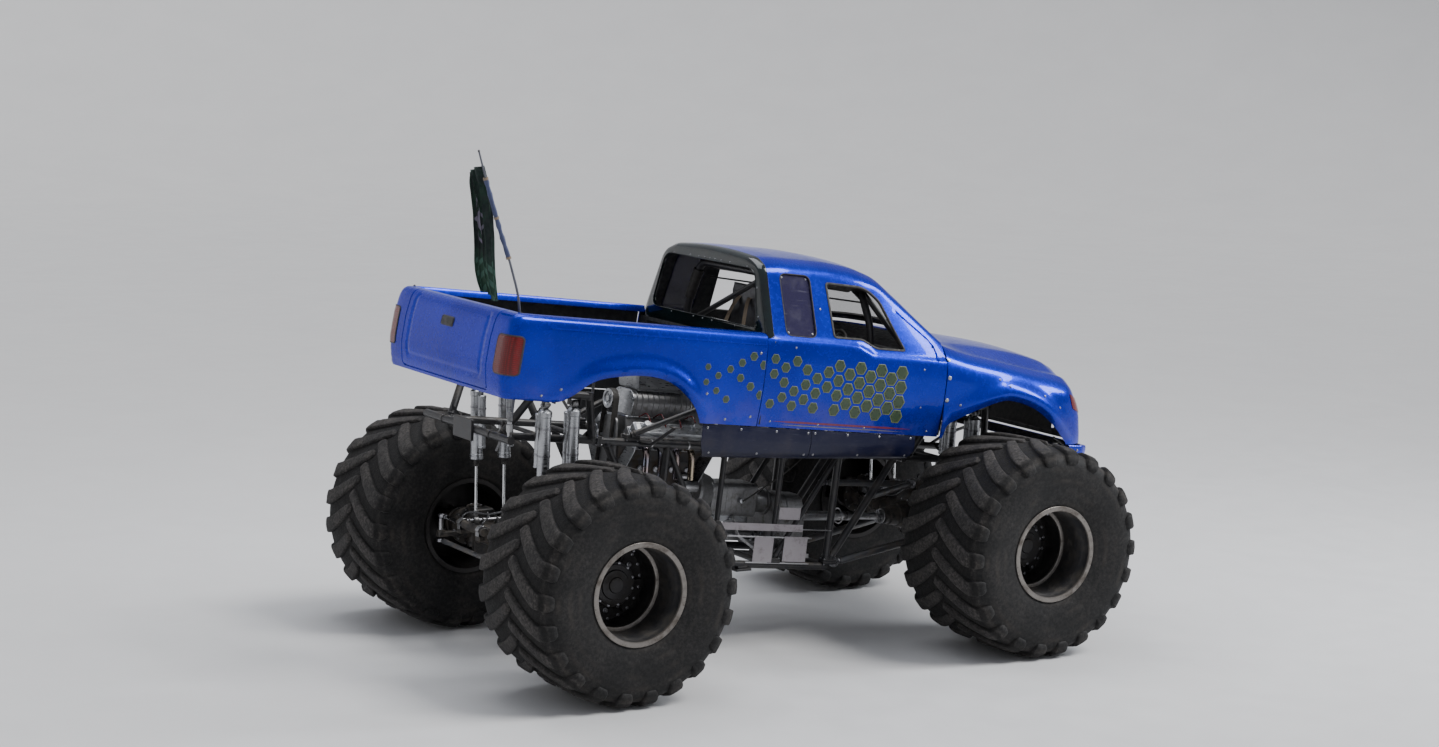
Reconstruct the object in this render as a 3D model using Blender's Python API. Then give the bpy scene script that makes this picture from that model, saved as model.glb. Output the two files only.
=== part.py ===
# Monster truck: pickup-style fibreglass body on a tubular chassis, two steered
# axles with kingpin knuckles, and four tall farm-pattern tyres.
# Metres. X forward, Y to the left, Z up. The floor is z = 0.

import bpy
import bmesh
from math import sin, cos, pi, radians
from mathutils import Vector, Matrix

for old in list(bpy.data.objects):
    bpy.data.objects.remove(old, do_unlink=True)

# ---------------------------------------------------------------- dimensions
X_MID = -0.09            # mid-wheelbase, set so that the whole box is centred
WHEELBASE = 3.72
TRACK = 2.69             # between the wheels' centre planes
TYRE_R = 0.838           # 66 inch tyre
TYRE_W = 1.02
RIM_R = 0.360            # bead seat
WHEEL_SEGS = 24
KINGPIN_Y = 0.76
STEER_ARM = 0.30         # kingpin to tie rod pin
RAKE = radians(5.9)      # body and chassis lean nose-down
DATUM_Z = 2.0            # height of the body datum at mid-wheelbase
SKIN = 0.012             # fibreglass
TUBE_R = 0.030           # main chassis tube
BRACE_R = 0.022
TOUCH = 0.0005           # gap kept between pieces that touch

X_FRONT = X_MID + WHEELBASE / 2
X_REAR = X_MID - WHEELBASE / 2
WHEEL_Y = TRACK / 2


# ------------------------------------------------------------------- helpers
def material(name, rgb, roughness, metallic):
    mat = bpy.data.materials.get(name)
    if mat is None:
        mat = bpy.data.materials.new(name)
        mat.use_nodes = True
        shader = mat.node_tree.nodes["Principled BSDF"]
        shader.inputs["Base Color"].default_value = (*rgb, 1.0)
        shader.inputs["Roughness"].default_value = roughness
        shader.inputs["Metallic"].default_value = metallic
        mat.diffuse_color = (*rgb, 1.0)
    return mat


def body_to_world(x, y, z):
    """A point of the raked body frame (x forward, z above the datum)."""
    return Vector((X_MID + x * cos(RAKE) + z * sin(RAKE), y,
                   DATUM_Z - x * sin(RAKE) + z * cos(RAKE)))


def empty(name, location, rotation=(0, 0, 0), parent=None):
    e = bpy.data.objects.new(name, None)
    bpy.context.scene.collection.objects.link(e)
    e.location = location
    e.rotation_euler = rotation
    e.parent = parent
    return e


def object_from(name, bm, mat=None, parent=None, smooth=None):
    bmesh.ops.recalc_face_normals(bm, faces=bm.faces)
    me = bpy.data.meshes.new(name)
    bm.to_mesh(me)
    bm.free()
    ob = bpy.data.objects.new(name, me)
    bpy.context.scene.collection.objects.link(ob)
    if mat is not None:
        me.materials.append(mat)
    if smooth is not None:
        me.shade_smooth()
        me.set_sharp_from_angle(angle=radians(smooth))
    ob.parent = parent
    return ob


def baked(ob):
    """Replace the object's mesh by its evaluated one and drop the modifiers."""
    bpy.context.view_layer.update()
    graph = bpy.context.evaluated_depsgraph_get()
    me = bpy.data.meshes.new_from_object(ob.evaluated_get(graph))
    mats = [m for m in ob.data.materials]
    ob.modifiers.clear()
    ob.data = me
    if not me.materials:
        for m in mats:
            me.materials.append(m)
    return ob


def fused(name, solids, mat, parent=None, smooth=40):
    """One closed body from overlapping solids, each a temporary object."""
    base = solids[0]
    if len(solids) > 1:
        group = bpy.data.collections.new(name + "_parts")
        bpy.context.scene.collection.children.link(group)
        for s in solids[1:]:
            bpy.context.scene.collection.objects.unlink(s)
            group.objects.link(s)
        mod = base.modifiers.new("union", "BOOLEAN")
        mod.operation = "UNION"
        mod.operand_type = "COLLECTION"
        mod.collection = group
        mod.solver = "EXACT"
        baked(base)
        for s in solids[1:]:
            bpy.data.objects.remove(s, do_unlink=True)
        bpy.data.collections.remove(group)
    base.name = name
    base.data.name = name
    base.data.materials.clear()
    base.data.materials.append(mat)
    for p in base.data.polygons:
        p.material_index = 0
    base.data.shade_smooth()
    base.data.set_sharp_from_angle(angle=radians(smooth))
    base.parent = parent
    return base


def box(lo, hi, name="box"):
    bm = bmesh.new()
    bmesh.ops.create_cube(bm, size=1.0)
    lo, hi = Vector(lo), Vector(hi)
    size = hi - lo
    for v in bm.verts:
        v.co = Vector((v.co.x * size.x, v.co.y * size.y, v.co.z * size.z)) + (lo + hi) / 2
    return object_from(name, bm)


def tube(p, q, r, sides=8, r2=None, twist=0.0, name="tube"):
    """A closed round bar from p to q."""
    p, q = Vector(p), Vector(q)
    axis = q - p
    bm = bmesh.new()
    bmesh.ops.create_cone(bm, cap_ends=True, segments=sides, radius1=r,
                          radius2=r if r2 is None else r2, depth=axis.length)
    turn = axis.to_track_quat("Z", "Y").to_matrix().to_4x4()
    place = Matrix.Translation((p + q) / 2) @ turn @ Matrix.Rotation(twist, 4, "Z")
    bmesh.ops.transform(bm, matrix=place, verts=bm.verts)
    return object_from(name, bm)


def turned(name, profile, segs, mat=None, parent=None, smooth=35):
    """A closed (radius, along) outline turned about the Y axis. A flat of the
    outside faces down. Points with radius 0 close on the axis."""
    bm = bmesh.new()
    half = pi / segs
    ring = [bm.verts.new((r * sin(half), a, -r * cos(half))) for r, a in profile]
    for i in range(len(ring)):
        j = (i + 1) % len(ring)
        if profile[i][0] > 0 or profile[j][0] > 0:
            bm.edges.new((ring[i], ring[j]))
    bmesh.ops.spin(bm, geom=bm.verts[:] + bm.edges[:], cent=(0, 0, 0), axis=(0, 1, 0),
                   dvec=(0, 0, 0), angle=2 * pi, steps=segs, use_duplicate=False)
    bmesh.ops.remove_doubles(bm, verts=bm.verts, dist=0.00005)
    return object_from(name, bm, mat, parent, smooth)


def prism(outline, lo, hi, along="Y", name="prism"):
    """An outline extruded along one axis. For Y the outline is (x, z), for
    X it is (y, z), for Z it is (x, y)."""
    def point(a, b, t):
        return {"Y": (a, t, b), "X": (t, a, b), "Z": (a, b, t)}[along]
    bm = bmesh.new()
    near = bm.faces.new([bm.verts.new(point(a, b, lo)) for a, b in outline])
    out = bmesh.ops.extrude_face_region(bm, geom=[near])
    for v in [g for g in out["geom"] if isinstance(g, bmesh.types.BMVert)]:
        v.co["XYZ".index(along)] = hi
    return object_from(name, bm)


def rounded(outline, radius, steps=3):
    """The outline with each corner cut to an arc-like run of points."""
    points = []
    n = len(outline)
    for i in range(n):
        a, b, c = (Vector(outline[i - 1]), Vector(outline[i]), Vector(outline[(i + 1) % n]))
        ra = min(radius, (a - b).length * 0.45)
        rc = min(radius, (c - b).length * 0.45)
        s, e = b + (a - b).normalized() * ra, b + (c - b).normalized() * rc
        for k in range(steps + 1):
            t = k / steps
            points.append(tuple(s * (1 - t) ** 2 + b * 2 * t * (1 - t) + e * t ** 2))
    return points


def mirrored(points):
    """Half section from the bottom up to the centre line, made whole."""
    right = [(-y, z) for y, z in points]
    left = [(y, z) for y, z in reversed(points) if y > 1e-6]
    return right + left


def loft(stations, cap=None):
    """An open skin through sections of equal point counts. A station is
    (x, [(y, z), ...]); cap closes the first or the last section."""
    bm = bmesh.new()
    rows = [[bm.verts.new((x, y, z)) for y, z in pts] for x, pts in stations]
    for a, b in zip(rows, rows[1:]):
        for i in range(len(a) - 1):
            bm.faces.new((a[i], a[i + 1], b[i + 1], b[i]))
    if cap == "first":
        bm.faces.new(rows[0])
    if cap == "last":
        bm.faces.new(rows[-1])
    return bm


def shell(name, bm, cutters, mat, parent, thickness=SKIN, inward=-1.0, smooth=32):
    """The open skin given its thickness, then cut. The normals point out."""
    ob = object_from(name, bm, mat, parent)
    mod = ob.modifiers.new("thickness", "SOLIDIFY")
    mod.thickness = thickness
    mod.offset = inward
    mod.use_even_offset = True
    for k, cutter in enumerate(cutters):
        cutter.name = "%s_cut_%d" % (name, k)
        cutter.parent = parent
        cutter.hide_render = True
        cutter.display_type = "WIRE"
        cut = ob.modifiers.new("cut_%d" % k, "BOOLEAN")
        cut.operation = "DIFFERENCE"
        cut.object = cutter
        cut.solver = "EXACT"
    ob.data.shade_smooth()
    ob.data.set_sharp_from_angle(angle=radians(smooth))
    return ob


# ----------------------------------------------------------------- materials
M_PAINT = material("blue_paint", (0.012, 0.035, 0.42), 0.22, 0.45)
M_NAVY = material("navy_skirt", (0.010, 0.012, 0.055), 0.35, 0.2)
M_FRAME = material("frame_black", (0.022, 0.022, 0.026), 0.45, 0.3)
M_AXLE = material("axle_black", (0.035, 0.035, 0.038), 0.5, 0.4)
M_TYRE = material("tyre_rubber", (0.055, 0.052, 0.048), 0.9, 0.0)
M_RIM = material("rim_dark", (0.09, 0.09, 0.095), 0.45, 0.6)
M_CHROME = material("chrome_rod", (0.75, 0.75, 0.76), 0.12, 1.0)
M_STEEL = material("steel_link", (0.30, 0.30, 0.31), 0.4, 0.8)
M_ENGINE = material("engine_iron", (0.10, 0.10, 0.11), 0.5, 0.6)
M_GLASS = material("tinted_panel", (0.03, 0.03, 0.05), 0.1, 0.0)
M_SEAT = material("seat_black", (0.03, 0.03, 0.03), 0.6, 0.0)
M_FLAG = material("flag_cloth", (0.01, 0.05, 0.03), 0.8, 0.0)

RAKED = empty("body_datum", (X_MID, 0, DATUM_Z), (0, RAKE, 0))

# ------------------------------------------------------------- bed (raked)
# Profile of the bedside, from the lower edge over the rail: how far out from
# the widest line, height
BED_PROFILE = [(-0.030, -0.205), (0.0, 0.05), (0.0, 0.30), (-0.045, 0.485),
               (-0.110, 0.500), (-0.120, 0.450)]
# Plan line of the bed at its widest: x, y, outward x, outward y
BED_PLAN = [(-0.372, 0.985, 0, 1), (-1.35, 0.990, 0, 1), (-2.26, 0.985, 0, 1),
            (-2.405, 0.945, -0.71, 0.71), (-2.440, 0.800, -1, 0), (-2.450, 0.0, -1, 0)]
# How far the tailgate stands behind its plan line, at heights: it is rounded out in the middle
TAIL_BACK = [(-0.205, 0.085), (0.05, 0.133), (0.30, 0.120), (0.450, 0.097), (0.485, 0.092), (0.500, 0.090)]


def tail_back(z):
    for (z0, b0), (z1, b1) in zip(TAIL_BACK, TAIL_BACK[1:]):
        if z <= z1:
            return b0 + (b1 - b0) * (z - z0) / (z1 - z0)
    return TAIL_BACK[-1][1]


def bed_skin():
    bm = bmesh.new()
    plan = BED_PLAN + [(x, -y, nx, -ny) for x, y, nx, ny in reversed(BED_PLAN[:-1])]
    rows = []
    for x, y, nx, ny in plan:
        row = []
        for out, z in BED_PROFILE:
            back = tail_back(z) if x < -2.3 else 0.0
            row.append(bm.verts.new((x + nx * out - back, y + ny * out, z)))
        rows.append(row)
    for a, b in zip(rows, rows[1:]):
        for i in range(len(a) - 1):
            bm.faces.new((a[i], a[i + 1], b[i + 1], b[i]))
    return bm


# Rear wheel arch and the higher edge behind it: x, z
REAR_ARCH = [(-0.835, -0.60), (-0.841, -0.300), (-0.880, -0.190), (-0.946, -0.088),
             (-1.040, -0.005), (-1.143, 0.063), (-1.250, 0.103), (-1.370, 0.120),
             (-1.500, 0.118), (-1.619, 0.104), (-1.760, 0.078), (-1.865, 0.040),
             (-1.975, -0.053), (-2.089, -0.115), (-2.80, -0.115), (-2.80, -0.60)]
shell("body_bed", bed_skin(), [prism(REAR_ARCH, -1.3, 1.3)], M_PAINT, RAKED)

# ------------------------------------------------------------- cab (raked)
# Sections of the cab: x, then y and z of the sill, the waist, the shoulder,
# the belt, the roof edge, the roof side, and z on the centre line
CAB = [
    # x      sill          waist        shoulder      belt           edge           side           centre
    (-0.355, 0.955, -0.205, 0.985, 0.05, 0.975, 0.452, 0.938, 0.489, 0.715, 0.985, 0.580, 1.045, 1.072),
    (-0.100, 0.955, -0.205, 0.987, 0.05, 0.975, 0.457, 0.941, 0.487, 0.728, 1.000, 0.600, 1.058, 1.088),
    (0.250, 0.955, -0.205, 0.988, 0.05, 0.975, 0.458, 0.942, 0.487, 0.732, 1.000, 0.610, 1.058, 1.090),
    (0.560, 0.955, -0.205, 0.988, 0.05, 0.975, 0.420, 0.944, 0.452, 0.735, 0.972, 0.625, 1.030, 1.068),
    (0.740, 0.955, -0.205, 0.988, 0.05, 0.975, 0.385, 0.946, 0.416, 0.742, 0.920, 0.650, 0.975, 1.035),
    (0.900, 0.955, -0.205, 0.988, 0.05, 0.975, 0.384, 0.947, 0.414, 0.765, 0.820, 0.690, 0.868, 0.965),
    (1.120, 0.955, -0.205, 0.987, 0.05, 0.974, 0.384, 0.946, 0.412, 0.805, 0.674, 0.745, 0.705, 0.772),
    (1.335, 0.955, -0.205, 0.985, 0.05, 0.970, 0.384, 0.938, 0.408, 0.850, 0.530, 0.790, 0.548, 0.582),
]


def section(row):
    pairs = [(row[k], row[k + 1]) for k in range(1, len(row) - 1, 2)]
    return mirrored(pairs + [(0.0, row[-1])])


QUARTER_WINDOW = rounded([(-0.195, 0.950), (0.072, 0.950), (0.090, 0.502), (-0.180, 0.502)], 0.05)
DOOR_WINDOW = rounded([(0.228, 0.905), (0.620, 0.895), (0.735, 0.800), (0.925, 0.455),
                       (0.665, 0.455), (0.510, 0.515), (0.262, 0.515)], 0.03, 2)
REAR_WINDOW = rounded([(-0.785, 0.525), (0.785, 0.525), (0.662, 0.958), (-0.662, 0.958)], 0.10)
WINDSHIELD = rounded([(0.930, -0.640), (0.930, 0.640), (1.285, 0.735), (1.285, -0.735)], 0.06)
CAB_CUTS = [
    prism(QUARTER_WINDOW, -1.2, 1.2),
    prism(DOOR_WINDOW, -1.2, 1.2),
    prism(REAR_WINDOW, -0.6, -0.2, "X"),
    prism([(-0.86, -0.40), (0.86, -0.40), (0.86, 0.40), (-0.86, 0.40)], -0.6, -0.2, "X"),
    prism(WINDSHIELD, 0.45, 1.20, "Z"),
]
shell("body_cab", loft([(r[0], section(r)) for r in CAB], cap="first"), CAB_CUTS, M_PAINT, RAKED)


# Clear polycarbonate windshield: the same surface between the cab's sections
def cab_roof_line(x):
    """y and z of the roof side, and z on the centre, at x on the windshield."""
    for a, b in zip(CAB, CAB[1:]):
        if a[0] <= x <= b[0]:
            t = (x - a[0]) / (b[0] - a[0])
            return [a[k] + t * (b[k] - a[k]) for k in (11, 12, 13)]


def windshield_skin():
    bm = bmesh.new()
    rows = []
    # x and half width, a little inside the opening
    for x, half in [(0.942, 0.600), (1.030, 0.655), (1.150, 0.690), (1.272, 0.690)]:
        ys, zs, zc = cab_roof_line(x)
        row = []
        for k in range(-3, 4):
            y = half * k / 3
            z = zc + (zs - zc) * abs(y) / ys
            row.append(bm.verts.new((x, y, z)))
        rows.append(row)
    for a, b in zip(rows, rows[1:]):
        for i in range(len(a) - 1):
            bm.faces.new((a[i], a[i + 1], b[i + 1], b[i]))
    return bm


shell("windshield", windshield_skin(), [], M_GLASS, RAKED, 0.006)


def quarter_skin(side):
    """Flat tinted panel inside the quarter window opening."""
    bm = bmesh.new()
    pts = rounded([(-0.186, 0.941), (0.063, 0.941), (0.081, 0.511), (-0.171, 0.511)], 0.045)
    verts = []
    for x, z in pts:
        y = 0.933 - (z - 0.490) * (0.937 - 0.728) / 0.51
        verts.append(bm.verts.new((x, side * y, z)))
    bm.faces.new(verts)
    return bm


for side, label in [(1, "left"), (-1, "right")]:
    ob = object_from("quarter_window_" + label, quarter_skin(side), M_GLASS, RAKED)
    mod = ob.modifiers.new("thickness", "SOLIDIFY")
    mod.thickness = 0.006
    mod.offset = 0.0

# ------------------------------------------------------ front clip (raked)
# Sections of hood and fenders: x, then y and z of the lower edge, the flare,
# the fender side, the hood crease, the dome edge, and z on the centre line
CLIP = [
    # x      lower          flare         side         crease         dome           centre
    (1.345, 0.955, -0.205, 0.985, 0.05, 0.985, 0.28, 0.860, 0.480, 0.560, 0.528, 0.545),
    (1.650, 0.958, -0.205, 0.988, 0.06, 0.989, 0.27, 0.834, 0.451, 0.575, 0.508, 0.546),
    (1.980, 0.960, -0.205, 0.989, 0.08, 0.989, 0.25, 0.820, 0.414, 0.555, 0.492, 0.528),
    (2.340, 0.955, -0.205, 0.983, 0.04, 0.977, 0.21, 0.804, 0.367, 0.545, 0.464, 0.500),
    (2.640, 0.935, -0.205, 0.955, 0.02, 0.944, 0.18, 0.784, 0.330, 0.527, 0.414, 0.442),
    (2.780, 0.886, -0.200, 0.894, 0.02, 0.880, 0.14, 0.745, 0.280, 0.508, 0.366, 0.386),
    (2.820, 0.838, -0.195, 0.842, 0.02, 0.832, 0.12, 0.708, 0.238, 0.490, 0.328, 0.346),
]
FRONT_ARCH = [(1.372, -0.60), (1.380, -0.200), (1.410, -0.110), (1.510, -0.050),
              (1.645, 0.016), (1.800, 0.080), (1.979, 0.124), (2.120, 0.105),
              (2.250, 0.070), (2.354, 0.022), (2.500, -0.070), (2.620, -0.165),
              (2.660, -0.230), (2.670, -0.60)]
shell("body_front_clip", loft([(r[0], section(r)) for r in CLIP], cap="last"),
      [prism(FRONT_ARCH, -1.3, 1.3)], M_PAINT, RAKED)

# Front bumper lip under the nose: plan outline
BUMPER = rounded([(2.705, 0.950), (2.855, 0.940), (2.932, 0.890), (2.968, 0.0), (2.932, -0.890), (2.855, -0.940),
                  (2.705, -0.950), (2.700, -0.915), (2.845, -0.905), (2.902, -0.865), (2.935, 0.0), (2.902, 0.865),
                  (2.845, 0.905), (2.700, 0.915)], 0.012, 1)
bumper = prism(BUMPER, -0.290, -0.2085, "Z")
bumper.name = "front_bumper"
bumper.data.materials.append(M_NAVY)
bumper.parent = RAKED

# ------------------------------------------------------ rocker panels (raked)
# Sections: x, height of the lower edge
ROCKER = [(-0.845, -0.470), (0.140, -0.440), (1.125, -0.396)]


def rocker_skin(side):
    bm = bmesh.new()
    rows = []
    for x, low in ROCKER:
        mid = (low - 0.209) / 2
        row = [(0.955, -0.209), (0.962, mid), (0.938, low + 0.015), (0.905, low)]
        rows.append([bm.verts.new((x, side * y, z)) for y, z in row])
    for a, b in zip(rows, rows[1:]):
        for i in range(len(a) - 1):
            bm.faces.new((a[i], a[i + 1], b[i + 1], b[i]))
    return bm


for side, label in [(1, "left"), (-1, "right")]:
    ob = object_from("rocker_" + label, rocker_skin(side), M_NAVY, RAKED)
    for p in ob.data.polygons:
        if p.normal.y * side < 0 and abs(p.normal.y) > 0.5:
            ob.data.flip_normals()
            break
    mod = ob.modifiers.new("thickness", "SOLIDIFY")
    mod.thickness = SKIN
    mod.offset = -1.0

# ---------------------------------- chassis frame (welded tube, raked, bolted up)
# Five weldments, bolted face to face through flanges: the belly ladder, the two
# side trusses, the front and rear subframes and the roll cage.
RAIL_Y = 0.42
BELLY_Z = -1.36
RAIL_Z = -0.45
FLANGE_IN, FLANGE_OUT = 0.020, 0.040   # a foot flange's faces above a tube's axis
BUTT_X = 1.42                          # the subframes bolt to the side trusses here
BUTT_HALF = 0.038


def raked_box(lo, hi):
    """A box lying square in the raked frame."""
    ob = box(lo, hi)
    ob.data.transform(Matrix.Translation((X_MID, 0, DATUM_Z)) @ Matrix.Rotation(RAKE, 4, "Y"))
    return ob


def foot(x, side, z, x_half, lower, y_half=0.036):
    """One of the two flanges of a bolted foot over the tube whose axis is at z."""
    a, b = (FLANGE_IN, FLANGE_OUT) if lower else (FLANGE_OUT + TOUCH, 2 * FLANGE_OUT - FLANGE_IN)
    return raked_box((x - x_half, side * RAIL_Y - y_half, z + a), (x + x_half, side * RAIL_Y + y_half, z + b))


def lifted(p, q, z):
    """The point of the line p to q at height z."""
    t = (z - p[2]) / (q[2] - p[2])
    return tuple(a + (b - a) * t for a, b in zip(p, q))


def bars(rows, side=1):
    """Tubes from rows of x, y, z, x, y, z, radius, on the given side."""
    made = []
    for k, (x0, y0, z0, x1, y1, z1, r) in enumerate(rows):
        made.append(tube(body_to_world(x0, side * y0, z0), body_to_world(x1, side * y1, z1),
                         r * (1 + 0.004 * (k % 5)), 6, twist=0.11 + 0.07 * (k % 6)))
    return made


def crossbars(rows):
    """Tubes across from rows of x, half width, z, radius."""
    return [tube(body_to_world(x, -half, z), body_to_world(x, half, z), r * (1.003 + 0.003 * (k % 4)),
                 6, twist=0.05 + 0.09 * (k % 5)) for k, (x, half, z, r) in enumerate(rows)]


# Belly ladder: the lower rails, four crossbars and the jack pads
FEET = [-0.82, -0.285, 0.285, 0.82]
belly = crossbars([(-0.80, RAIL_Y, BELLY_Z, TUBE_R), (-0.27, RAIL_Y, BELLY_Z, BRACE_R),
                   (0.27, RAIL_Y, BELLY_Z, BRACE_R), (0.80, RAIL_Y, BELLY_Z, TUBE_R)])
rail = body_to_world(0, RAIL_Y, BELLY_Z)
for side in (1, -1):
    belly += bars([(-0.80, RAIL_Y, BELLY_Z, 0.80, RAIL_Y, BELLY_Z, TUBE_R)], side)
    belly += [foot(x, side, BELLY_Z, 0.062, True) for x in FEET]
    belly.append(box((rail.x - 0.07, side * RAIL_Y - 0.055, 0.600),
                     (rail.x + 0.07, side * RAIL_Y + 0.055, rail.z - 0.012)))
fused("frame_belly", belly, M_FRAME)

# Side trusses: x, z, x, z, radius, and whether the first end stands on the belly
TRUSS = [
    (-BUTT_X + 0.01, RAIL_Z, BUTT_X - 0.01, RAIL_Z, TUBE_R, False),
    (-0.80, BELLY_Z, -0.80, RAIL_Z, TUBE_R, True),
    (-0.27, BELLY_Z, -0.27, RAIL_Z, BRACE_R, True),
    (0.27, BELLY_Z, 0.27, RAIL_Z, BRACE_R, True),
    (0.80, BELLY_Z, 0.80, RAIL_Z, TUBE_R, True),
    (-0.80, BELLY_Z, -1.35, RAIL_Z, TUBE_R, True),
    (0.80, BELLY_Z, 1.35, RAIL_Z, TUBE_R, True),
    (-0.27, BELLY_Z, -0.80, RAIL_Z, BRACE_R, True),
    (0.27, BELLY_Z, 0.80, RAIL_Z, BRACE_R, True),
]
CAGE_FEET = [(-1.13, 0.060), (-0.12, 0.048), (0.70, 0.048), (1.30, 0.048)]   # x, half length
for side, label in [(1, "left"), (-1, "right")]:
    rows = []
    for x0, z0, x1, z1, r, stands in TRUSS:
        p, q = (x0, RAIL_Y, z0), (x1, RAIL_Y, z1)
        if stands:
            p = lifted(p, q, BELLY_Z + FLANGE_OUT + 0.018)
        rows.append((*p, *q, r))
    parts = bars(rows, side) + [foot(x, side, BELLY_Z, 0.062, False) for x in FEET]
    parts += [foot(x, side, RAIL_Z, half, True) for x, half in CAGE_FEET]
    for end in (1, -1):
        a, b = sorted((end * (BUTT_X - 0.020), end * (BUTT_X - TOUCH)))
        parts.append(raked_box((a, side * RAIL_Y - BUTT_HALF, RAIL_Z - BUTT_HALF),
                               (b, side * RAIL_Y + BUTT_HALF, RAIL_Z + BUTT_HALF)))
    fused("frame_side_" + label, parts, M_FRAME)


def subframe(name, end, rows, across, plate_x):
    """Rails, shock towers and crossbars beyond the side trusses, with a tow plate."""
    parts = crossbars(across)
    for side in (1, -1):
        parts += bars(rows, side)
        a, b = sorted((end * BUTT_X, end * (BUTT_X + 0.020)))
        parts.append(raked_box((a, side * RAIL_Y - BUTT_HALF, RAIL_Z - BUTT_HALF),
                               (b, side * RAIL_Y + BUTT_HALF, RAIL_Z + BUTT_HALF)))
    tip = body_to_world(plate_x, 0, RAIL_Z)
    face = tip.x + end * 0.048
    lo, hi = sorted((face - end * 0.024, face))
    parts.append(box((lo, -0.15, tip.z - 0.085), (hi, 0.15, tip.z + 0.075)))
    return fused(name, parts, M_FRAME)


subframe("front_subframe", 1, [
    (BUTT_X + 0.01, 0.42, -0.45, 2.40, 0.42, -0.45, TUBE_R),
    (1.47, 0.42, -0.45, 1.62, 0.57, 0.02, TUBE_R),
    (1.62, 0.57, 0.02, 2.08, 0.57, 0.02, TUBE_R),
    (2.08, 0.57, 0.02, 2.24, 0.42, -0.45, TUBE_R),
], [(1.47, 0.42, -0.45, BRACE_R), (2.40, 0.42, -0.45, TUBE_R), (1.85, 0.57, 0.02, BRACE_R)], 2.40)
subframe("rear_subframe", -1, [
    (-BUTT_X - 0.01, 0.42, -0.45, -2.30, 0.42, -0.45, TUBE_R),
    (-1.47, 0.42, -0.45, -1.62, 0.57, -0.10, TUBE_R),
    (-1.62, 0.57, -0.10, -2.08, 0.57, -0.10, TUBE_R),
    (-2.08, 0.57, -0.10, -2.24, 0.42, -0.45, TUBE_R),
], [(-1.47, 0.42, -0.45, BRACE_R), (-2.30, 0.70, -0.45, TUBE_R), (-1.85, 0.57, -0.10, BRACE_R)], -2.30)

# Roll cage: tubes of one side, the first four with the foot that they stand on
CAGE_LEGS = [
    (-0.12, 0.42, -0.45, -0.12, 0.66, 0.10, TUBE_R),      # rear hoop
    (0.70, 0.42, -0.45, 0.84, 0.66, 0.10, TUBE_R),        # front hoop
    (1.30, 0.42, -0.45, 1.20, 0.62, 0.40, BRACE_R),       # windshield leg
    (-1.35, 0.42, -0.48, -0.12, 0.66, 0.10, BRACE_R),     # rear stay
]
CAGE = [
    (-0.12, 0.66, 0.10, -0.12, 0.62, 0.60, TUBE_R),
    (-0.12, 0.62, 0.60, -0.12, 0.50, 0.92, TUBE_R),
    (0.84, 0.66, 0.10, 0.80, 0.62, 0.60, TUBE_R),
    (0.80, 0.62, 0.60, 0.745, 0.50, 0.875, TUBE_R),
    (-0.12, 0.50, 0.92, 0.745, 0.50, 0.875, TUBE_R),      # roof rail
    (0.745, 0.50, 0.875, 1.20, 0.62, 0.40, BRACE_R),      # windshield leg
    (-0.12, 0.66, 0.10, 0.84, 0.66, 0.10, BRACE_R),       # door bar
]
cage = crossbars([(-0.12, 0.50, 0.92, TUBE_R), (0.745, 0.50, 0.875, TUBE_R), (1.20, 0.62, 0.40, BRACE_R),
                  (-0.12, 0.66, 0.10, BRACE_R)])
for side in (1, -1):
    legs = [(*lifted(row[:3], row[3:6], RAIL_Z + FLANGE_OUT + 0.022), *row[3:]) for row in CAGE_LEGS]
    cage += bars(legs + CAGE, side)
    cage += [foot(x, side, RAIL_Z, half, False) for x, half in CAGE_FEET]
cage.append(tube(body_to_world(-0.12, -0.50, 0.92), body_to_world(-0.12, 0.636, 0.40), BRACE_R, 6, twist=0.2))
fused("roll_cage", cage, M_FRAME)

# -------------------------------------------------------------- cabin pieces
SEAT_SIDE = [(0.02, 0.82), (-0.02, 0.80), (0.06, -0.16), (0.10, -0.24), (0.66, -0.24), (0.70, -0.18),
             (0.68, -0.06), (0.24, -0.12), (0.17, -0.02), (0.10, 0.80)]
seat = prism(SEAT_SIDE, -0.26, 0.26)
seat.name = "seat"
seat.data.materials.append(M_SEAT)
seat.parent = RAKED


def wheel_ring(centre, tilt, radius, minor):
    bm = bmesh.new()
    circle = bmesh.ops.create_circle(bm, segments=6, radius=minor)
    for v in circle["verts"]:
        v.co = Vector((v.co.x + radius, 0, v.co.y))
    bmesh.ops.spin(bm, geom=bm.verts[:] + bm.edges[:], cent=(0, 0, 0), axis=(0, 0, 1), dvec=(0, 0, 0),
                   angle=2 * pi, steps=16, use_duplicate=False)
    bmesh.ops.remove_doubles(bm, verts=bm.verts, dist=0.00005)
    bmesh.ops.transform(bm, matrix=Matrix.Translation(centre) @ Matrix.Rotation(tilt, 4, "Y"), verts=bm.verts)
    return object_from("ring", bm)


HELM = Vector((0.86, 0.0, 0.36))
HELM_AXIS = Vector((0.80, 0.0, -0.60))
helm_parts = [wheel_ring(HELM, radians(-53.13), 0.165, 0.014),
              tube(HELM - HELM_AXIS * 0.015, HELM + HELM_AXIS * 0.30, 0.028, 8, twist=0.2)]
for a in (90, 210, 330):
    arm = Matrix.Rotation(radians(-53.13), 4, "Y") @ Vector((0.163 * cos(radians(a)), 0.163 * sin(radians(a)), 0))
    helm_parts.append(tube(HELM, HELM + arm, 0.009, 6, twist=0.3))
fused("steering_wheel", helm_parts, M_SEAT, RAKED)

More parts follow.
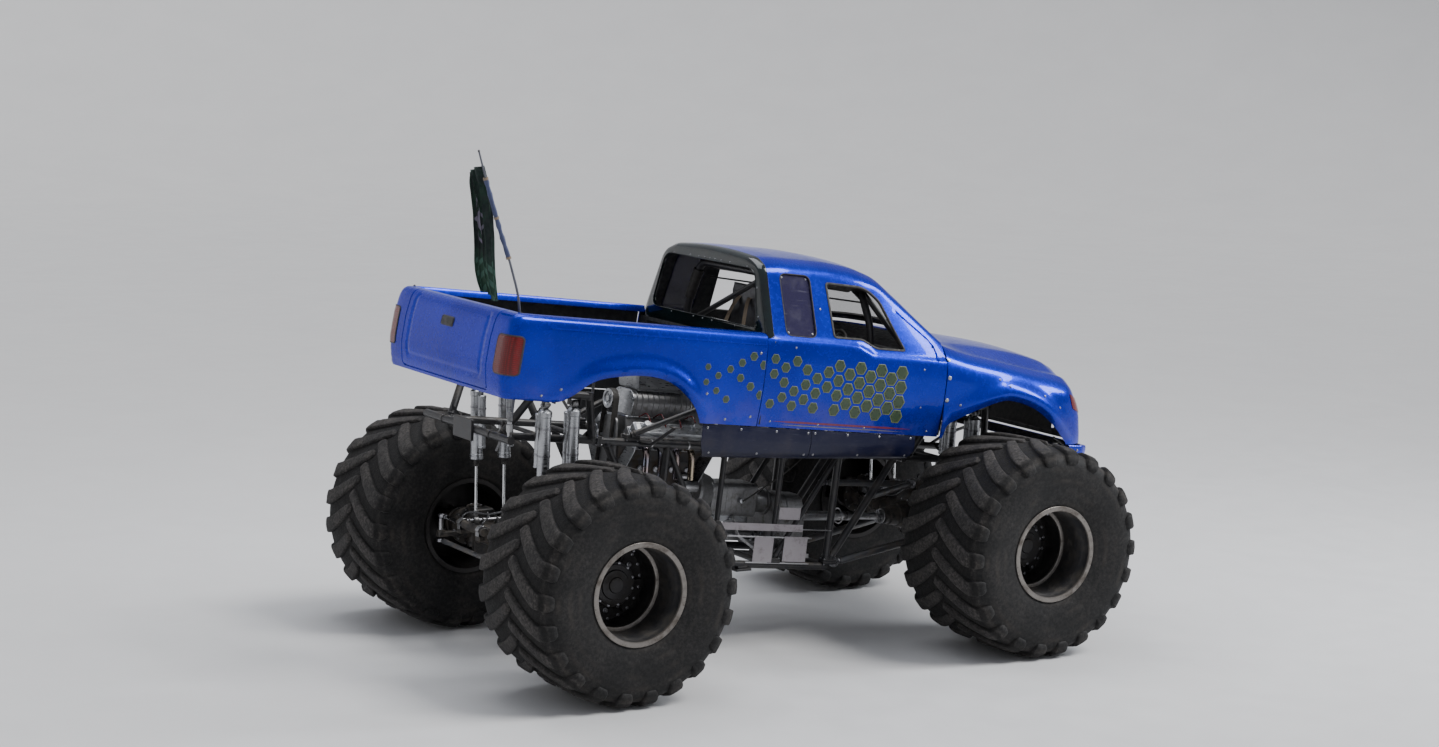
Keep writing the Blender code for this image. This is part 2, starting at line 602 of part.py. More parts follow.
# ------------------------------------------------------------- drive line
engine = fused("engine", [box((-1.15, -0.30, -0.95), (-0.30, 0.30, -0.20)),
                          box((-1.06, -0.17, -0.25), (-0.42, 0.17, 0.20))], M_ENGINE, RAKED)
fused("transmission", [box((-0.27, -0.15, -1.08), (0.44, 0.15, -0.76)),
                       box((0.40, -0.20, -1.28), (0.72, 0.20, -0.84))], M_ENGINE, RAKED)


def drive_shaft(name, p, q):
    p, q = Vector(p), Vector(q)
    d = (q - p).normalized()
    parts = [tube(p, q, 0.038, 10, twist=0.1)]
    for e, s in ((p, 1), (q, -1)):
        parts.append(tube(e, e + d * s * 0.06, 0.062, 10, twist=0.37))
    return fused(name, parts, M_STEEL)


case_front = body_to_world(0.722, 0, -1.03)
case_rear = body_to_world(0.398, 0, -1.19)
drive_shaft("driveshaft_front", (case_front.x + 0.012, 0, case_front.z), (X_FRONT - 0.372, 0, TYRE_R))
drive_shaft("driveshaft_rear", (case_rear.x - 0.012, 0, case_rear.z), (X_REAR + 0.372, 0, TYRE_R))


# -------------------------------------------------------------------- axles
def axle(name, x, outer):
    """A steered axle. outer is +1 where the steering lies ahead of it, -1 behind."""
    z = TYRE_R
    parts = [tube((x, -0.63, z), (x, 0.63, z), 0.085, 12, twist=0.1),
             tube((x - 0.13, 0, z), (x + 0.13, 0, z), 0.205, 14, twist=0.2),
             tube((x + outer * 0.12, 0, z), (x + outer * 0.18, 0, z), 0.150, 12, r2=0.09, twist=0.05),
             tube((x - outer * 0.12, 0, z), (x - outer * 0.362, 0, z), 0.110, 12, r2=0.065, twist=0.3)]
    for side in (1, -1):
        lo, hi = sorted((side * 0.60, side * 0.645))
        parts.append(box((x - 0.085, lo, z - 0.178), (x + 0.085, hi, z + 0.178)))
        lo, hi = sorted((side * 0.61, side * 0.835))
        for up in (1, -1):
            a, b = sorted((z + up * 0.150, z + up * 0.182))
            parts.append(box((x - 0.075, lo, a), (x + 0.075, hi, b)))
        # deck for the shocks, and ears for the lower links
        lo, hi = sorted((side * 0.37, side * 0.610))
        parts.append(box((x - 0.22, lo, z + 0.050), (x + 0.22, hi, z + 0.080)))
        lo, hi = sorted((side * 0.345, side * 0.415))
        parts.append(box((x - 0.05, lo, z - 0.16), (x + 0.05, hi, z - 0.02)))
    # top ear for the upper link, and two saddles for the steering ram
    parts.append(box((x - 0.05, -0.045, z + 0.15), (x + 0.05, 0.045, z + 0.285)))
    a, b = sorted((x + outer * 0.08, x + outer * 0.325))
    parts.append(box((a, 0.055, z + 0.052), (b, 0.125, z + 0.0865)))
    a, b = sorted((x + outer * 0.19, x + outer * 0.325))
    parts.append(box((a, 0.375, z + 0.052), (b, 0.435, z + 0.0865)))
    return fused(name, parts, M_AXLE)


axle("front_axle", X_FRONT, 1)
axle("rear_axle", X_REAR, -1)


# ------------------------------------------------------------ suspension
def shock_pair(name, x, side, top_z):
    """Two gas shocks on one corner, joined by their lower cross pin."""
    z0 = TYRE_R + 0.0805 + 0.035
    y = side * 0.525
    parts = [tube((x - 0.185, y, z0), (x + 0.185, y, z0), 0.028, 8, twist=0.15)]
    for s in (1, -1):
        foot = Vector((x + s * 0.12, y, z0))
        top = Vector((x + s * 0.12, side * 0.555, top_z))
        d = (top - foot).normalized()
        mid = foot + d * (top - foot).length * 0.45
        parts.append(tube(foot, mid + d * 0.02, 0.024, 10, twist=0.1))
        parts.append(tube(mid, top - d * 0.03, 0.052, 12, twist=0.2))
        parts.append(tube(top - d * 0.05, top, 0.030, 8, twist=0.3))
    return fused(name, parts, M_STEEL)


front_tower = body_to_world(1.85, 0.52, 0.02)
rear_tower = body_to_world(-1.85, 0.52, -0.10)
for side, label in [(1, "left"), (-1, "right")]:
    shock_pair("shocks_front_" + label, X_FRONT, side, front_tower.z - 0.075)
    shock_pair("shocks_rear_" + label, X_REAR, side, rear_tower.z - 0.075)

# Links: name, axle x, direction to the middle of the truck, frame end in the raked frame
for end_name, x, toward, frame_x in [("front", X_FRONT, -1, 0.905), ("rear", X_REAR, 1, -0.905)]:
    fx = body_to_world(frame_x, 0.38, -1.345)
    for side, label in [(1, "left"), (-1, "right")]:
        p = Vector((x + toward * 0.085, side * 0.38, TYRE_R - 0.10))
        q = Vector((fx.x, side * 0.345, fx.z))
        d = (q - p).normalized()
        fused("lower_link_%s_%s" % (end_name, label),
              [tube(p, q, 0.030, 10, twist=0.1), tube(p, p + d * 0.07, 0.043, 10, twist=0.3),
               tube(q - d * 0.07, q, 0.043, 10, twist=0.2)], M_STEEL)
    # Upper wishbone, its point over the differential
    apex = Vector((x + toward * 0.088, 0, TYRE_R + 0.250))
    far = body_to_world(-toward * 1.175, 0, -0.80)
    arms = [tube(apex - Vector((0, 0.001, 0)), (far.x, side * 0.352, far.z), 0.027, 10, twist=0.1 + 0.1 * side)
            for side in (1, -1)]
    arms.append(tube((apex.x, -0.035, apex.z), (apex.x, 0.035, apex.z), 0.033, 10, twist=0.2))
    fused("upper_link_" + end_name, arms, M_STEEL)


# ------------------------------------------- knuckles, wheels and steering
# Wheel outline, radius and distance out from the centre plane
FLAT = 1 / cos(pi / WHEEL_SEGS)      # a flat of the turned ring lies at the radius
HALF = TYRE_W / 2
TYRE_PROFILE = [(RIM_R, -0.455), (0.520, -0.492), (0.680, -HALF), (0.795, -0.485),
                (TYRE_R * FLAT, -0.405), (TYRE_R * FLAT, 0.405), (0.795, 0.485), (0.680, HALF),
                (0.520, 0.492), (RIM_R, 0.455)]
SEAT_R = RIM_R - TOUCH
RIM_PROFILE = [(SEAT_R, -0.4555), (0.380, -0.4605), (0.380, -0.475), (0.335, -0.475), (0.325, -0.060),
               (0.105, -0.060), (0.100, 0.020), (0.0, 0.020), (0.0, 0.130), (0.165, 0.100),
               (0.170, -0.025), (0.305, -0.025), (0.335, 0.475), (0.380, 0.475),
               (0.380, 0.4605), (SEAT_R, 0.4555)]
tyre_mesh = None
rim_mesh = None
# Corners: label, x, side, outer (steering ahead of or behind the axle)
CORNERS = [("front_left", X_FRONT, 1, 1), ("front_right", X_FRONT, -1, 1),
           ("rear_left", X_REAR, 1, -1), ("rear_right", X_REAR, -1, -1)]
for label, x, side, outer in CORNERS:
    pin = empty("kingpin_" + label, (x, side * KINGPIN_Y, TYRE_R))
    hub = empty("hub_" + label, (0, side * (WHEEL_Y - KINGPIN_Y), 0), parent=pin)
    arm_end = outer * STEER_ARM
    parts = [tube((0, 0, -0.138), (0, 0, 0.138), 0.072, 12, twist=0.1),
             tube((0, 0, 0), (0, side * (WHEEL_Y - KINGPIN_Y - 0.010), 0), 0.085, 12, twist=0.2),
             tube((0, side * 0.10, 0), (0, side * 0.30, 0), 0.150, 14, twist=0.1)]
    a, b = sorted((0.0, arm_end + outer * 0.032))
    parts.append(box((a, -0.032, -0.042), (b, 0.032, -0.004)))
    if side > 0:
        parts.append(tube((arm_end, 0, -0.02), (arm_end, 0, 0.1035), 0.020, 8, twist=0.1))
    knuckle = fused("knuckle_" + label, parts, M_AXLE)
    knuckle.parent = pin
    # The wheel's outside faces outward on either side
    for kind, profile, mat in [("tyre", TYRE_PROFILE, M_TYRE), ("rim", RIM_PROFILE, M_RIM)]:
        if kind == "tyre" and tyre_mesh is None:
            ob = turned("tyre_" + label, profile, WHEEL_SEGS, mat)
            tyre_mesh = ob.data
        elif kind == "rim" and rim_mesh is None:
            ob = turned("rim_" + label, profile, WHEEL_SEGS, mat)
            rim_mesh = ob.data
        else:
            ob = bpy.data.objects.new(kind + "_" + label, tyre_mesh if kind == "tyre" else rim_mesh)
            bpy.context.scene.collection.objects.link(ob)
        ob.parent = hub
        ob.rotation_euler = (0, 0, 0 if side > 0 else pi)

# Tie rods run under the arms from pin to pin; the ram pushes the left arm
for end_name, x, outer in [("front", X_FRONT, 1), ("rear", X_REAR, -1)]:
    px = x + outer * STEER_ARM
    z = TYRE_R - 0.070
    pivot = empty("tie_rod_pin_" + end_name, (px, KINGPIN_Y, z))
    span = 2 * KINGPIN_Y
    rod = fused("tie_rod_" + end_name,
                [tube((0, -0.01, 0), (0, -span + 0.01, 0), 0.021, 10, twist=0.1),
                 tube((0, 0, -0.014), (0, 0, 0.013), 0.034, 12, twist=0.1),
                 tube((0, -span, -0.014), (0, -span, 0.013), 0.034, 12, twist=0.1)], M_STEEL)
    rod.parent = pivot
    rx = x + outer * 0.290
    rz = TYRE_R + 0.122
    # Ram barrel, open at its outer end, saddled on the axle
    barrel = turned("steering_cylinder_" + end_name,
                    [(0.0, 0.04), (0.035, 0.04), (0.035, 0.46), (0.0185, 0.46), (0.0185, 0.06), (0.0, 0.06)],
                    16, M_AXLE)
    barrel.location = (rx, 0, rz)
    ram = fused("steering_rod_" + end_name,
                [tube((0, 0.25, 0), (0, KINGPIN_Y, 0), 0.0150, 10, twist=0.1),
                 tube((0, KINGPIN_Y, -0.0135), (0, KINGPIN_Y, 0.0135), 0.033, 12, twist=0.1)], M_CHROME)
    ram.location = (rx, 0, rz)

# ------------------------------------------------------------- flag and pole
# Whip line: x, y, z
POLE = [(-2.420, -0.660, 1.8650), (-2.385, -0.690, 2.30), (-2.385, -0.700, 2.75), (-2.455, -0.700, 3.04),
        (-2.560, -0.700, 3.33), (-2.655, -0.700, 3.61), (-2.745, -0.700, 3.90)]
curve = bpy.data.curves.new("flag_pole", "CURVE")
curve.dimensions = "3D"
curve.bevel_depth = 0.011
curve.bevel_resolution = 2
curve.use_fill_caps = True
curve.resolution_u = 1
curve.render_resolution_u = 0
spline = curve.splines.new("POLY")
spline.points.add(len(POLE) - 1)
for p, q in zip(spline.points, POLE):
    p.co = (*q, 1.0)
pole = bpy.data.objects.new("flag_pole", curve)
bpy.context.scene.collection.objects.link(pole)
curve.materials.append(M_STEEL)

# The hanging cloth's bundle: height, x of its middle, half depth, y near the pole, y far
FLAG = [(3.840, -2.735, 0.030, -0.670, -0.560), (3.500, -2.655, 0.055, -0.670, -0.430),
        (3.150, -2.600, 0.070, -0.670, -0.420), (2.830, -2.560, 0.050, -0.650, -0.470)]


def flag_block():
    bm = bmesh.new()
    rows = []
    for z, x, d, y0, y1 in FLAG:
        rows.append([bm.verts.new((x + sx * d, y, z)) for sx, y in ((1, y0), (1, y1), (-1, y1), (-1, y0))])
    for a, b in zip(rows, rows[1:]):
        for i in range(4):
            j = (i + 1) % 4
            bm.faces.new((a[i], a[j], b[j], b[i]))
    bm.faces.new(rows[0])
    bm.faces.new(rows[-1])
    return bm


object_from("flag", flag_block(), M_FLAG)
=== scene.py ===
# Monster truck: the looks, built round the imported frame.
# Metres. X forward, Y to the left, Z up, the floor at z = 0.
from math import sin, cos, pi, radians, sqrt, hypot, atan2

import bpy
import bmesh
import numpy as np
from mathutils import Vector, Matrix, noise
from mathutils.geometry import delaunay_2d_cdt


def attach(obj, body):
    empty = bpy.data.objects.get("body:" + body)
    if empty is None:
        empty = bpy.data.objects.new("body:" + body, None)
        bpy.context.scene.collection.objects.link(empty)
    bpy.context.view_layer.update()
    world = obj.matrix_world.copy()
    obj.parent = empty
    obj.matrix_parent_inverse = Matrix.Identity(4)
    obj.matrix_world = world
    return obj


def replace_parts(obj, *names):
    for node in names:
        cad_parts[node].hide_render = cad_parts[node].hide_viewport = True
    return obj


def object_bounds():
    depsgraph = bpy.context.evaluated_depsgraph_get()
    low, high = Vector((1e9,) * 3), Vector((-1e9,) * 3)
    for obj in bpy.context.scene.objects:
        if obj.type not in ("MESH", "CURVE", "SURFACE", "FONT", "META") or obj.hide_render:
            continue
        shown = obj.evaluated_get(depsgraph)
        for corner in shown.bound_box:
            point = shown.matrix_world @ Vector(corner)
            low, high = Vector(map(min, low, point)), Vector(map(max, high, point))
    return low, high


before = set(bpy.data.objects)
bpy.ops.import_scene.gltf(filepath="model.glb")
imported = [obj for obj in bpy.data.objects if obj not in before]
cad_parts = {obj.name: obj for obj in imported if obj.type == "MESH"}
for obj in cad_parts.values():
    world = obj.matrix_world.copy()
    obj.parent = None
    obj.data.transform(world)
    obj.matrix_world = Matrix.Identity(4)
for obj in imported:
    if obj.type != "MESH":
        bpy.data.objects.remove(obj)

CAD_LO, CAD_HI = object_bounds()
scene = bpy.context.scene

# ------------------------------------------------------------- shared sizes
X_MID, WHEELBASE, TRACK = -0.09, 3.72, 2.69
X_FRONT, X_REAR = X_MID + WHEELBASE / 2, X_MID - WHEELBASE / 2
WHEEL_Y, KINGPIN_Y, STEER_ARM = TRACK / 2, 0.76, 0.30
TYRE_R = 0.838
RAKE, DATUM_Z = radians(5.9), 2.0
RAKED = Matrix.Translation((X_MID, 0, DATUM_Z)) @ Matrix.Rotation(RAKE, 4, "Y")
CORNERS = [("front_left", X_FRONT, 1, 1), ("front_right", X_FRONT, -1, 1),
           ("rear_left", X_REAR, 1, -1), ("rear_right", X_REAR, -1, -1)]


def rk(x, y, z):
    """A point of the raked body frame, in the row frame."""
    return RAKED @ Vector((x, y, z))


# ==================================================================== camera
def look():
    az, el, roll = radians(-32.1122), radians(7.9707), radians(2.0858)
    back = Vector((sin(az) * cos(el), -cos(az) * cos(el), sin(el)))
    right = Vector((cos(az), sin(az), 0))
    up = back.cross(right)
    if up.z < 0:
        up = -up
    r2 = cos(roll) * right + sin(roll) * up
    u2 = -sin(roll) * right + cos(roll) * up
    data = bpy.data.cameras.new("camera")
    data.sensor_width = 36.0
    data.lens = 69.26
    data.clip_end = 200
    cam = bpy.data.objects.new("camera", data)
    scene.collection.objects.link(cam)
    place = Matrix.Identity(4)
    for row in range(3):
        place[row][0], place[row][1], place[row][2] = r2[row], u2[row], back[row]
    place[0][3], place[1][3], place[2][3] = -11.692, -18.274, 5.114
    cam.matrix_world = place
    scene.camera = cam


look()


# ================================================================= materials
class Mat:
    """A Principled material built node by node, in object coordinates."""

    def __init__(self, name, base=(0.5, 0.5, 0.5), rough=0.5, metal=0.0, **sockets):
        self.m = bpy.data.materials.new(name)
        self.m.use_nodes = True
        self.t = self.m.node_tree
        self.s = self.t.nodes["Principled BSDF"]
        self.out = self.t.nodes["Material Output"]
        self.set("Base Color", (*base, 1.0))
        self.set("Roughness", rough)
        self.set("Metallic", metal)
        for key, value in sockets.items():
            self.set(key.replace("_", " "), value)
        self.co = self.new("ShaderNodeTexCoord").outputs["Object"]

    def new(self, kind, **props):
        node = self.t.nodes.new(kind)
        for key, value in props.items():
            setattr(node, key, value)
        return node

    def set(self, socket, value):
        s = self.s.inputs[socket] if isinstance(socket, str) else socket
        if isinstance(value, bpy.types.NodeSocket):
            self.t.links.new(value, s)
        else:
            s.default_value = value

    def math(self, op, a, b=0.0, clamp=False):
        n = self.new("ShaderNodeMath", operation=op, use_clamp=clamp)
        self.set(n.inputs[0], a)
        self.set(n.inputs[1], b)
        return n.outputs[0]

    def scaled(self, x=1.0, y=1.0, z=1.0, rot=(0, 0, 0), vec=None):
        n = self.new("ShaderNodeMapping")
        self.set(n.inputs["Vector"], vec or self.co)
        n.inputs["Scale"].default_value = (x, y, z)
        n.inputs["Rotation"].default_value = rot
        return n.outputs[0]

    def noise(self, scale, detail=3.0, rough=0.5, vec=None, distort=0.0):
        n = self.new("ShaderNodeTexNoise")
        self.set(n.inputs["Vector"], vec or self.co)
        n.inputs["Scale"].default_value = scale
        n.inputs["Detail"].default_value = detail
        n.inputs["Roughness"].default_value = rough
        n.inputs["Distortion"].default_value = distort
        return n.outputs[0]

    def voronoi(self, scale, feature="F1", vec=None, output=0):
        n = self.new("ShaderNodeTexVoronoi", feature=feature)
        self.set(n.inputs["Vector"], vec or self.co)
        n.inputs["Scale"].default_value = scale
        return n.outputs[output]

    def wave(self, scale, vec=None, direction="X", distort=0.0, profile="SIN"):
        n = self.new("ShaderNodeTexWave", bands_direction=direction, wave_profile=profile)
        self.set(n.inputs["Vector"], vec or self.co)
        n.inputs["Scale"].default_value = scale
        n.inputs["Distortion"].default_value = distort
        return n.outputs[1]

    def band(self, fac, lo, hi, a=0.0, b=1.0, smooth=True):
        """fac between lo and hi becomes a to b, clamped."""
        n = self.new("ShaderNodeMapRange")
        if smooth:
            n.interpolation_type = "SMOOTHSTEP"
        self.set(n.inputs["Value"], fac)
        for key, value in (("From Min", lo), ("From Max", hi), ("To Min", a), ("To Max", b)):
            n.inputs[key].default_value = value
        return n.outputs[0]

    def mix(self, fac, a, b):
        """Colours: a where fac is 0, b where it is 1."""
        n = self.new("ShaderNodeMix", data_type="RGBA")
        self.set(n.inputs[0], fac)
        for s, v in ((n.inputs[6], a), (n.inputs[7], b)):
            self.set(s, v if isinstance(v, bpy.types.NodeSocket) else (*v, 1.0))
        return n.outputs[2]

    def blend(self, fac, a, b):
        """Numbers: a where fac is 0, b where it is 1."""
        n = self.new("ShaderNodeMix", data_type="FLOAT")
        self.set(n.inputs[0], fac)
        self.set(n.inputs[2], a)
        self.set(n.inputs[3], b)
        return n.outputs[0]

    def axis(self, k, vec=None):
        n = self.new("ShaderNodeSeparateXYZ")
        self.set(n.inputs[0], vec or self.co)
        return n.outputs[k]

    def up(self):
        """How far the surface faces up, -1 to 1."""
        n = self.new("ShaderNodeNewGeometry")
        sep = self.new("ShaderNodeSeparateXYZ")
        self.set(sep.inputs[0], n.outputs["Normal"])
        return sep.outputs[2]

    def edge(self):
        """Convex edges light, hollows dark."""
        return self.new("ShaderNodeNewGeometry").outputs["Pointiness"]

    def occlusion(self, distance=0.1):
        n = self.new("ShaderNodeAmbientOcclusion", samples=6)
        n.inputs["Distance"].default_value = distance
        return n.outputs["AO"]

    def bump(self, height, strength=0.5, distance=0.01, base=None):
        n = self.new("ShaderNodeBump")
        n.inputs["Strength"].default_value = strength
        n.inputs["Distance"].default_value = distance
        self.set(n.inputs["Height"], height)
        if base is not None:
            self.set(n.inputs["Normal"], base)
        self.set("Normal", n.outputs[0])
        return n.outputs[0]


def build_materials():
    mats = {}

    # Metallic royal blue over fibreglass: flake, faint ripple of the laminate, dust low down
    a = Mat("royal_blue_paint", rough=0.25, metal=0.5, Coat_Weight=0.45, Coat_Roughness=0.04, Coat_IOR=1.45, Specular_IOR_Level=0.25,
            Specular_Tint=(0.26, 0.38, 1.0, 1.0))
    flake = a.voronoi(900.0, output=1)
    flake_v = a.new("ShaderNodeSeparateColor")
    a.set(flake_v.inputs[0], flake)
    cloud = a.noise(1.6, 3.0, 0.55)
    col = a.mix(a.band(cloud, 0.35, 0.65), (0.0004, 0.0085, 0.315), (0.0009, 0.0145, 0.410))
    col = a.mix(a.band(flake_v.outputs[0], 0.82, 1.0, 0, 0.22), col, (0.02, 0.10, 0.90))
    z = a.axis(2)
    low = a.band(z, -0.22, 0.12, 1.0, 0.0)
    specks = a.band(a.noise(95.0, 6.0, 0.7), 0.52, 0.68)
    film = a.math("MULTIPLY", low, a.band(a.noise(4.5, 6.0, 0.65), 0.38, 0.75, 0.02, 0.26))
    dust = a.math("MAXIMUM", film, a.math("MULTIPLY", specks, a.band(low, 0, 1, 0.015, 0.22)))
    lying = a.math("MULTIPLY", a.band(a.up(), 0.75, 1.0), a.band(a.noise(3.0, 10.0, 0.74), 0.42, 0.85, 0.0, 0.05))
    dust = a.math("MAXIMUM", dust, lying)
    col = a.mix(dust, col, (0.20, 0.17, 0.14))
    a.set("Base Color", col)
    a.set("Roughness", a.blend(dust, a.band(a.noise(26.0, 5.0, 0.6), 0.3, 0.7, 0.20, 0.30), 0.75))
    a.set("Metallic", a.band(dust, 0.0, 0.6, 0.55, 0.0))
    ripple = a.math("ADD", a.noise(3.2, 2.0, 0.4), a.math("MULTIPLY", a.noise(240.0, 2.0, 0.5), 0.012))
    a.bump(ripple, 0.10, 0.02)
    mats["paint"] = a.m

    # Gloss near-black green round the rear window: painted shade, standing in for the blue paint where the cab's rear
    # face turns from the light
    a = Mat("rear_frame_painted_shade", rough=0.16, metal=0.1, Coat_Weight=0.6, Coat_Roughness=0.05, Specular_IOR_Level=0.3)
    col = a.mix(a.band(a.noise(5.0, 4.0), 0.4, 0.6), (0.0015, 0.0050, 0.0060), (0.0025, 0.0090, 0.0105))
    dust = a.band(a.noise(60.0, 7.0, 0.72), 0.58, 0.74, 0.0, 0.10)
    a.set("Base Color", a.mix(dust, col, (0.16, 0.16, 0.15)))
    a.set("Roughness", a.blend(dust, 0.15, 0.6))
    a.bump(a.noise(18.0, 3.0), 0.12, 0.01)
    mats["rear_frame"] = a.m

    # Raw laminate, inside the body
    a = Mat("raw_laminate", rough=0.7)
    weave = a.math("MULTIPLY", a.wave(55.0, a.scaled(rot=(0.3, 0.2, 0.7)), distort=3.0),
                   a.wave(55.0, a.scaled(rot=(0.3, 0.2, -0.8)), direction="Y", distort=3.0))
    col = a.mix(a.noise(9.0, 5.0, 0.6), (0.010, 0.011, 0.013), (0.035, 0.035, 0.038))
    a.set("Base Color", a.mix(a.band(weave, 0.3, 0.9, 0, 0.4), col, (0.055, 0.053, 0.050)))
    a.set("Roughness", a.band(a.noise(30.0), 0.3, 0.7, 0.5, 0.85))
    a.bump(a.math("ADD", weave, a.noise(80.0, 4.0)), 0.4, 0.004)
    mats["laminate"] = a.m

    # Satin navy rocker panels and lower trim, scuffed
    a = Mat("navy_satin", rough=0.38, metal=0.15, Coat_Weight=0.25, Coat_Roughness=0.15, Specular_IOR_Level=0.25)
    dust = a.math("MULTIPLY", a.band(a.axis(2), -0.5, -0.15, 1.0, 0.25), a.band(a.noise(6.0, 7.0, 0.68), 0.40, 0.72))
    scratch = a.band(a.noise(30.0, 2.0, 0.5, a.scaled(0.25, 1.0, 6.0, (0, 0.1, 0))), 0.66, 0.70, 0, 0.35)
    col = a.mix(a.noise(3.0), (0.0025, 0.0035, 0.020), (0.004, 0.006, 0.032))
    col = a.mix(scratch, col, (0.05, 0.055, 0.085))
    a.set("Base Color", a.mix(a.math("MULTIPLY", dust, 0.22), col, (0.12, 0.105, 0.09)))
    a.set("Roughness", a.blend(dust, a.band(a.noise(22.0, 4.0), 0.3, 0.7, 0.30, 0.44), 0.8))
    a.bump(a.noise(4.0, 3.0), 0.12, 0.015)
    mats["navy"] = a.m

    # Powder coat on the tube frame
    a = Mat("frame_powder_coat", rough=0.42, metal=0.0, Specular_IOR_Level=0.55)
    grime = a.band(a.noise(7.0, 8.0, 0.7), 0.42, 0.72)
    top = a.band(a.up(), 0.1, 0.95)
    dust = a.math("MULTIPLY", a.math("MAXIMUM", a.math("MULTIPLY", top, 0.9), 0.18), grime)
    chips = a.math("MULTIPLY", a.band(a.noise(46.0, 4.0, 0.6), 0.68, 0.71), 0.8)
    col = a.mix(a.noise(2.5, 3.0), (0.010, 0.010, 0.012), (0.020, 0.020, 0.024))
    col = a.mix(chips, col, (0.12, 0.075, 0.05))
    a.set("Base Color", a.mix(a.math("MULTIPLY", dust, 0.62), col, (0.19, 0.165, 0.135)))
    a.set("Roughness", a.blend(dust, 0.38, 0.86))
    a.bump(a.math("ADD", a.noise(420.0, 2.0), a.math("MULTIPLY", chips, -1.2)), 0.14, 0.0015)
    mats["frame"] = a.m

    # Axles and knuckles: black enamel under oil and dust
    a = Mat("axle_enamel", rough=0.5, metal=0.1)
    grime = a.band(a.noise(9.0, 9.0, 0.72), 0.38, 0.70)
    oil = a.band(a.noise(5.0, 4.0, 0.6), 0.55, 0.68)
    col = a.mix(grime, (0.016, 0.016, 0.018), (0.115, 0.098, 0.080))
    a.set("Base Color", a.mix(a.math("MULTIPLY", oil, 0.85), col, (0.012, 0.010, 0.008)))
    a.set("Roughness", a.blend(oil, a.band(grime, 0, 1, 0.42, 0.92), 0.22))
    a.bump(a.math("ADD", a.noise(130.0, 5.0, 0.65), a.math("MULTIPLY", grime, 0.7)), 0.35, 0.003)
    mats["axle"] = a.m

    # Grey painted links
    a = Mat("link_grey", rough=0.4, metal=0.35)
    grime = a.band(a.noise(12.0, 8.0, 0.7), 0.42, 0.72)
    a.set("Base Color", a.mix(grime, (0.085, 0.088, 0.095), (0.15, 0.13, 0.11)))
    a.set("Roughness", a.band(grime, 0, 1, 0.34, 0.8))
    a.bump(a.noise(160.0, 4.0), 0.2, 0.002)
    mats["link"] = a.m

    # Bare and brushed steel
    a = Mat("brushed_steel", base=(0.42, 0.42, 0.43), rough=0.35, metal=1.0)
    streak = a.noise(60.0, 3.0, 0.5, a.scaled(1.0, 1.0, 14.0))
    spot = a.band(a.noise(14.0, 7.0, 0.7), 0.56, 0.72)
    col = a.mix(streak, (0.30, 0.30, 0.31), (0.52, 0.52, 0.53))
    a.set("Base Color", a.mix(spot, col, (0.13, 0.10, 0.08)))
    a.set("Roughness", a.blend(spot, a.band(streak, 0.3, 0.7, 0.26, 0.46), 0.75))
    a.set("Metallic", a.band(spot, 0, 1, 1.0, 0.4))
    a.bump(streak, 0.15, 0.001)
    mats["steel"] = a.m

    a = Mat("zinc_fastener", rough=0.32, metal=1.0)
    col = a.mix(a.noise(45.0, 4.0), (0.20, 0.20, 0.22), (0.42, 0.42, 0.44))
    a.set("Base Color", a.mix(a.band(a.noise(90.0, 5.0, 0.7), 0.58, 0.70, 0, 0.7), col, (0.17, 0.13, 0.10)))
    a.set("Roughness", a.band(a.noise(120.0, 3.0), 0.3, 0.7, 0.24, 0.45))
    a.bump(a.noise(300.0, 3.0), 0.2, 0.0006)
    mats["bolt"] = a.m

    a = Mat("hard_chrome", rough=0.08, metal=1.0)
    haze = a.band(a.noise(26.0, 6.0, 0.7), 0.5, 0.75)
    a.set("Base Color", a.mix(haze, (0.80, 0.81, 0.82), (0.55, 0.54, 0.52)))
    a.set("Roughness", a.band(haze, 0, 1, 0.06, 0.30))
    a.bump(a.noise(200.0, 2.0), 0.04, 0.0005)
    mats["chrome"] = a.m

    a = Mat("anodised_alloy", rough=0.3, metal=1.0)
    turn = a.noise(120.0, 2.0, 0.4, a.scaled(0.15, 0.15, 1.0))
    grime = a.band(a.noise(22.0, 8.0, 0.72), 0.52, 0.84)
    col = a.mix(turn, (0.36, 0.37, 0.39), (0.50, 0.51, 0.53))
    a.set("Base Color", a.mix(grime, col, (0.20, 0.18, 0.16)))
    a.set("Roughness", a.blend(grime, a.band(turn, 0.3, 0.7, 0.26, 0.40), 0.7))
    a.set("Metallic", a.band(grime, 0, 1, 1.0, 0.5))
    a.bump(turn, 0.12, 0.0008)
    mats["alloy"] = a.m

    a = Mat("cast_alloy", rough=0.5, metal=0.85)
    grime = a.band(a.noise(16.0, 9.0, 0.72), 0.46, 0.80)
    col = a.mix(a.noise(60.0, 4.0), (0.22, 0.22, 0.23), (0.32, 0.32, 0.32))
    a.set("Base Color", a.mix(grime, col, (0.10, 0.085, 0.07)))
    a.set("Roughness", a.band(grime, 0, 1, 0.42, 0.8))
    a.set("Metallic", a.band(grime, 0, 1, 0.85, 0.1))
    a.bump(a.math("ADD", a.noise(260.0, 5.0, 0.7), a.noise(35.0, 3.0)), 0.45, 0.0015)
    mats["cast"] = a.m

    a = Mat("cast_iron", rough=0.55, metal=0.5)
    grime = a.band(a.noise(10.0, 9.0, 0.72), 0.4, 0.72)
    a.set("Base Color", a.mix(grime, (0.055, 0.056, 0.060), (0.10, 0.075, 0.055)))
    a.set("Roughness", a.band(grime, 0, 1, 0.45, 0.9))
    a.bump(a.math("ADD", a.noise(220.0, 6.0, 0.7), a.noise(30.0, 3.0)), 0.5, 0.002)
    mats["iron"] = a.m

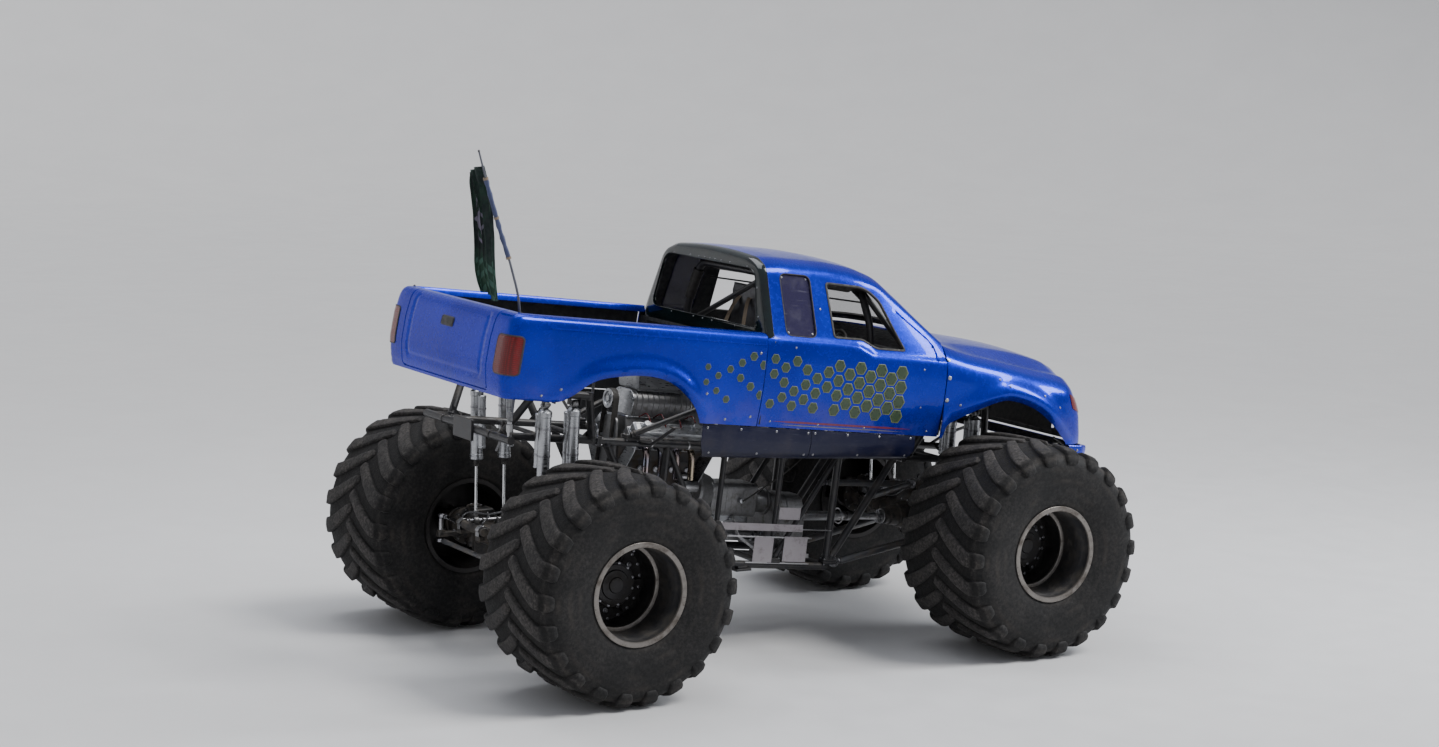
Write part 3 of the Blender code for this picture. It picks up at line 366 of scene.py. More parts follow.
    # Header tubes: steel gone straw and blue with heat
    a = Mat("heat_stained_steel", rough=0.28, metal=1.0)
    heat = a.noise(3.2, 3.0, 0.6, distort=0.6)
    ramp = a.new("ShaderNodeValToRGB")
    stops = [(0.30, (0.42, 0.40, 0.37)), (0.44, (0.42, 0.36, 0.26)), (0.54, (0.31, 0.25, 0.25)),
             (0.62, (0.24, 0.26, 0.33)), (0.74, (0.36, 0.36, 0.37))]
    while len(ramp.color_ramp.elements) < len(stops):
        ramp.color_ramp.elements.new(0.5)
    for e, (p, c) in zip(ramp.color_ramp.elements, stops):
        e.position, e.color = p, (*c, 1.0)
    a.set(ramp.inputs[0], heat)
    soot = a.band(a.noise(30.0, 6.0, 0.7), 0.55, 0.75)
    a.set("Base Color", a.mix(soot, ramp.outputs[0], (0.10, 0.085, 0.07)))
    a.set("Roughness", a.band(soot, 0, 1, 0.20, 0.6))
    a.bump(a.noise(90.0, 3.0), 0.1, 0.001)
    mats["header"] = a.m

    # Tyre rubber: dry, dusty, chewed where it meets the ground
    a = Mat("tyre_rubber", rough=0.85, Specular_IOR_Level=0.20, Sheen_Weight=0.02, Sheen_Roughness=0.6)
    sq = a.new("ShaderNodeVectorMath", operation="MULTIPLY")
    a.set(sq.inputs[0], a.co)
    sq.inputs[1].default_value = (1, 0, 1)
    ln = a.new("ShaderNodeVectorMath", operation="LENGTH")
    a.set(ln.inputs[0], sq.outputs[0])
    rad = ln.outputs["Value"]
    tread = a.band(rad, 0.745, 0.800)
    patch = a.band(a.noise(4.5, 8.0, 0.68), 0.36, 0.66)
    fine = a.band(a.noise(42.0, 9.0, 0.75), 0.40, 0.66)
    rubber = a.mix(fine, (0.0065, 0.0065, 0.0070), (0.0170, 0.0165, 0.0165))
    dusty = a.mix(fine, (0.030, 0.028, 0.0275), (0.085, 0.078, 0.073))
    amount = a.math("ADD", a.math("MULTIPLY", tread, a.band(patch, 0, 1, 0.42, 0.92)),
                    a.math("MULTIPLY", patch, 0.22), clamp=True)
    col = a.mix(amount, rubber, dusty)
    # a dry brown tide on the sidewall, thin rings left by mud
    ring = a.math("MULTIPLY", a.band(a.noise(5.0, 6.0, 0.6), 0.42, 0.68),
                  a.band(a.math("PINGPONG", rad, 0.045), 0.015, 0.04))
    col = a.mix(a.math("MULTIPLY", ring, 0.24), col, (0.060, 0.050, 0.042))
    # the voids between the lugs are darkened with painted shade; the lugs' convex edges are made pale, part wear and
    # part painted highlight
    void_shade = a.math("MULTIPLY", a.band(rad, 0.772, 0.792), a.band(rad, 0.806, 0.822, 1.0, 0.0))
    col = a.mix(a.math("MULTIPLY", void_shade, 0.72), col, (0.0050, 0.0050, 0.0054))
    # pale convex lug edges: part rubber wear, part painted highlight on the lug tops
    worn = a.math("MULTIPLY", a.band(a.edge(), 0.515, 0.575), a.band(rad, 0.74, 0.78))
    col = a.mix(a.math("MULTIPLY", worn, a.band(fine, 0, 1, 0.35, 0.70)), col, (0.105, 0.098, 0.094))
    a.set("Base Color", col)
    a.set("Roughness", a.blend(amount, a.band(a.noise(24.0, 3.0), 0.3, 0.7, 0.56, 0.70), 0.93))
    crack = a.band(a.voronoi(85.0, "DISTANCE_TO_EDGE"), 0.0, 0.09)
    h = a.math("ADD", a.math("MULTIPLY", a.noise(110.0, 8.0, 0.75), a.band(tread, 0, 1, 0.35, 1.3)),
               a.math("MULTIPLY", a.math("MULTIPLY", crack, tread), 0.5))
    a.bump(h, 0.55, 0.004)
    mats["tyre"] = a.m

    # Wheels: grey paint gone dull, and a pale worn lip
    a = Mat("rim_paint", rough=0.5, metal=0.45)
    grime = a.band(a.noise(8.0, 8.0, 0.7), 0.40, 0.70)
    # painted shade: the paint darkens towards the floor of the dish and the inboard side
    depth = a.band(a.axis(1), -0.10, 0.42)
    col = a.mix(grime, (0.050, 0.050, 0.054), (0.085, 0.076, 0.066))
    a.set("Base Color", a.mix(depth, (0.022, 0.020, 0.020), col))
    a.set("Roughness", a.band(grime, 0, 1, 0.42, 0.82))
    a.bump(a.math("ADD", a.noise(190.0, 4.0), a.math("MULTIPLY", grime, 0.4)), 0.22, 0.002)
    mats["rim"] = a.m

    a = Mat("rim_lip", rough=0.42, metal=0.75)
    nick = a.band(a.noise(34.0, 6.0, 0.7), 0.56, 0.66)
    grime = a.band(a.noise(7.0, 8.0, 0.7), 0.42, 0.72)
    col = a.mix(grime, (0.205, 0.190, 0.175), (0.105, 0.090, 0.078))
    a.set("Base Color", a.mix(a.math("MULTIPLY", nick, 0.6), col, (0.08, 0.065, 0.055)))
    a.set("Roughness", a.band(grime, 0, 1, 0.34, 0.72))
    a.bump(a.math("ADD", a.noise(120.0, 4.0), nick), 0.25, 0.0015)
    mats["lip"] = a.m

    # Clear and smoked polycarbonate, scratched
    def sheet_glass(name, tint, alpha, rough, film):
        g = Mat(name, base=tint, rough=rough, Specular_IOR_Level=0.5, IOR=1.58)
        sc = g.band(g.noise(14.0, 2.0, 0.5, g.scaled(0.4, 1.0, 5.0, (0.2, 0.5, 0.1))), 0.64, 0.70)
        dust = g.band(g.noise(9.0, 8.0, 0.72), 0.45, 0.80)
        haze = g.math("MAXIMUM", g.math("MULTIPLY", dust, film), g.math("MULTIPLY", sc, film))
        g.set("Base Color", g.mix(haze, tint, (0.42, 0.41, 0.42)))
        g.set("Alpha", g.band(haze, 0, 1, alpha, min(1.0, alpha + 0.45)))
        g.set("Roughness", g.band(haze, 0, 1, rough, 0.5))
        g.bump(g.noise(2.5, 2.0), 0.08, 0.01)
        return g.m

    mats["clear"] = sheet_glass("clear_panel", (0.045, 0.050, 0.056), 0.26, 0.06, 0.14)
    mats["smoked"] = sheet_glass("smoked_panel", (0.020, 0.015, 0.058), 0.84, 0.10, 0.13)

    # Cabin
    a = Mat("seat_cover", rough=0.85, Sheen_Weight=0.35, Sheen_Roughness=0.5)
    u = a.scaled(1.0, 1.0, 1.0)
    weave = a.math("MULTIPLY", a.wave(190.0, u, "X"), a.wave(190.0, u, "Z"))
    col = a.mix(a.band(weave, 0.2, 0.8), (0.014, 0.014, 0.016), (0.050, 0.050, 0.054))
    a.set("Base Color", a.mix(a.band(a.noise(8.0, 7.0, 0.7), 0.5, 0.75, 0, 0.4), col, (0.12, 0.11, 0.10)))
    a.bump(a.math("ADD", weave, a.noise(300.0, 3.0)), 0.4, 0.0015)
    mats["fabric"] = a.m

    a = Mat("seat_shell", rough=0.35, metal=0.6)
    a.set("Base Color", a.mix(a.noise(30.0, 4.0), (0.08, 0.08, 0.085), (0.15, 0.15, 0.155)))
    a.set("Roughness", a.band(a.noise(55.0, 5.0), 0.3, 0.7, 0.28, 0.48))
    a.bump(a.noise(130.0, 3.0), 0.1, 0.001)
    mats["shell"] = a.m

    a = Mat("webbing_tan", rough=0.8, Sheen_Weight=0.2)
    rib = a.wave(260.0, a.scaled(1, 1, 1), "Y")
    col = a.mix(a.noise(12.0, 5.0), (0.21, 0.155, 0.105), (0.34, 0.26, 0.18))
    a.set("Base Color", a.mix(a.band(rib, 0, 1, 0, 0.35), col, (0.12, 0.09, 0.06)))
    a.bump(rib, 0.4, 0.001)
    mats["webbing"] = a.m

    a = Mat("black_plastic", rough=0.5)
    a.set("Base Color", a.mix(a.noise(40.0, 6.0, 0.7), (0.010, 0.010, 0.011), (0.045, 0.043, 0.042)))
    a.set("Roughness", a.band(a.noise(28.0, 4.0), 0.3, 0.7, 0.38, 0.66))
    a.bump(a.noise(380.0, 3.0, 0.6), 0.3, 0.0008)
    mats["plastic"] = a.m

    a = Mat("black_rubber", rough=0.7)
    a.set("Base Color", a.mix(a.noise(22.0, 7.0, 0.7), (0.010, 0.010, 0.010), (0.060, 0.055, 0.050)))
    a.set("Roughness", a.band(a.noise(40.0, 4.0), 0.3, 0.7, 0.5, 0.85))
    a.bump(a.noise(160.0, 5.0), 0.3, 0.0015)
    mats["rubber"] = a.m

    a = Mat("braided_hose", rough=0.45, metal=0.80)
    braid = a.math("MULTIPLY", a.wave(140.0, a.scaled(rot=(0.6, 0.6, 0.6))), a.wave(140.0, a.scaled(rot=(-0.6, 0.5, -0.7))))
    a.set("Base Color", a.mix(braid, (0.045, 0.045, 0.048), (0.24, 0.24, 0.25)))
    a.bump(braid, 0.5, 0.001)
    mats["braid"] = a.m

    # Lights
    a = Mat("red_lens", rough=0.12, Coat_Weight=0.45, Coat_Roughness=0.03, Specular_IOR_Level=0.3)
    rib = a.math("MULTIPLY", a.wave(22.0, None, "Z"), a.wave(22.0, None, "Y"))
    a.set("Base Color", a.mix(rib, (0.085, 0.002, 0.003), (0.230, 0.006, 0.008)))
    a.set("Roughness", a.band(a.noise(30.0, 4.0), 0.3, 0.7, 0.08, 0.2))
    a.bump(rib, 0.35, 0.003)
    mats["red"] = a.m

    a = Mat("clear_lens", rough=0.07, metal=0.6, Coat_Weight=1.0, Coat_Roughness=0.02)
    flute = a.wave(16.0, None, "Y")
    a.set("Base Color", a.mix(flute, (0.17, 0.18, 0.20), (0.44, 0.45, 0.49)))
    a.set("Roughness", a.band(a.noise(20.0, 5.0), 0.3, 0.7, 0.05, 0.16))
    a.bump(flute, 0.35, 0.004)
    mats["lens"] = a.m

    # Generic graphic: green-black plates with pale edges, red and grey streaks
    a = Mat("graphic_green", rough=0.45, Coat_Weight=0.3, Coat_Roughness=0.2)
    cell = a.voronoi(38.0, "DISTANCE_TO_EDGE")
    col = a.mix(a.band(cell, 0.0, 0.16), (0.050, 0.085, 0.024), (0.006, 0.020, 0.008))
    a.set("Base Color", a.mix(a.band(a.noise(9.0, 5.0), 0.4, 0.7, 0, 0.5), col, (0.018, 0.042, 0.014)))
    a.set("Roughness", a.band(a.noise(40.0, 4.0), 0.3, 0.7, 0.36, 0.55))
    a.bump(cell, 0.12, 0.001)
    mats["g_green"] = a.m
    for key, name, c0, c1 in (("g_pale", "graphic_pale", (0.085, 0.115, 0.035), (0.170, 0.200, 0.070)),
                              ("g_mid", "graphic_mid", (0.012, 0.034, 0.012), (0.030, 0.060, 0.024)),
                              ("g_red", "graphic_red", (0.10, 0.004, 0.022), (0.20, 0.012, 0.040)),
                              ("g_grey", "graphic_grey", (0.085, 0.075, 0.105), (0.170, 0.150, 0.190))):
        a = Mat(name, rough=0.42, Coat_Weight=0.3, Coat_Roughness=0.2)
        a.set("Base Color", a.mix(a.noise(18.0, 6.0, 0.65), c0, c1))
        a.set("Roughness", a.band(a.noise(40.0, 4.0), 0.3, 0.7, 0.34, 0.52))
        a.bump(a.noise(90.0, 3.0), 0.05, 0.001)
        mats[key] = a.m

    # Flag: thin woven cloth, dark green and black, with a plain geometric field
    a = Mat("flag_cloth", rough=0.75, Sheen_Weight=0.25, Sheen_Roughness=0.4)
    uv = a.new("ShaderNodeUVMap", uv_map="cut").outputs[0]
    u, v = a.axis(0, uv), a.axis(1, uv)
    du, dv = a.math("ABSOLUTE", a.math("SUBTRACT", u, 0.5)), a.math("ABSOLUTE", a.math("SUBTRACT", v, 0.60))
    lozenge = a.math("ADD", a.math("MULTIPLY", du, 2.6), a.math("MULTIPLY", dv, 3.6))
    ring = a.math("MULTIPLY", a.band(lozenge, 0.60, 0.63), a.band(lozenge, 0.74, 0.71))
    dot = a.band(lozenge, 0.34, 0.31)
    chev = a.math("PINGPONG", a.math("ADD", a.math("MULTIPLY", du, 0.9), v), 0.055)
    low = a.math("MULTIPLY", a.band(v, 0.30, 0.27), a.band(chev, 0.030, 0.034))
    field = a.mix(a.band(a.noise(7.0, 4.0, 0.6, uv), 0.45, 0.6), (0.004, 0.012, 0.012), (0.006, 0.032, 0.020))
    col = a.mix(a.math("MULTIPLY", a.band(v, 0.42, 0.12), 0.8), field, (0.012, 0.055, 0.030))
    col = a.mix(low, col, (0.045, 0.115, 0.085))
    col = a.mix(a.math("MAXIMUM", ring, dot), col, (0.190, 0.165, 0.235))
    col = a.mix(a.band(a.noise(15.0, 7.0, 0.7), 0.52, 0.8, 0, 0.4), col, (0.05, 0.05, 0.05))
    a.set("Base Color", col)
    a.set("Roughness", a.band(a.noise(30.0, 4.0), 0.3, 0.7, 0.62, 0.86))
    weave = a.math("MULTIPLY", a.wave(150.0, uv, "X"), a.wave(220.0, uv, "Y"))
    a.bump(a.math("ADD", weave, a.math("MULTIPLY", a.noise(14.0, 5.0, 0.6, uv), 3.0)), 0.22, 0.0012)
    mats["flag"] = a.m

    a = Mat("flag_sleeve", rough=0.55, Sheen_Weight=0.2, Sheen_Roughness=0.4)
    a.set("Base Color", a.mix(a.noise(12.0, 5.0, 0.6), (0.020, 0.030, 0.085), (0.070, 0.085, 0.190)))
    a.set("Roughness", a.band(a.noise(40.0, 4.0), 0.3, 0.7, 0.42, 0.66))
    a.bump(a.math("ADD", a.wave(70.0, None, "Z"), a.noise(60.0, 4.0)), 0.3, 0.001)
    mats["sleeve"] = a.m

    a = Mat("pole_grey", rough=0.35)
    col = a.mix(a.noise(9.0, 5.0), (0.060, 0.064, 0.085), (0.13, 0.135, 0.165))
    a.set("Base Color", a.mix(a.band(a.noise(70.0, 5.0, 0.7), 0.6, 0.7, 0, 0.5), col, (0.25, 0.24, 0.23)))
    a.set("Roughness", a.band(a.noise(50.0, 4.0), 0.3, 0.7, 0.28, 0.5))
    a.bump(a.noise(80.0, 3.0, 0.5, a.scaled(1, 1, 0.1)), 0.1, 0.001)
    mats["pole"] = a.m

    a = Mat("blank_plate", rough=0.5)
    col = a.mix(a.noise(6.0, 6.0, 0.6), (0.30, 0.27, 0.29), (0.42, 0.39, 0.41))
    a.set("Base Color", a.mix(a.band(a.noise(12.0, 8.0, 0.7), 0.5, 0.72, 0, 0.6), col, (0.12, 0.10, 0.09)))
    a.set("Roughness", a.band(a.noise(30.0, 4.0), 0.3, 0.7, 0.4, 0.65))
    a.bump(a.noise(60.0, 3.0), 0.08, 0.001)
    mats["plate"] = a.m

    # Floor
    a = Mat("floor_pale", rough=0.6)
    a.set("Base Color", a.mix(a.noise(0.8, 6.0, 0.6), (0.64, 0.64, 0.65), (0.71, 0.71, 0.715)))
    a.set("Roughness", a.band(a.noise(3.0, 5.0), 0.3, 0.7, 0.52, 0.68))
    a.bump(a.noise(60.0, 4.0), 0.05, 0.002)
    mats["floor"] = a.m
    return mats


M = build_materials()


# ============================================================== mesh building
def link(ob):
    scene.collection.objects.link(ob)
    return ob


class Build:
    """Gathers many small shapes into one mesh. Faces carry a material number."""

    def __init__(self):
        self.v, self.f, self.mi = [], [], []

    def add(self, verts, faces, mat=0, flat=False, place=None):
        base = len(self.v)
        if place is not None:
            verts = [place @ Vector(v) for v in verts]
        self.v.extend(tuple(v) for v in verts)
        self.f.extend(tuple(i + base for i in f) for f in faces)
        self.mi.extend([mat] * len(faces))

    def grid(self, rows, mat=0, wrap_u=False, wrap_v=False, flip=False):
        """Quads between rows of points. wrap_u closes each row, wrap_v joins the last row to the first."""
        n, m = len(rows[0]), len(rows)
        verts = [p for row in rows for p in row]
        faces = []
        for r in range(m if wrap_v else m - 1):
            for c in range(n if wrap_u else n - 1):
                a, b = r * n + c, r * n + (c + 1) % n
                d, e = ((r + 1) % m) * n + (c + 1) % n, ((r + 1) % m) * n + c
                faces.append((a, e, d, b) if flip else (a, b, d, e))
        self.add(verts, faces, mat)

    def lathe(self, p, axis, profile, segs=24, mat=0, turn=0.0, flat=False):
        """profile rows of (along, radius) turned round the axis from p. Radius 0 closes the end."""
        p, axis = Vector(p), Vector(axis).normalized()
        q = axis.to_track_quat("Z", "Y").to_matrix()
        ex, ey = q @ Vector((1, 0, 0)), q @ Vector((0, 1, 0))
        verts, faces, rings = [], [], []
        for along, r in profile:
            c = p + axis * along
            if r < 1e-7:
                rings.append([len(verts)])
                verts.append(c)
            else:
                rings.append(list(range(len(verts), len(verts) + segs)))
                for k in range(segs):
                    t = turn + 2 * pi * k / segs
                    verts.append(c + ex * (r * cos(t)) + ey * (r * sin(t)))
        for a, b in zip(rings, rings[1:]):
            for k in range(segs):
                j = (k + 1) % segs
                if len(a) == 1 and len(b) == 1:
                    continue
                if len(a) == 1:
                    faces.append((a[0], b[k], b[j])[::-1])
                elif len(b) == 1:
                    faces.append((a[k], b[0], a[j])[::-1])
                else:
                    faces.append((a[k], a[j], b[j], b[k]))
        self.add(verts, faces, mat, flat)

    def pin(self, p, q, r, segs=20, mat=0, bev=0.003, r2=None):
        """A round bar with eased ends."""
        p, q = Vector(p), Vector(q)
        length = (q - p).length
        r2 = r if r2 is None else r2
        b = min(bev, length * 0.3, r * 0.5, r2 * 0.5)
        self.lathe(p, q - p, [(0, 0), (0, r - b), (b * 0.3, r - b * 0.3), (b, r), (length - b, r2),
                              (length - b * 0.3, r2 - b * 0.3), (length, r2 - b), (length, 0)], segs, mat)

    def bolt(self, p, n, r=0.010, h=None, mat=0, washer=True):
        """A hex head on its washer, standing on p along n."""
        p, n = Vector(p), Vector(n).normalized()
        h = r * 0.75 if h is None else h
        if washer:
            self.lathe(p, n, [(-0.001, r * 1.55), (r * 0.16, r * 1.55), (r * 0.24, r * 1.42), (r * 0.24, 0)], 14, mat)
        self.lathe(p + n * (r * 0.2), n, [(0, r * 1.1), (h * 0.8, r * 1.1), (h, r * 0.9), (h, 0)], 6, mat,
                   turn=(p.x * 37 + p.z * 53) % 1.0, flat=True)

    def rivet(self, p, n, r=0.006, mat=0):
        self.lathe(p, n, [(-0.001, r), (r * 0.25, r), (r * 0.55, r * 0.72), (r * 0.7, r * 0.3), (r * 0.72, 0)], 10, mat)

    def path(self, points, r, sides=12, mat=0, caps=True, closed=False):
        """A round bar swept along points. r is a number or one for each point."""
        pts = [Vector(p) for p in points]
        n = len(pts)
        radii = r if isinstance(r, (list, tuple)) else [r] * n
        rows, ref = [], None
        for i, p in enumerate(pts):
            if closed:
                d = (pts[(i + 1) % n] - pts[i - 1]).normalized()
            else:
                d = (pts[min(i + 1, n - 1)] - pts[max(i - 1, 0)]).normalized()
            if ref is None:
                ref = Vector((0, 0, 1)) if abs(d.z) < 0.9 else Vector((1, 0, 0))
                ref = (ref - d * ref.dot(d)).normalized()
            else:
                ref = (ref - d * ref.dot(d)).normalized()
            side = d.cross(ref)
            rows.append([p + (ref * cos(2 * pi * k / sides) + side * sin(2 * pi * k / sides)) * radii[i]
                         for k in range(sides)])
        self.grid(rows, mat, wrap_u=True, wrap_v=closed)
        if caps and not closed:
            self.add([*rows[0]], [tuple(range(sides))[::-1]], mat)
            self.add([*rows[-1]], [tuple(range(sides))], mat)

    def weld(self, p, d, r, mat=0, bead=0.005, sides=30):
        """A rippled bead round a bar of radius r, at p across d."""
        p, d = Vector(p), Vector(d).normalized()
        q = d.to_track_quat("Z", "Y").to_matrix()
        ex, ey = q @ Vector((1, 0, 0)), q @ Vector((0, 1, 0))
        rows = []
        for k in range(sides):
            t = 2 * pi * k / sides
            out = ex * cos(t) + ey * sin(t)
            w = bead * (1.0 + 0.22 * (k % 2))
            c = p + out * (r + 0.0005)
            rows.append([c + out * (w * cos(s)) + d * (w * 1.25 * sin(s)) for s in (-1.9, -1.0, 0.0, 1.0, 1.9)])
        self.grid(rows, mat, wrap_v=True)

    def block(self, lo, hi, mat=0, bev=0.004, place=None):
        """A box with chamfered edges."""
        lo, hi = Vector(lo), Vector(hi)
        b = min(bev, *(abs(h - l) * 0.3 for l, h in zip(lo, hi)))
        verts, index = [], {}
        for sx in (0, 1):
            for sy in (0, 1):
                for sz in (0, 1):
                    s = (sx, sy, sz)
                    for k in range(3):
                        c = [(hi[i] - b if s[i] else lo[i] + b) for i in range(3)]
                        c[k] = hi[k] if s[k] else lo[k]
                        index[(s, k)] = len(verts)
                        verts.append(c)
        faces = []
        for k in range(3):
            i, j = (k + 1) % 3, (k + 2) % 3
            for side in (0, 1):
                ring = []
                for a, c in ((0, 0), (1, 0), (1, 1), (0, 1)):
                    s = [0, 0, 0]
                    s[k], s[i], s[j] = side, a, c
                    ring.append(index[(tuple(s), k)])
                faces.append(tuple(ring) if side else tuple(reversed(ring)))
            for a in (0, 1):
                for c in (0, 1):
                    s0, s1 = [0, 0, 0], [0, 0, 0]
                    s0[i] = s1[i] = a
                    s0[j] = s1[j] = c
                    s0[k], s1[k] = 0, 1
                    s0, s1 = tuple(s0), tuple(s1)
                    quad = (index[(s0, i)], index[(s1, i)], index[(s1, j)], index[(s0, j)])
                    faces.append(quad if (a == c) == bool(1) else tuple(reversed(quad)))
        for s in ((x, y, z) for x in (0, 1) for y in (0, 1) for z in (0, 1)):
            tri = (index[(s, 0)], index[(s, 1)], index[(s, 2)])
            faces.append(tri if sum(s) % 2 else tuple(reversed(tri)))
        self.add(verts, faces, mat, place=place)

    def slab(self, outline, lo, hi, along="Y", mat=0, bev=0.003, place=None):
        """An outline with thickness and eased rims. For Y it is (x, z), X (y, z), Z (x, y)."""
        def point(a, b, t):
            return {"Y": (a, t, b), "X": (t, a, b), "Z": (a, b, t)}[along]
        area = sum(p[0] * q[1] - q[0] * p[1] for p, q in zip(outline, outline[1:] + outline[:1]))
        pts = [Vector(p) for p in (outline if area > 0 else outline[::-1])]
        n = len(pts)
        b = min(bev, (hi - lo) * 0.3)
        inner = []
        for i in range(n):
            e0, e1 = (pts[i] - pts[i - 1]).normalized(), (pts[(i + 1) % n] - pts[i]).normalized()
            n0, n1 = Vector((-e0.y, e0.x)), Vector((-e1.y, e1.x))
            m = n0 + n1
            m = m / max(0.3, m.length_squared / 2) if m.length > 1e-6 else n0
            inner.append(pts[i] + m * b)
        rows = [[point(*p, lo) for p in inner], [point(*p, lo + b) for p in pts],
                [point(*p, hi - b) for p in pts], [point(*p, hi) for p in inner]]
        if place is not None:
            rows = [[place @ Vector(p) for p in row] for row in rows]
        flip = along == "Y"
        self.grid(rows, mat, wrap_u=True, flip=flip)
        base = list(range(n))
        self.add(rows[0], [tuple(base) if flip else tuple(base[::-1])], mat)
        self.add(rows[3], [tuple(base[::-1]) if flip else tuple(base)], mat)

    def object(self, name, mats, body, place=None, sharp=38, flip_check=False):
        me = bpy.data.meshes.new(name)
        me.from_pydata(self.v, [], self.f)
        me.polygons.foreach_set("material_index", self.mi)
        me.polygons.foreach_set("use_smooth", [True] * len(self.f))
        for m in mats:
            me.materials.append(M[m])
        me.update()
        me.set_sharp_from_angle(angle=radians(sharp))
        ob = link(bpy.data.objects.new(name, me))
        if place is not None:
            ob.matrix_world = place
        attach(ob, body)
        return ob


def outward(ob):
    """Make each closed body of the mesh face outwards."""
    bm = bmesh.new()
    bm.from_mesh(ob.data)
    bmesh.ops.recalc_face_normals(bm, faces=bm.faces)
    bm.to_mesh(ob.data)
    bm.free()
    return ob


def curve_through(points, per=8, closed=False):
    """Catmull-Rom through the points."""
    pts = [Vector(p) for p in points]
    n = len(pts)
    out = []
    for i in range(n if closed else n - 1):
        p0 = pts[i - 1] if closed or i > 0 else pts[0] * 2 - pts[1]
        p1, p2 = pts[i], pts[(i + 1) % n]
        p3 = pts[(i + 2) % n] if closed or i + 2 < n else pts[-1] * 2 - pts[-2]
        for k in range(per):
            t = k / per
            out.append(0.5 * ((2 * p1) + (p2 - p0) * t + (2 * p0 - 5 * p1 + 4 * p2 - p3) * t * t
                              + (3 * p1 - p0 - 3 * p2 + p3) * t ** 3))
    if not closed:
        out.append(pts[-1])
    return out


def rounded(outline, radius, steps=5):
    """Outline with its corners cut to arcs. radius is a number or one a corner."""
    n = len(outline)
    radii = radius if isinstance(radius, (list, tuple)) else [radius] * n
    points = []
    for i in range(n):
        a, b, c = Vector(outline[i - 1]), Vector(outline[i]), Vector(outline[(i + 1) % n])
        r = min(radii[i], (a - b).length * 0.48, (c - b).length * 0.48)
        if r < 1e-5:
            points.append(tuple(b))
            continue
        s, e = b + (a - b).normalized() * r, b + (c - b).normalized() * r
        for k in range(steps + 1):
            t = k / steps
            points.append(tuple(s * (1 - t) ** 2 + b * 2 * t * (1 - t) + e * t ** 2))
    return points


def resample(line, step, closed=False):
    """The polyline with points no further apart than step, its own points kept."""
    pts = [np.array(p, float) for p in line]
    if closed:
        pts.append(pts[0])
    out = []
    for a, b in zip(pts, pts[1:]):
        k = max(1, int(np.ceil(np.linalg.norm(b - a) / step)))
        out.extend(a + (b - a) * i / k for i in range(k))
    if not closed:
        out.append(pts[-1])
    return np.array(out)


def inside(points, loop):
    """Which points lie in the closed loop."""
    x, y = points[:, 0], points[:, 1]
    result = np.zeros(len(points), bool)
    a = np.array(loop)
    b = np.roll(a, -1, axis=0)
    for (x0, y0), (x1, y1) in zip(a, b):
        cross = (y0 > y) != (y1 > y)
        with np.errstate(divide="ignore", invalid="ignore"):
            xs = (x1 - x0) * (y - y0) / (y1 - y0) + x0
        result ^= cross & (x < xs)
    return result


def distance(points, line, closed=False):
    """Distance of each point from the polyline."""
    a = np.array(line, float)
    b = np.roll(a, -1, axis=0) if closed else a[1:]
    a = a if closed else a[:-1]
    best = np.full(len(points), 1e9)
    for p, q in zip(a, b):
        d = q - p
        t = np.clip(((points - p) @ d) / max(d @ d, 1e-12), 0, 1)
        best = np.minimum(best, np.hypot(*(points - p - t[:, None] * d).T))
    return best


class Skin:
    """A surface over (u, v), with raised or sunk features along its normal."""

    def __init__(self, base, facing=1.0):
        self.base, self.facing, self.features = base, facing, []

    def normal(self, uv):
        e = 0.002
        du = self.base(uv + [e, 0]) - self.base(uv - [e, 0])
        dv = self.base(uv + [0, e]) - self.base(uv - [0, e])
        n = np.cross(du, dv) * self.facing
        return n / np.maximum(np.linalg.norm(n, axis=1)[:, None], 1e-12)

    def at(self, uv, off=0.0):
        uv = np.asarray(uv, float).reshape(-1, 2)
        p, n = self.base(uv), self.normal(uv)
        h = np.full(len(uv), float(off))
        for feature in self.features:
            h += feature(uv)
        return p + n * h[:, None]


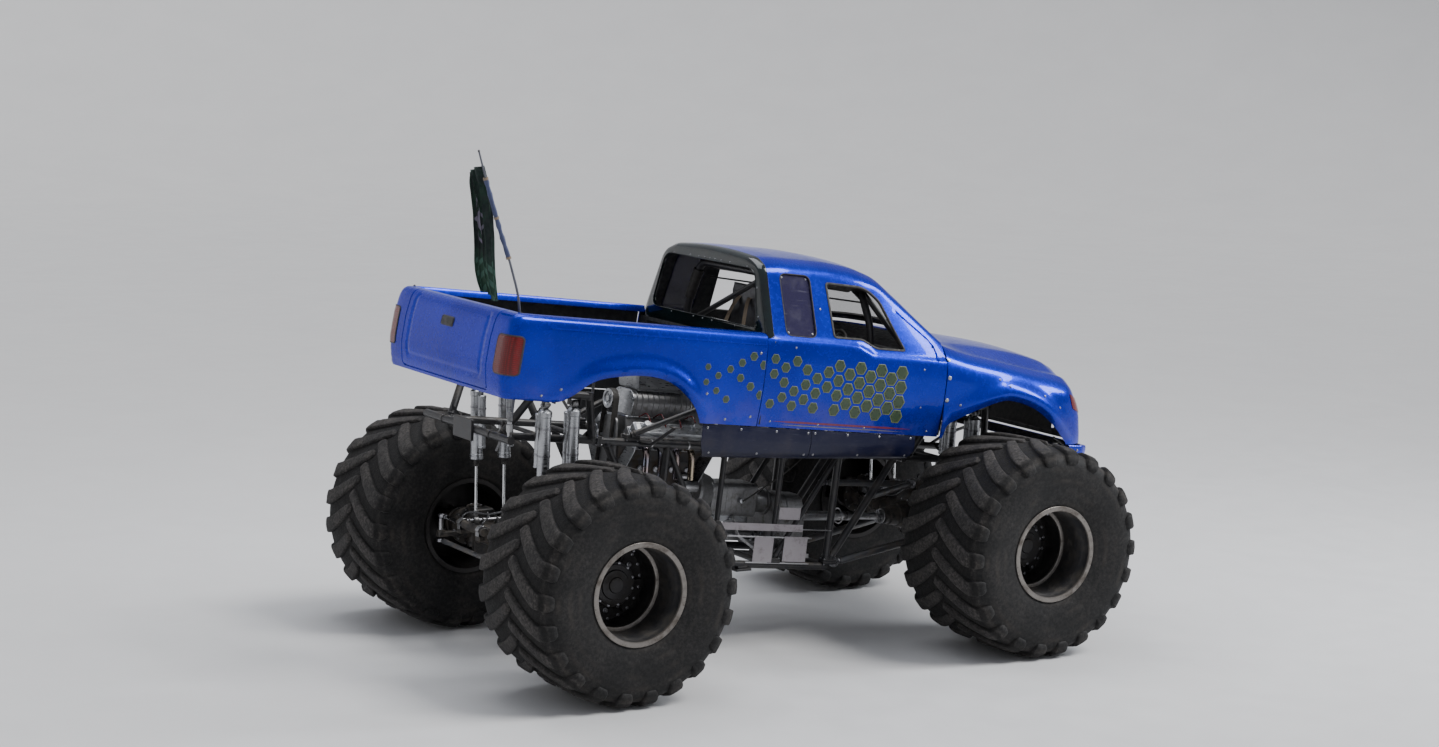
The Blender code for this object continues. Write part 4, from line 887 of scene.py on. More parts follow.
def panel(name, skin, outline, holes, step, mats, body, thick=0.012, place=RAKED, off=0.0, lines=(),
          rim=None, sharp=42, cells=None):
    """A trimmed piece of the skin with thickness. lines are drawn into the mesh so that creases stay crisp."""
    loops = [resample(outline, step, True)] + [resample(h, step * 0.8, True) for h in holes]
    drawn = [resample(l, step * 0.8) for l in lines]
    pts, edges = [], []
    for loop in loops:
        s = len(pts)
        pts.extend(map(tuple, loop))
        edges.extend((s + i, s + (i + 1) % len(loop)) for i in range(len(loop)))
    for line in drawn:
        s = len(pts)
        pts.extend(map(tuple, line))
        edges.extend((s + i, s + i + 1) for i in range(len(line) - 1))
    fixed = np.array(pts)
    lo, hi = fixed.min(0), fixed.max(0)
    su, sv = (step, step) if cells is None else cells
    us, vs = np.arange(lo[0] + su / 2, hi[0], su), np.arange(lo[1] + sv / 2, hi[1], sv)
    gu, gv = np.meshgrid(us, vs, indexing="ij")
    gu = gu + (np.arange(len(vs)) % 2)[None, :] * su * 0.5
    free = np.stack([gu.ravel(), gv.ravel()], axis=1)
    keep = inside(free, loops[0])
    for h in loops[1:]:
        keep &= ~inside(free, h)
    free = free[keep]
    near = distance(free, loops[0], True)
    for h in loops[1:]:
        near = np.minimum(near, distance(free, h, True))
    for line in drawn:
        near = np.minimum(near, distance(free, line))
    free = free[near > min(su, sv) * 0.45]
    every = [Vector(p) for p in np.concatenate([fixed, free])]
    out = delaunay_2d_cdt(every, edges, [], 0, 1e-6)
    uv = np.array([tuple(v) for v in out[0]])
    tris = np.array([f for f in out[2] if len(f) == 3])
    mid = uv[tris].mean(axis=1)
    keep = inside(mid, loops[0])
    for h in loops[1:]:
        keep &= ~inside(mid, h)
    tris = tris[keep]
    xyz = skin.at(uv, off)
    me = bpy.data.meshes.new(name)
    me.from_pydata([tuple(p) for p in xyz], [], [tuple(int(i) for i in t) for t in tris])
    # the faces look the way of the skin's normal
    n = skin.normal(mid[keep])
    a, b, c = (xyz[tris[:, k]] for k in range(3))
    if np.sum(np.cross(b - a, c - a) * n) < 0:
        me.flip_normals()
    ob = link(bpy.data.objects.new(name, me))
    for m in mats:
        me.materials.append(M[m])
    if thick:
        mod = ob.modifiers.new("thick", "SOLIDIFY")
        mod.thickness = thick
        mod.offset = -1.0
        mod.use_even_offset = False
        mod.material_offset = 1 if len(mats) > 1 else 0
        mod.material_offset_rim = 0 if rim is None else rim
        settle(ob)
    ob.data.polygons.foreach_set("use_smooth", [True] * len(ob.data.polygons))
    ob.data.set_sharp_from_angle(angle=radians(sharp))
    ob.matrix_world = place
    if body:
        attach(ob, body)
    return ob


def settle(ob):
    """Apply the modifiers into the mesh."""
    bpy.context.view_layer.update()
    dg = bpy.context.evaluated_depsgraph_get()
    me = bpy.data.meshes.new_from_object(ob.evaluated_get(dg), preserve_all_data_layers=True, depsgraph=dg)
    ob.modifiers.clear()
    old = ob.data
    ob.data = me
    me.name = ob.name
    bpy.data.meshes.remove(old)
    return ob


# ==================================================================== wheels
# Half profile of the casing from bead to middle: radius, distance out
CASING = [(0.358, 0.445), (0.372, 0.4600), (0.395, 0.4690), (0.430, 0.4780), (0.480, 0.4880), (0.540, 0.4965),
          (0.600, 0.5015), (0.655, 0.5020), (0.700, 0.4960), (0.738, 0.4830), (0.768, 0.4600), (0.787, 0.4270),
          (0.797, 0.3800), (0.802, 0.3000), (0.805, 0.2000), (0.807, 0.1000), (0.808, 0.0)]
# Top of the lugs from the sidewall to the middle: radius, distance out
LUG_TOP = [(0.668, 0.5050), (0.705, 0.5075), (0.745, 0.5060), (0.780, 0.4930), (0.806, 0.4690), (0.823, 0.4330),
           (0.832, 0.3850), (0.8355, 0.3000), (0.8370, 0.2000), (0.8378, 0.1000), (0.8378, 0.0)]
LUGS = 22                 # a side


def profile_at(points):
    """The profile by arc length: a function from distance along it to (r, a, outward r, outward a)."""
    pts = np.array([(p.x, p.y) for p in (Vector((*q, 0)) for q in points)])
    fine = np.array([(v.x, v.y) for v in curve_through([(*p, 0) for p in points], 6)])
    seg = np.hypot(*(fine[1:] - fine[:-1]).T)
    run = np.concatenate([[0], np.cumsum(seg)])

    def at(p):
        q = min(max(p, 0.0), 2 * run[-1])
        mirror = q > run[-1]
        if mirror:
            q = 2 * run[-1] - q
        r, a = np.interp(q, run, fine[:, 0]), np.interp(q, run, fine[:, 1])
        e = 0.004
        r0, a0 = np.interp(q - e, run, fine[:, 0]), np.interp(q - e, run, fine[:, 1])
        r1, a1 = np.interp(q + e, run, fine[:, 0]), np.interp(q + e, run, fine[:, 1])
        tr, ta = r1 - r0, a1 - a0
        k = hypot(tr, ta) or 1.0
        nr, na = -ta / k, tr / k
        return (r, -a, nr, -na) if mirror else (r, a, nr, na)
    return at, run[-1]


def tyre_mesh():
    b = Build()
    segs = LUGS * 6
    at, total = profile_at(CASING)
    steps = [total * 2 * k / 58 for k in range(59)]
    rows = []
    for p in steps:
        r, a, nr, na = at(p)
        row = []
        for k in range(segs):
            t = 2 * pi * k / segs
            # faint moulded rings and the cord lines of an old casing
            lift = 0.0012 * sin(p * 260) * (0.36 < r < 0.47) + 0.0016 * noise.noise(Vector((r * 9, a * 9, t * 6)))
            rr, aa = r + nr * lift, a + na * lift
            row.append((rr * sin(t), aa, rr * cos(t)))
        rows.append(row)
    b.grid(rows, 0, wrap_u=True)
    # bead tucked in behind the rim flange
    for s in (1, -1):
        ring = lambda rr, aa: [(rr * sin(2 * pi * k / segs), s * aa, rr * cos(2 * pi * k / segs)) for k in range(segs)]
        b.grid([ring(0.358, 0.445), ring(0.3605, 0.400)], 0, wrap_u=True, flip=s > 0)
    # Lugs: a curved bar from the sidewall over the shoulder to the middle, forward at its top
    top, top_len = profile_at(LUG_TOP)
    across = [(-1.16, -0.25), (-1.07, 0.30), (-1.01, 0.72), (-0.95, 0.92), (-0.84, 1.0), (-0.45, 1.02), (0.0, 1.03),
              (0.45, 1.02), (0.84, 1.0), (0.95, 0.92), (1.01, 0.72), (1.07, 0.30), (1.16, -0.25)]
    rows_n = 34
    for half in (1, -1):
        for k in range(LUGS):
            phase = 2 * pi * (k + (0.5 if half < 0 else 0.0)) / LUGS
            seed = Vector((k * 3.17, half * 7.7, 1.3))
            jitter = 0.006 * noise.noise(seed)
            line = []
            for i in range(rows_n):
                s = i / (rows_n - 1)
                p = 0.012 + s * (top_len + 0.010)          # arc length from the sidewall end
                # nearly square across the shoulder, then sweeping forward
                swing = 0.040 * s + 0.340 * max(0.0, s - 0.30) ** 1.35
                line.append((swing + jitter, p))
            rows = []
            for i, (q, p) in enumerate(line):
                s = i / (rows_n - 1)
                q0, p0 = line[max(i - 1, 0)]
                q1, p1 = line[min(i + 1, rows_n - 1)]
                tq, tp = q1 - q0, p1 - p0
                n = hypot(tq, tp)
                tq, tp = tq / n, tp / n
                width = 0.128 - 0.052 * s ** 1.2
                e0, e1 = min(1.0, s / 0.13), min(1.0, (1 - s) / 0.10)
                round_w = sqrt(max(0.0, 1 - (1 - e0) ** 2)) * (0.55 + 0.45 * sqrt(max(0.0, 1 - (1 - e1) ** 2)))
                round_w = max(round_w, 0.04)
                round_h = min(1.0, (s / 0.05)) * min(1.0, (1 - s) / 0.03 + 0.12)
                row = []
                for off, h in across:
                    d = off * width / 2 * round_w
                    qq, pp = q - tp * d, p + tq * d
                    r, a, nr, na = top(pp)
                    # height over the casing, taken along the normal
                    rc, ac = hypot(r, 0), a
                    depth = 0.036 + 0.010 * (1 - abs(s - 0.22) * 1.6 if abs(s - 0.22) < 0.6 else 0)
                    lift = (h * (0.25 + 0.75 * round_h) - 1.0) * depth
                    theta = phase + qq / 0.82
                    sp = Vector((sin(theta) * r * 7, a * 7 * half, cos(theta) * r * 7)) + seed * 0.01
                    if h > 0.6:
                        rough = noise.fractal(sp * 1.9, 1.0, 2.0, 4) * 0.0034
                        worn = max(0.0, noise.noise(sp * 0.9 + Vector((5, 1, 2)))) * 0.010
                        chip = max(0.0, noise.noise(sp * 3.4 + Vector((2, 9, 4))) - 0.28) * (0.022 if abs(off) > 0.8 else 0.006)
                        lift += min(0.0, rough - 0.0028) - worn * 0.6 - chip
                    rr, aa = r + nr * lift, a + na * lift
                    row.append((rr * sin(theta), half * aa, rr * cos(theta)))
                rows.append(row)
            b.grid(rows, 0, flip=half > 0)
            b.add(rows[0], [tuple(range(len(across)))[::-1 if half < 0 else 1]], 0)
            b.add(rows[-1], [tuple(range(len(across)))[::1 if half < 0 else -1]], 0)
    me = bpy.data.meshes.new("tyre")
    me.from_pydata(b.v, [], b.f)
    me.polygons.foreach_set("use_smooth", [True] * len(b.f))
    me.materials.append(M["tyre"])
    me.update()
    me.set_sharp_from_angle(angle=radians(58))
    return me


def rim_mesh():
    """Outside faces +Y. Deep dish with a welded step ring, the planetary drum at its floor."""
    b = Build()
    y = (0, 1, 0)
    o = (0, 0, 0)
    # pale outer lip
    b.lathe(o, y, [(0.4600, 0.3615), (0.4665, 0.3775), (0.4715, 0.3800), (0.4750, 0.3770), (0.4752, 0.3500),
                   (0.4740, 0.3430), (0.4690, 0.3395), (0.4600, 0.3380)], 96, 1)
    # barrel down to the step ring
    b.lathe(o, y, [(0.4600, 0.3380), (0.4000, 0.3345), (0.3950, 0.3305), (0.3000, 0.3270), (0.2200, 0.3255),
                   (0.1750, 0.3240)], 96, 0)
    b.lathe(o, y, [(0.1750, 0.3240), (0.1720, 0.3060), (0.1680, 0.2990), (0.1590, 0.2960), (0.1500, 0.2990),
                   (0.1460, 0.3060)], 96, 2)
    b.lathe(o, y, [(0.1460, 0.3060), (0.0600, 0.3030), (0.0100, 0.3000), (-0.0100, 0.2960), (-0.0230, 0.2850),
                   (-0.0250, 0.2700), (-0.0250, 0.1700)], 96, 0)
    # inboard side
    b.lathe(o, y, [(-0.060, 0.110), (-0.060, 0.3240), (-0.4600, 0.3380), (-0.4740, 0.3430), (-0.4750, 0.3770),
                   (-0.4665, 0.3775), (-0.4600, 0.3600), (-0.455, 0.3590), (0.455, 0.3590), (0.460, 0.3615)], 96, 0)
    b.lathe(o, y, [(-0.055, 0.112), (-0.055, 0.100), (0.018, 0.100), (0.018, 0.0)], 48, 0)
    # planetary drum and its cover
    b.lathe(o, y, [(-0.0250, 0.1720), (0.0780, 0.1690), (0.0860, 0.1640), (0.0880, 0.1500), (0.0980, 0.1460),
                   (0.1010, 0.1120), (0.1120, 0.1060), (0.1180, 0.0600), (0.1280, 0.0540), (0.1300, 0.0)], 64, 0)
    for k in range(12):
        t = 2 * pi * (k + 0.5) / 12
        b.bolt((0.157 * sin(t), 0.0868, 0.157 * cos(t)), y, 0.0075, mat=3)
        t = 2 * pi * k / 12
        b.bolt((0.215 * sin(t), -0.0250, 0.215 * cos(t)), y, 0.0135, mat=3)
    for k in range(20):
        t = 2 * pi * (k + 0.25) / 20
        b.bolt((0.279 * sin(t), -0.0245, 0.279 * cos(t)), y, 0.008, mat=3)
    # lightening ribs on the floor of the dish
    for k in range(6):
        t = 2 * pi * (k + 0.5) / 6
        turn = Matrix.Rotation(-t, 4, "Y")
        b.block((-0.006, -0.026, 0.170), (0.006, 0.020, 0.262), 0, 0.002, place=turn)
    # valve and its guard on the barrel
    b.pin((0, 0.300, 0.3270), (0, 0.345, 0.300), 0.006, 12, 3)
    b.pin((0, 0.343, 0.301), (0, 0.357, 0.292), 0.0085, 12, 3)
    me = bpy.data.meshes.new("rim")
    me.from_pydata(b.v, [], b.f)
    me.polygons.foreach_set("material_index", b.mi)
    me.polygons.foreach_set("use_smooth", [True] * len(b.f))
    for m in ("rim", "lip", "lip", "bolt"):
        me.materials.append(M[m])
    me.update()
    me.set_sharp_from_angle(angle=radians(40))
    return me


def make_wheels():
    tyre, rim = tyre_mesh(), rim_mesh()
    for label, x, side, outer in CORNERS:
        hub = Matrix.Translation((x, side * WHEEL_Y, TYRE_R))
        t = link(bpy.data.objects.new("tyre_tread_" + label, tyre))
        t.matrix_world = hub
        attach(t, "wheel_" + label)
        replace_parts(t, "tyre_" + label)
        r = link(bpy.data.objects.new("wheel_rim_" + label, rim))
        r.matrix_world = hub @ Matrix.Rotation(0 if side > 0 else pi, 4, "Z")
        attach(r, "wheel_" + label)
        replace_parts(r, "rim_" + label)


make_wheels()


# ================================================================ body shells
def pchip(xs, ys, x):
    """Monotone cubic through (xs, ys) at x."""
    xs, ys = np.asarray(xs, float), np.asarray(ys, float)
    h = np.diff(xs)
    d = np.diff(ys) / h
    m = np.zeros(len(xs))
    m[0], m[-1] = d[0], d[-1]
    for i in range(1, len(xs) - 1):
        if d[i - 1] * d[i] > 0:
            w0, w1 = 2 * h[i] + h[i - 1], h[i] + 2 * h[i - 1]
            m[i] = (w0 + w1) / (w0 / d[i - 1] + w1 / d[i])
    i = int(np.clip(np.searchsorted(xs, x) - 1, 0, len(h) - 1))
    t = (x - xs[i]) / h[i]
    return ((2 * t ** 3 - 3 * t ** 2 + 1) * ys[i] + (t ** 3 - 2 * t ** 2 + t) * h[i] * m[i]
            + (-2 * t ** 3 + 3 * t ** 2) * ys[i + 1] + (t ** 3 - t ** 2) * h[i] * m[i + 1])


class Hull(Skin):
    """A shell swept along x. Rows of x and half section points from the foot to the last one before the
    centre, then the height at the centre. v runs from the centre line, + to the left."""

    def __init__(self, rows, radii, x0, x1, n=260, cols=700):
        xs = [r[0] for r in rows]
        count = (len(rows[0]) - 2) // 2
        self.xs = np.linspace(x0, x1, n)
        self.ws = np.linspace(0, 2.4, cols)
        self.Y, self.Z = np.zeros((n, cols)), np.zeros((n, cols))
        for i, x in enumerate(self.xs):
            val = [pchip(xs, [r[k] for r in rows], x) for k in range(1, len(rows[0]))]
            pts = [(val[2 * k], val[2 * k + 1]) for k in range(count)]
            ys, zs, zc = pts[-1][0], pts[-1][1], val[-1]
            arc = [(ys * (1 - k / 8), zc + (zs - zc) * (1 - k / 8) ** 2) for k in range(1, 9)]
            line = pts[:1]
            every = pts + arc
            for k in range(1, len(every) - 1):
                r = radii[k - 1] if k - 1 < len(radii) else 0.0
                a, b, c = Vector(every[k - 1]), Vector(every[k]), Vector(every[k + 1])
                r = min(r, (a - b).length * 0.49, (c - b).length * 0.49)
                if r < 1e-4:
                    line.append(tuple(b))
                    continue
                s, e = b + (a - b).normalized() * r, b + (c - b).normalized() * r
                line += [tuple(s * (1 - t) ** 2 + b * 2 * t * (1 - t) + e * t ** 2)
                         for t in np.linspace(0, 1, 9)]
            line.append(every[-1])
            line = np.array(line[::-1])
            run = np.concatenate([[0], np.cumsum(np.hypot(*np.diff(line, axis=0).T))])
            end = line[-1] - line[-2]
            end = end / np.hypot(*end)
            over = np.maximum(self.ws - run[-1], 0)
            self.Y[i] = np.interp(self.ws, run, line[:, 0]) + end[0] * over
            self.Z[i] = np.interp(self.ws, run, line[:, 1]) + end[1] * over
        super().__init__(self.lookup, 1.0)

    def row(self, x):
        f = np.clip((x - self.xs[0]) / (self.xs[1] - self.xs[0]), 0, len(self.xs) - 1.000001)
        i = int(f)
        t = f - i
        return self.Y[i] * (1 - t) + self.Y[i + 1] * t, self.Z[i] * (1 - t) + self.Z[i + 1] * t

    def lookup(self, uv):
        f = (uv[:, 0] - self.xs[0]) / (self.xs[1] - self.xs[0])
        i = np.clip(f.astype(int), 0, len(self.xs) - 2)
        t = f - i
        g = np.abs(uv[:, 1]) / (self.ws[1] - self.ws[0])
        j = np.clip(g.astype(int), 0, len(self.ws) - 2)
        s = g - j
        out = []
        for T in (self.Y, self.Z):
            out.append((T[i, j] * (1 - s) + T[i, j + 1] * s) * (1 - t) + (T[i + 1, j] * (1 - s) + T[i + 1, j + 1] * s) * t)
        return np.stack([uv[:, 0], out[0] * np.where(uv[:, 1] < 0, -1, 1), out[1]], axis=1)

    def by_z(self, points, side):
        """Domain points for (x, z) points on one side."""
        out = []
        for x, z in points:
            Y, Z = self.row(x)
            out.append((x, side * float(np.interp(-z, -Z, self.ws))))
        return out

    def by_y(self, points):
        out = []
        for x, y in points:
            Y, Z = self.row(x)
            k = int(np.argmax(Y > 0.80)) or len(Y)
            out.append((x, (1 if y >= 0 else -1) * float(np.interp(abs(y), Y[:k], self.ws[:k]))))
        return out

    def side_line(self, points, side, step=0.02):
        return self.by_z(resample(points, step), side)


def in_side(P, fn):
    """A feature only where the surface is at the body's side."""
    return fn * np.clip((np.abs(P[:, 1]) - 0.82) / 0.05, 0, 1)


def flare(skin, arch, tall, lip, width, fade):
    """A swelling round an arch: tall out at lip from the edge, gone at width. fade gives its strength along x."""
    def feature(uv):
        P = skin.base(uv)
        d = distance(P[:, [0, 2]], arch)
        rise = np.clip(d / lip, 0, 1)
        rise = 0.18 + 0.82 * np.sin(rise * pi / 2) ** 1.2
        fall = np.clip((d - lip) / (width - lip), 0, 1)
        fall = 0.5 + 0.5 * np.cos(fall * pi)
        return in_side(P, tall * rise * fall * fade(P[:, 0]))
    return feature


def groove(skin, lines, deep=0.006, half=0.004):
    """Narrow channels along lines in the domain."""
    def feature(uv):
        out = np.zeros(len(uv))
        for line in lines:
            d = distance(uv, line)
            out = np.minimum(out, -deep * np.clip((2 * half - d) / half, 0, 1))
        return out
    return feature


def beside(line, half=0.004):
    """The lines that a groove needs in the mesh."""
    a = np.array(line, float)
    t = np.gradient(a, axis=0)
    n = np.stack([-t[:, 1], t[:, 0]], axis=1) / np.maximum(np.hypot(*t.T)[:, None], 1e-9)
    return [a + n * half * k for k in (-2, -1, 1, 2)]


CAB = [
    # x      sill           waist         shoulder      shelf out     shelf in      edge          side          centre
    (-0.400, 0.955, -0.205, 0.985, 0.05, 0.986, 0.30, 0.970, 0.435, 0.938, 0.490, 0.714, 0.980, 0.575, 1.040, 1.067),
    (-0.300, 0.955, -0.205, 0.985, 0.05, 0.986, 0.30, 0.972, 0.450, 0.939, 0.488, 0.718, 0.989, 0.585, 1.048, 1.076),
    (-0.100, 0.955, -0.205, 0.987, 0.05, 0.987, 0.30, 0.974, 0.457, 0.941, 0.487, 0.728, 1.000, 0.600, 1.058, 1.088),
    (0.250, 0.955, -0.205, 0.988, 0.05, 0.988, 0.30, 0.975, 0.458, 0.942, 0.487, 0.732, 1.000, 0.610, 1.058, 1.090),
    (0.470, 0.955, -0.205, 0.988, 0.05, 0.988, 0.29, 0.975, 0.450, 0.943, 0.480, 0.734, 0.985, 0.618, 1.043, 1.078),
    (0.560, 0.955, -0.205, 0.988, 0.05, 0.988, 0.28, 0.975, 0.420, 0.944, 0.452, 0.735, 0.972, 0.625, 1.030, 1.068),
    (0.650, 0.955, -0.205, 0.988, 0.05, 0.988, 0.26, 0.975, 0.389, 0.945, 0.420, 0.738, 0.948, 0.636, 1.005, 1.053),
    (0.740, 0.955, -0.205, 0.988, 0.05, 0.988, 0.26, 0.975, 0.385, 0.946, 0.416, 0.742, 0.920, 0.650, 0.975, 1.035),
    (0.900, 0.955, -0.205, 0.988, 0.05, 0.988, 0.26, 0.975, 0.384, 0.947, 0.414, 0.765, 0.820, 0.690, 0.868, 0.965),
    (1.120, 0.955, -0.205, 0.987, 0.05, 0.987, 0.26, 0.974, 0.384, 0.946, 0.412, 0.805, 0.674, 0.745, 0.705, 0.772),
    (1.345, 0.955, -0.205, 0.985, 0.05, 0.985, 0.26, 0.970, 0.384, 0.938, 0.408, 0.852, 0.524, 0.792, 0.543, 0.574),
]
QUARTER_WINDOW = rounded([(-0.195, 0.950), (0.075, 0.950), (0.092, 0.497), (-0.182, 0.497)], 0.055, 7)
DOOR_WINDOW = rounded([(0.228, 0.905), (0.600, 0.897), (0.735, 0.805), (0.935, 0.455),
                       (0.665, 0.455), (0.520, 0.515), (0.262, 0.515)], [0.02, 0.08, 0.05, 0.02, 0.03, 0.03, 0.02], 5)
REAR_WINDOW = rounded([(-0.785, 0.525), (0.785, 0.525), (0.662, 0.958), (-0.662, 0.958)], 0.09, 8)
WINDSHIELD = rounded([(0.930, -0.640), (0.930, 0.640), (1.285, 0.735), (1.285, -0.735)], 0.06, 6)
CAB_REAR, CAB_FRONT = -0.300, 1.335
SILL_Z = -0.205

cab = Hull(CAB, [0.16, 0.14, 0.030, 0.010, 0.060, 0.10], -0.40, 1.345)
CLIP = [
    # x     lower          mid          side         upper         crease        valley        dome          centre
    (1.345, 0.955, -0.205, 0.985, 0.05, 0.985, 0.30, 0.950, 0.415, 0.858, 0.512, 0.780, 0.516, 0.620, 0.532, 0.550),
    (1.450, 0.956, -0.205, 0.986, 0.05, 0.987, 0.29, 0.950, 0.404, 0.846, 0.487, 0.772, 0.492, 0.604, 0.524, 0.550),
    (1.650, 0.958, -0.205, 0.988, 0.06, 0.989, 0.27, 0.946, 0.383, 0.834, 0.451, 0.760, 0.453, 0.575, 0.508, 0.546),
    (1.980, 0.960, -0.205, 0.989, 0.08, 0.989, 0.25, 0.938, 0.350, 0.820, 0.414, 0.745, 0.412, 0.558, 0.492, 0.528),
    (2.340, 0.955, -0.205, 0.983, 0.04, 0.977, 0.21, 0.922, 0.302, 0.804, 0.367, 0.728, 0.364, 0.545, 0.464, 0.500),
    (2.600, 0.940, -0.205, 0.960, 0.02, 0.950, 0.18, 0.902, 0.272, 0.790, 0.336, 0.714, 0.336, 0.530, 0.422, 0.452),
    (2.720, 0.915, -0.205, 0.929, 0.02, 0.916, 0.16, 0.872, 0.246, 0.768, 0.312, 0.700, 0.314, 0.520, 0.392, 0.414),
    (2.800, 0.877, -0.200, 0.884, 0.02, 0.872, 0.14, 0.834, 0.216, 0.738, 0.276, 0.680, 0.284, 0.508, 0.372, 0.392),
    (2.836, 0.838, -0.195, 0.842, 0.02, 0.832, 0.12, 0.800, 0.186, 0.708, 0.240, 0.655, 0.250, 0.495, 0.340, 0.360),
]
FRONT_ARCH = curve_through([(x, z, 0) for x, z in [
    (1.374, -0.205), (1.410, -0.110), (1.510, -0.050), (1.645, 0.016), (1.800, 0.080), (1.900, 0.113), (1.979, 0.124),
    (2.120, 0.107), (2.250, 0.070), (2.354, 0.022), (2.500, -0.070), (2.620, -0.165), (2.655, -0.205)]], 5)
FRONT_ARCH = [(p.x, p.y) for p in FRONT_ARCH]
clip = Hull(CLIP, [0.14, 0.10, 0.09, 0.020, 0.030, 0.045, 0.10], 1.345, 2.836)


def ramp(x, a, b):
    t = np.clip((x - a) / (b - a), 0, 1)
    return t * t * (3 - 2 * t)


clip.features.append(flare(clip, FRONT_ARCH, 0.046, 0.058, 0.185,
                           lambda x: 0.20 + 0.80 * ramp(x, 1.55, 1.95) * (1 - 0.75 * ramp(x, 2.40, 2.68))))


def fender_foot(uv):
    """The fender's lower rear corner is bent out."""
    P = clip.base(uv)
    near = np.clip(1 - (P[:, 0] - 1.345) / 0.085, 0, 1) * ramp(-P[:, 2], -0.10, 0.13)
    return in_side(P, 0.030 * near ** 1.3)


clip_line = clip.base


def nose_lean(z):
    return 0.040 * ramp(-z, -0.06, 0.20) - 0.060 * ramp(z, 0.0, 0.22)


def clip_lean(uv):
    """The fenders' front corners run forward to the lip and lean back at the hood."""
    P = np.array(clip_line(uv))
    P[:, 0] += ramp(P[:, 0], 2.58, 2.836) * nose_lean(P[:, 2])
    return P


clip.base = clip_lean
clip.features.append(fender_foot)


def cab_shell():
    # door line: a faint seam
    seams = []
    for side in (1, -1):
        seams.append(np.array(cab.side_line([(0.905, 0.735), (1.000, 0.670), (1.105, 0.603), (1.190, 0.545),
                                             (1.232, 0.500), (1.250, 0.450), (1.250, 0.400)], side, 0.012)))
    cab.features.append(groove(cab, seams, 0.011, 0.0055))
    outline = []
    for side in (-1, 1):
        part = cab.side_line([(CAB_REAR, 0.500), (CAB_REAR - 0.008, 0.474), (-0.362, 0.462), (-0.364, 0.440), (-0.364, SILL_Z)],
                             side, 0.02)
        part += cab.side_line([(-0.364, SILL_Z), (CAB_FRONT, SILL_Z)], side, 0.04)
        outline += part if side < 0 else part[::-1]
    holes = [cab.by_z(resample(w, 0.02, True), side) for w in (QUARTER_WINDOW, DOOR_WINDOW) for side in (1, -1)]
    shield = cab.by_y(resample(WINDSHIELD, 0.02, True))
    holes.append(shield)
    lines = [l for s in seams for l in beside(s, 0.0055)]
    ob = panel("body_cab_shell", cab, outline, holes, 0.024, ("paint", "laminate"), "chassis", 0.012, lines=lines,
               sharp=35)
    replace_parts(ob, "body_cab")
    return holes, shield


def ring_on(skin, loop, rows, name, mat, body="chassis", closed=True, sharp=40):
    """A moulding along a loop in the domain. rows of (outwards from the loop, off the surface)."""
    a = np.array(resample(loop, 0.018, closed))
    if closed:
        t = np.roll(a, -1, axis=0) - np.roll(a, 1, axis=0)
        area = np.sum(a[:, 0] * np.roll(a[:, 1], -1) - np.roll(a[:, 0], -1) * a[:, 1])
    else:
        t, area = np.gradient(a, axis=0), 1
    n = np.stack([t[:, 1], -t[:, 0]], axis=1) / np.maximum(np.hypot(*t.T)[:, None], 1e-9)
    n = n if area > 0 else -n
    b = Build()
    b.grid([[tuple(p) for p in skin.at(a + n * out, off)] for out, off in rows], 0, wrap_u=closed)
    ob = b.object(name, (mat,), body, RAKED, sharp)
    return outward(ob)


TRIM = [(0.014, 0.0003), (0.013, 0.0035), (0.010, 0.0050), (0.001, 0.0050), (-0.003, 0.0035), (-0.004, -0.004),
        (-0.004, -0.0150), (0.002, -0.0155)]
holes, shield = cab_shell()
for k, (what, side) in enumerate([("quarter", 1), ("quarter", -1), ("door", 1), ("door", -1)]):
    label = "left" if side > 0 else "right"
    ring_on(cab, holes[k], TRIM if what == "door" else [(o * 0.45, h * 0.6) for o, h in TRIM],
            "%s_window_seal_%s" % (what, label), "rubber")
ring_on(cab, shield, [(0.012, 0.0003), (0.011, 0.0030), (0.001, 0.0035), (-0.004, 0.0020), (-0.004, -0.0150)],
        "windshield_seal", "rubber")


def bolts_on(skin, points, side, name, mat="bolt", r=0.0065, off=0.0, body="chassis", washer=True, by=None):
    b = Build()
    uv = np.array(skin.by_z(points, side) if by is None else by)
    P, N = skin.at(uv, off), skin.normal(uv)
    for p, n in zip(P, N):
        b.bolt(p, n, r, mat=0, washer=washer)
    return b.object(name, (mat,), body, RAKED, 40)


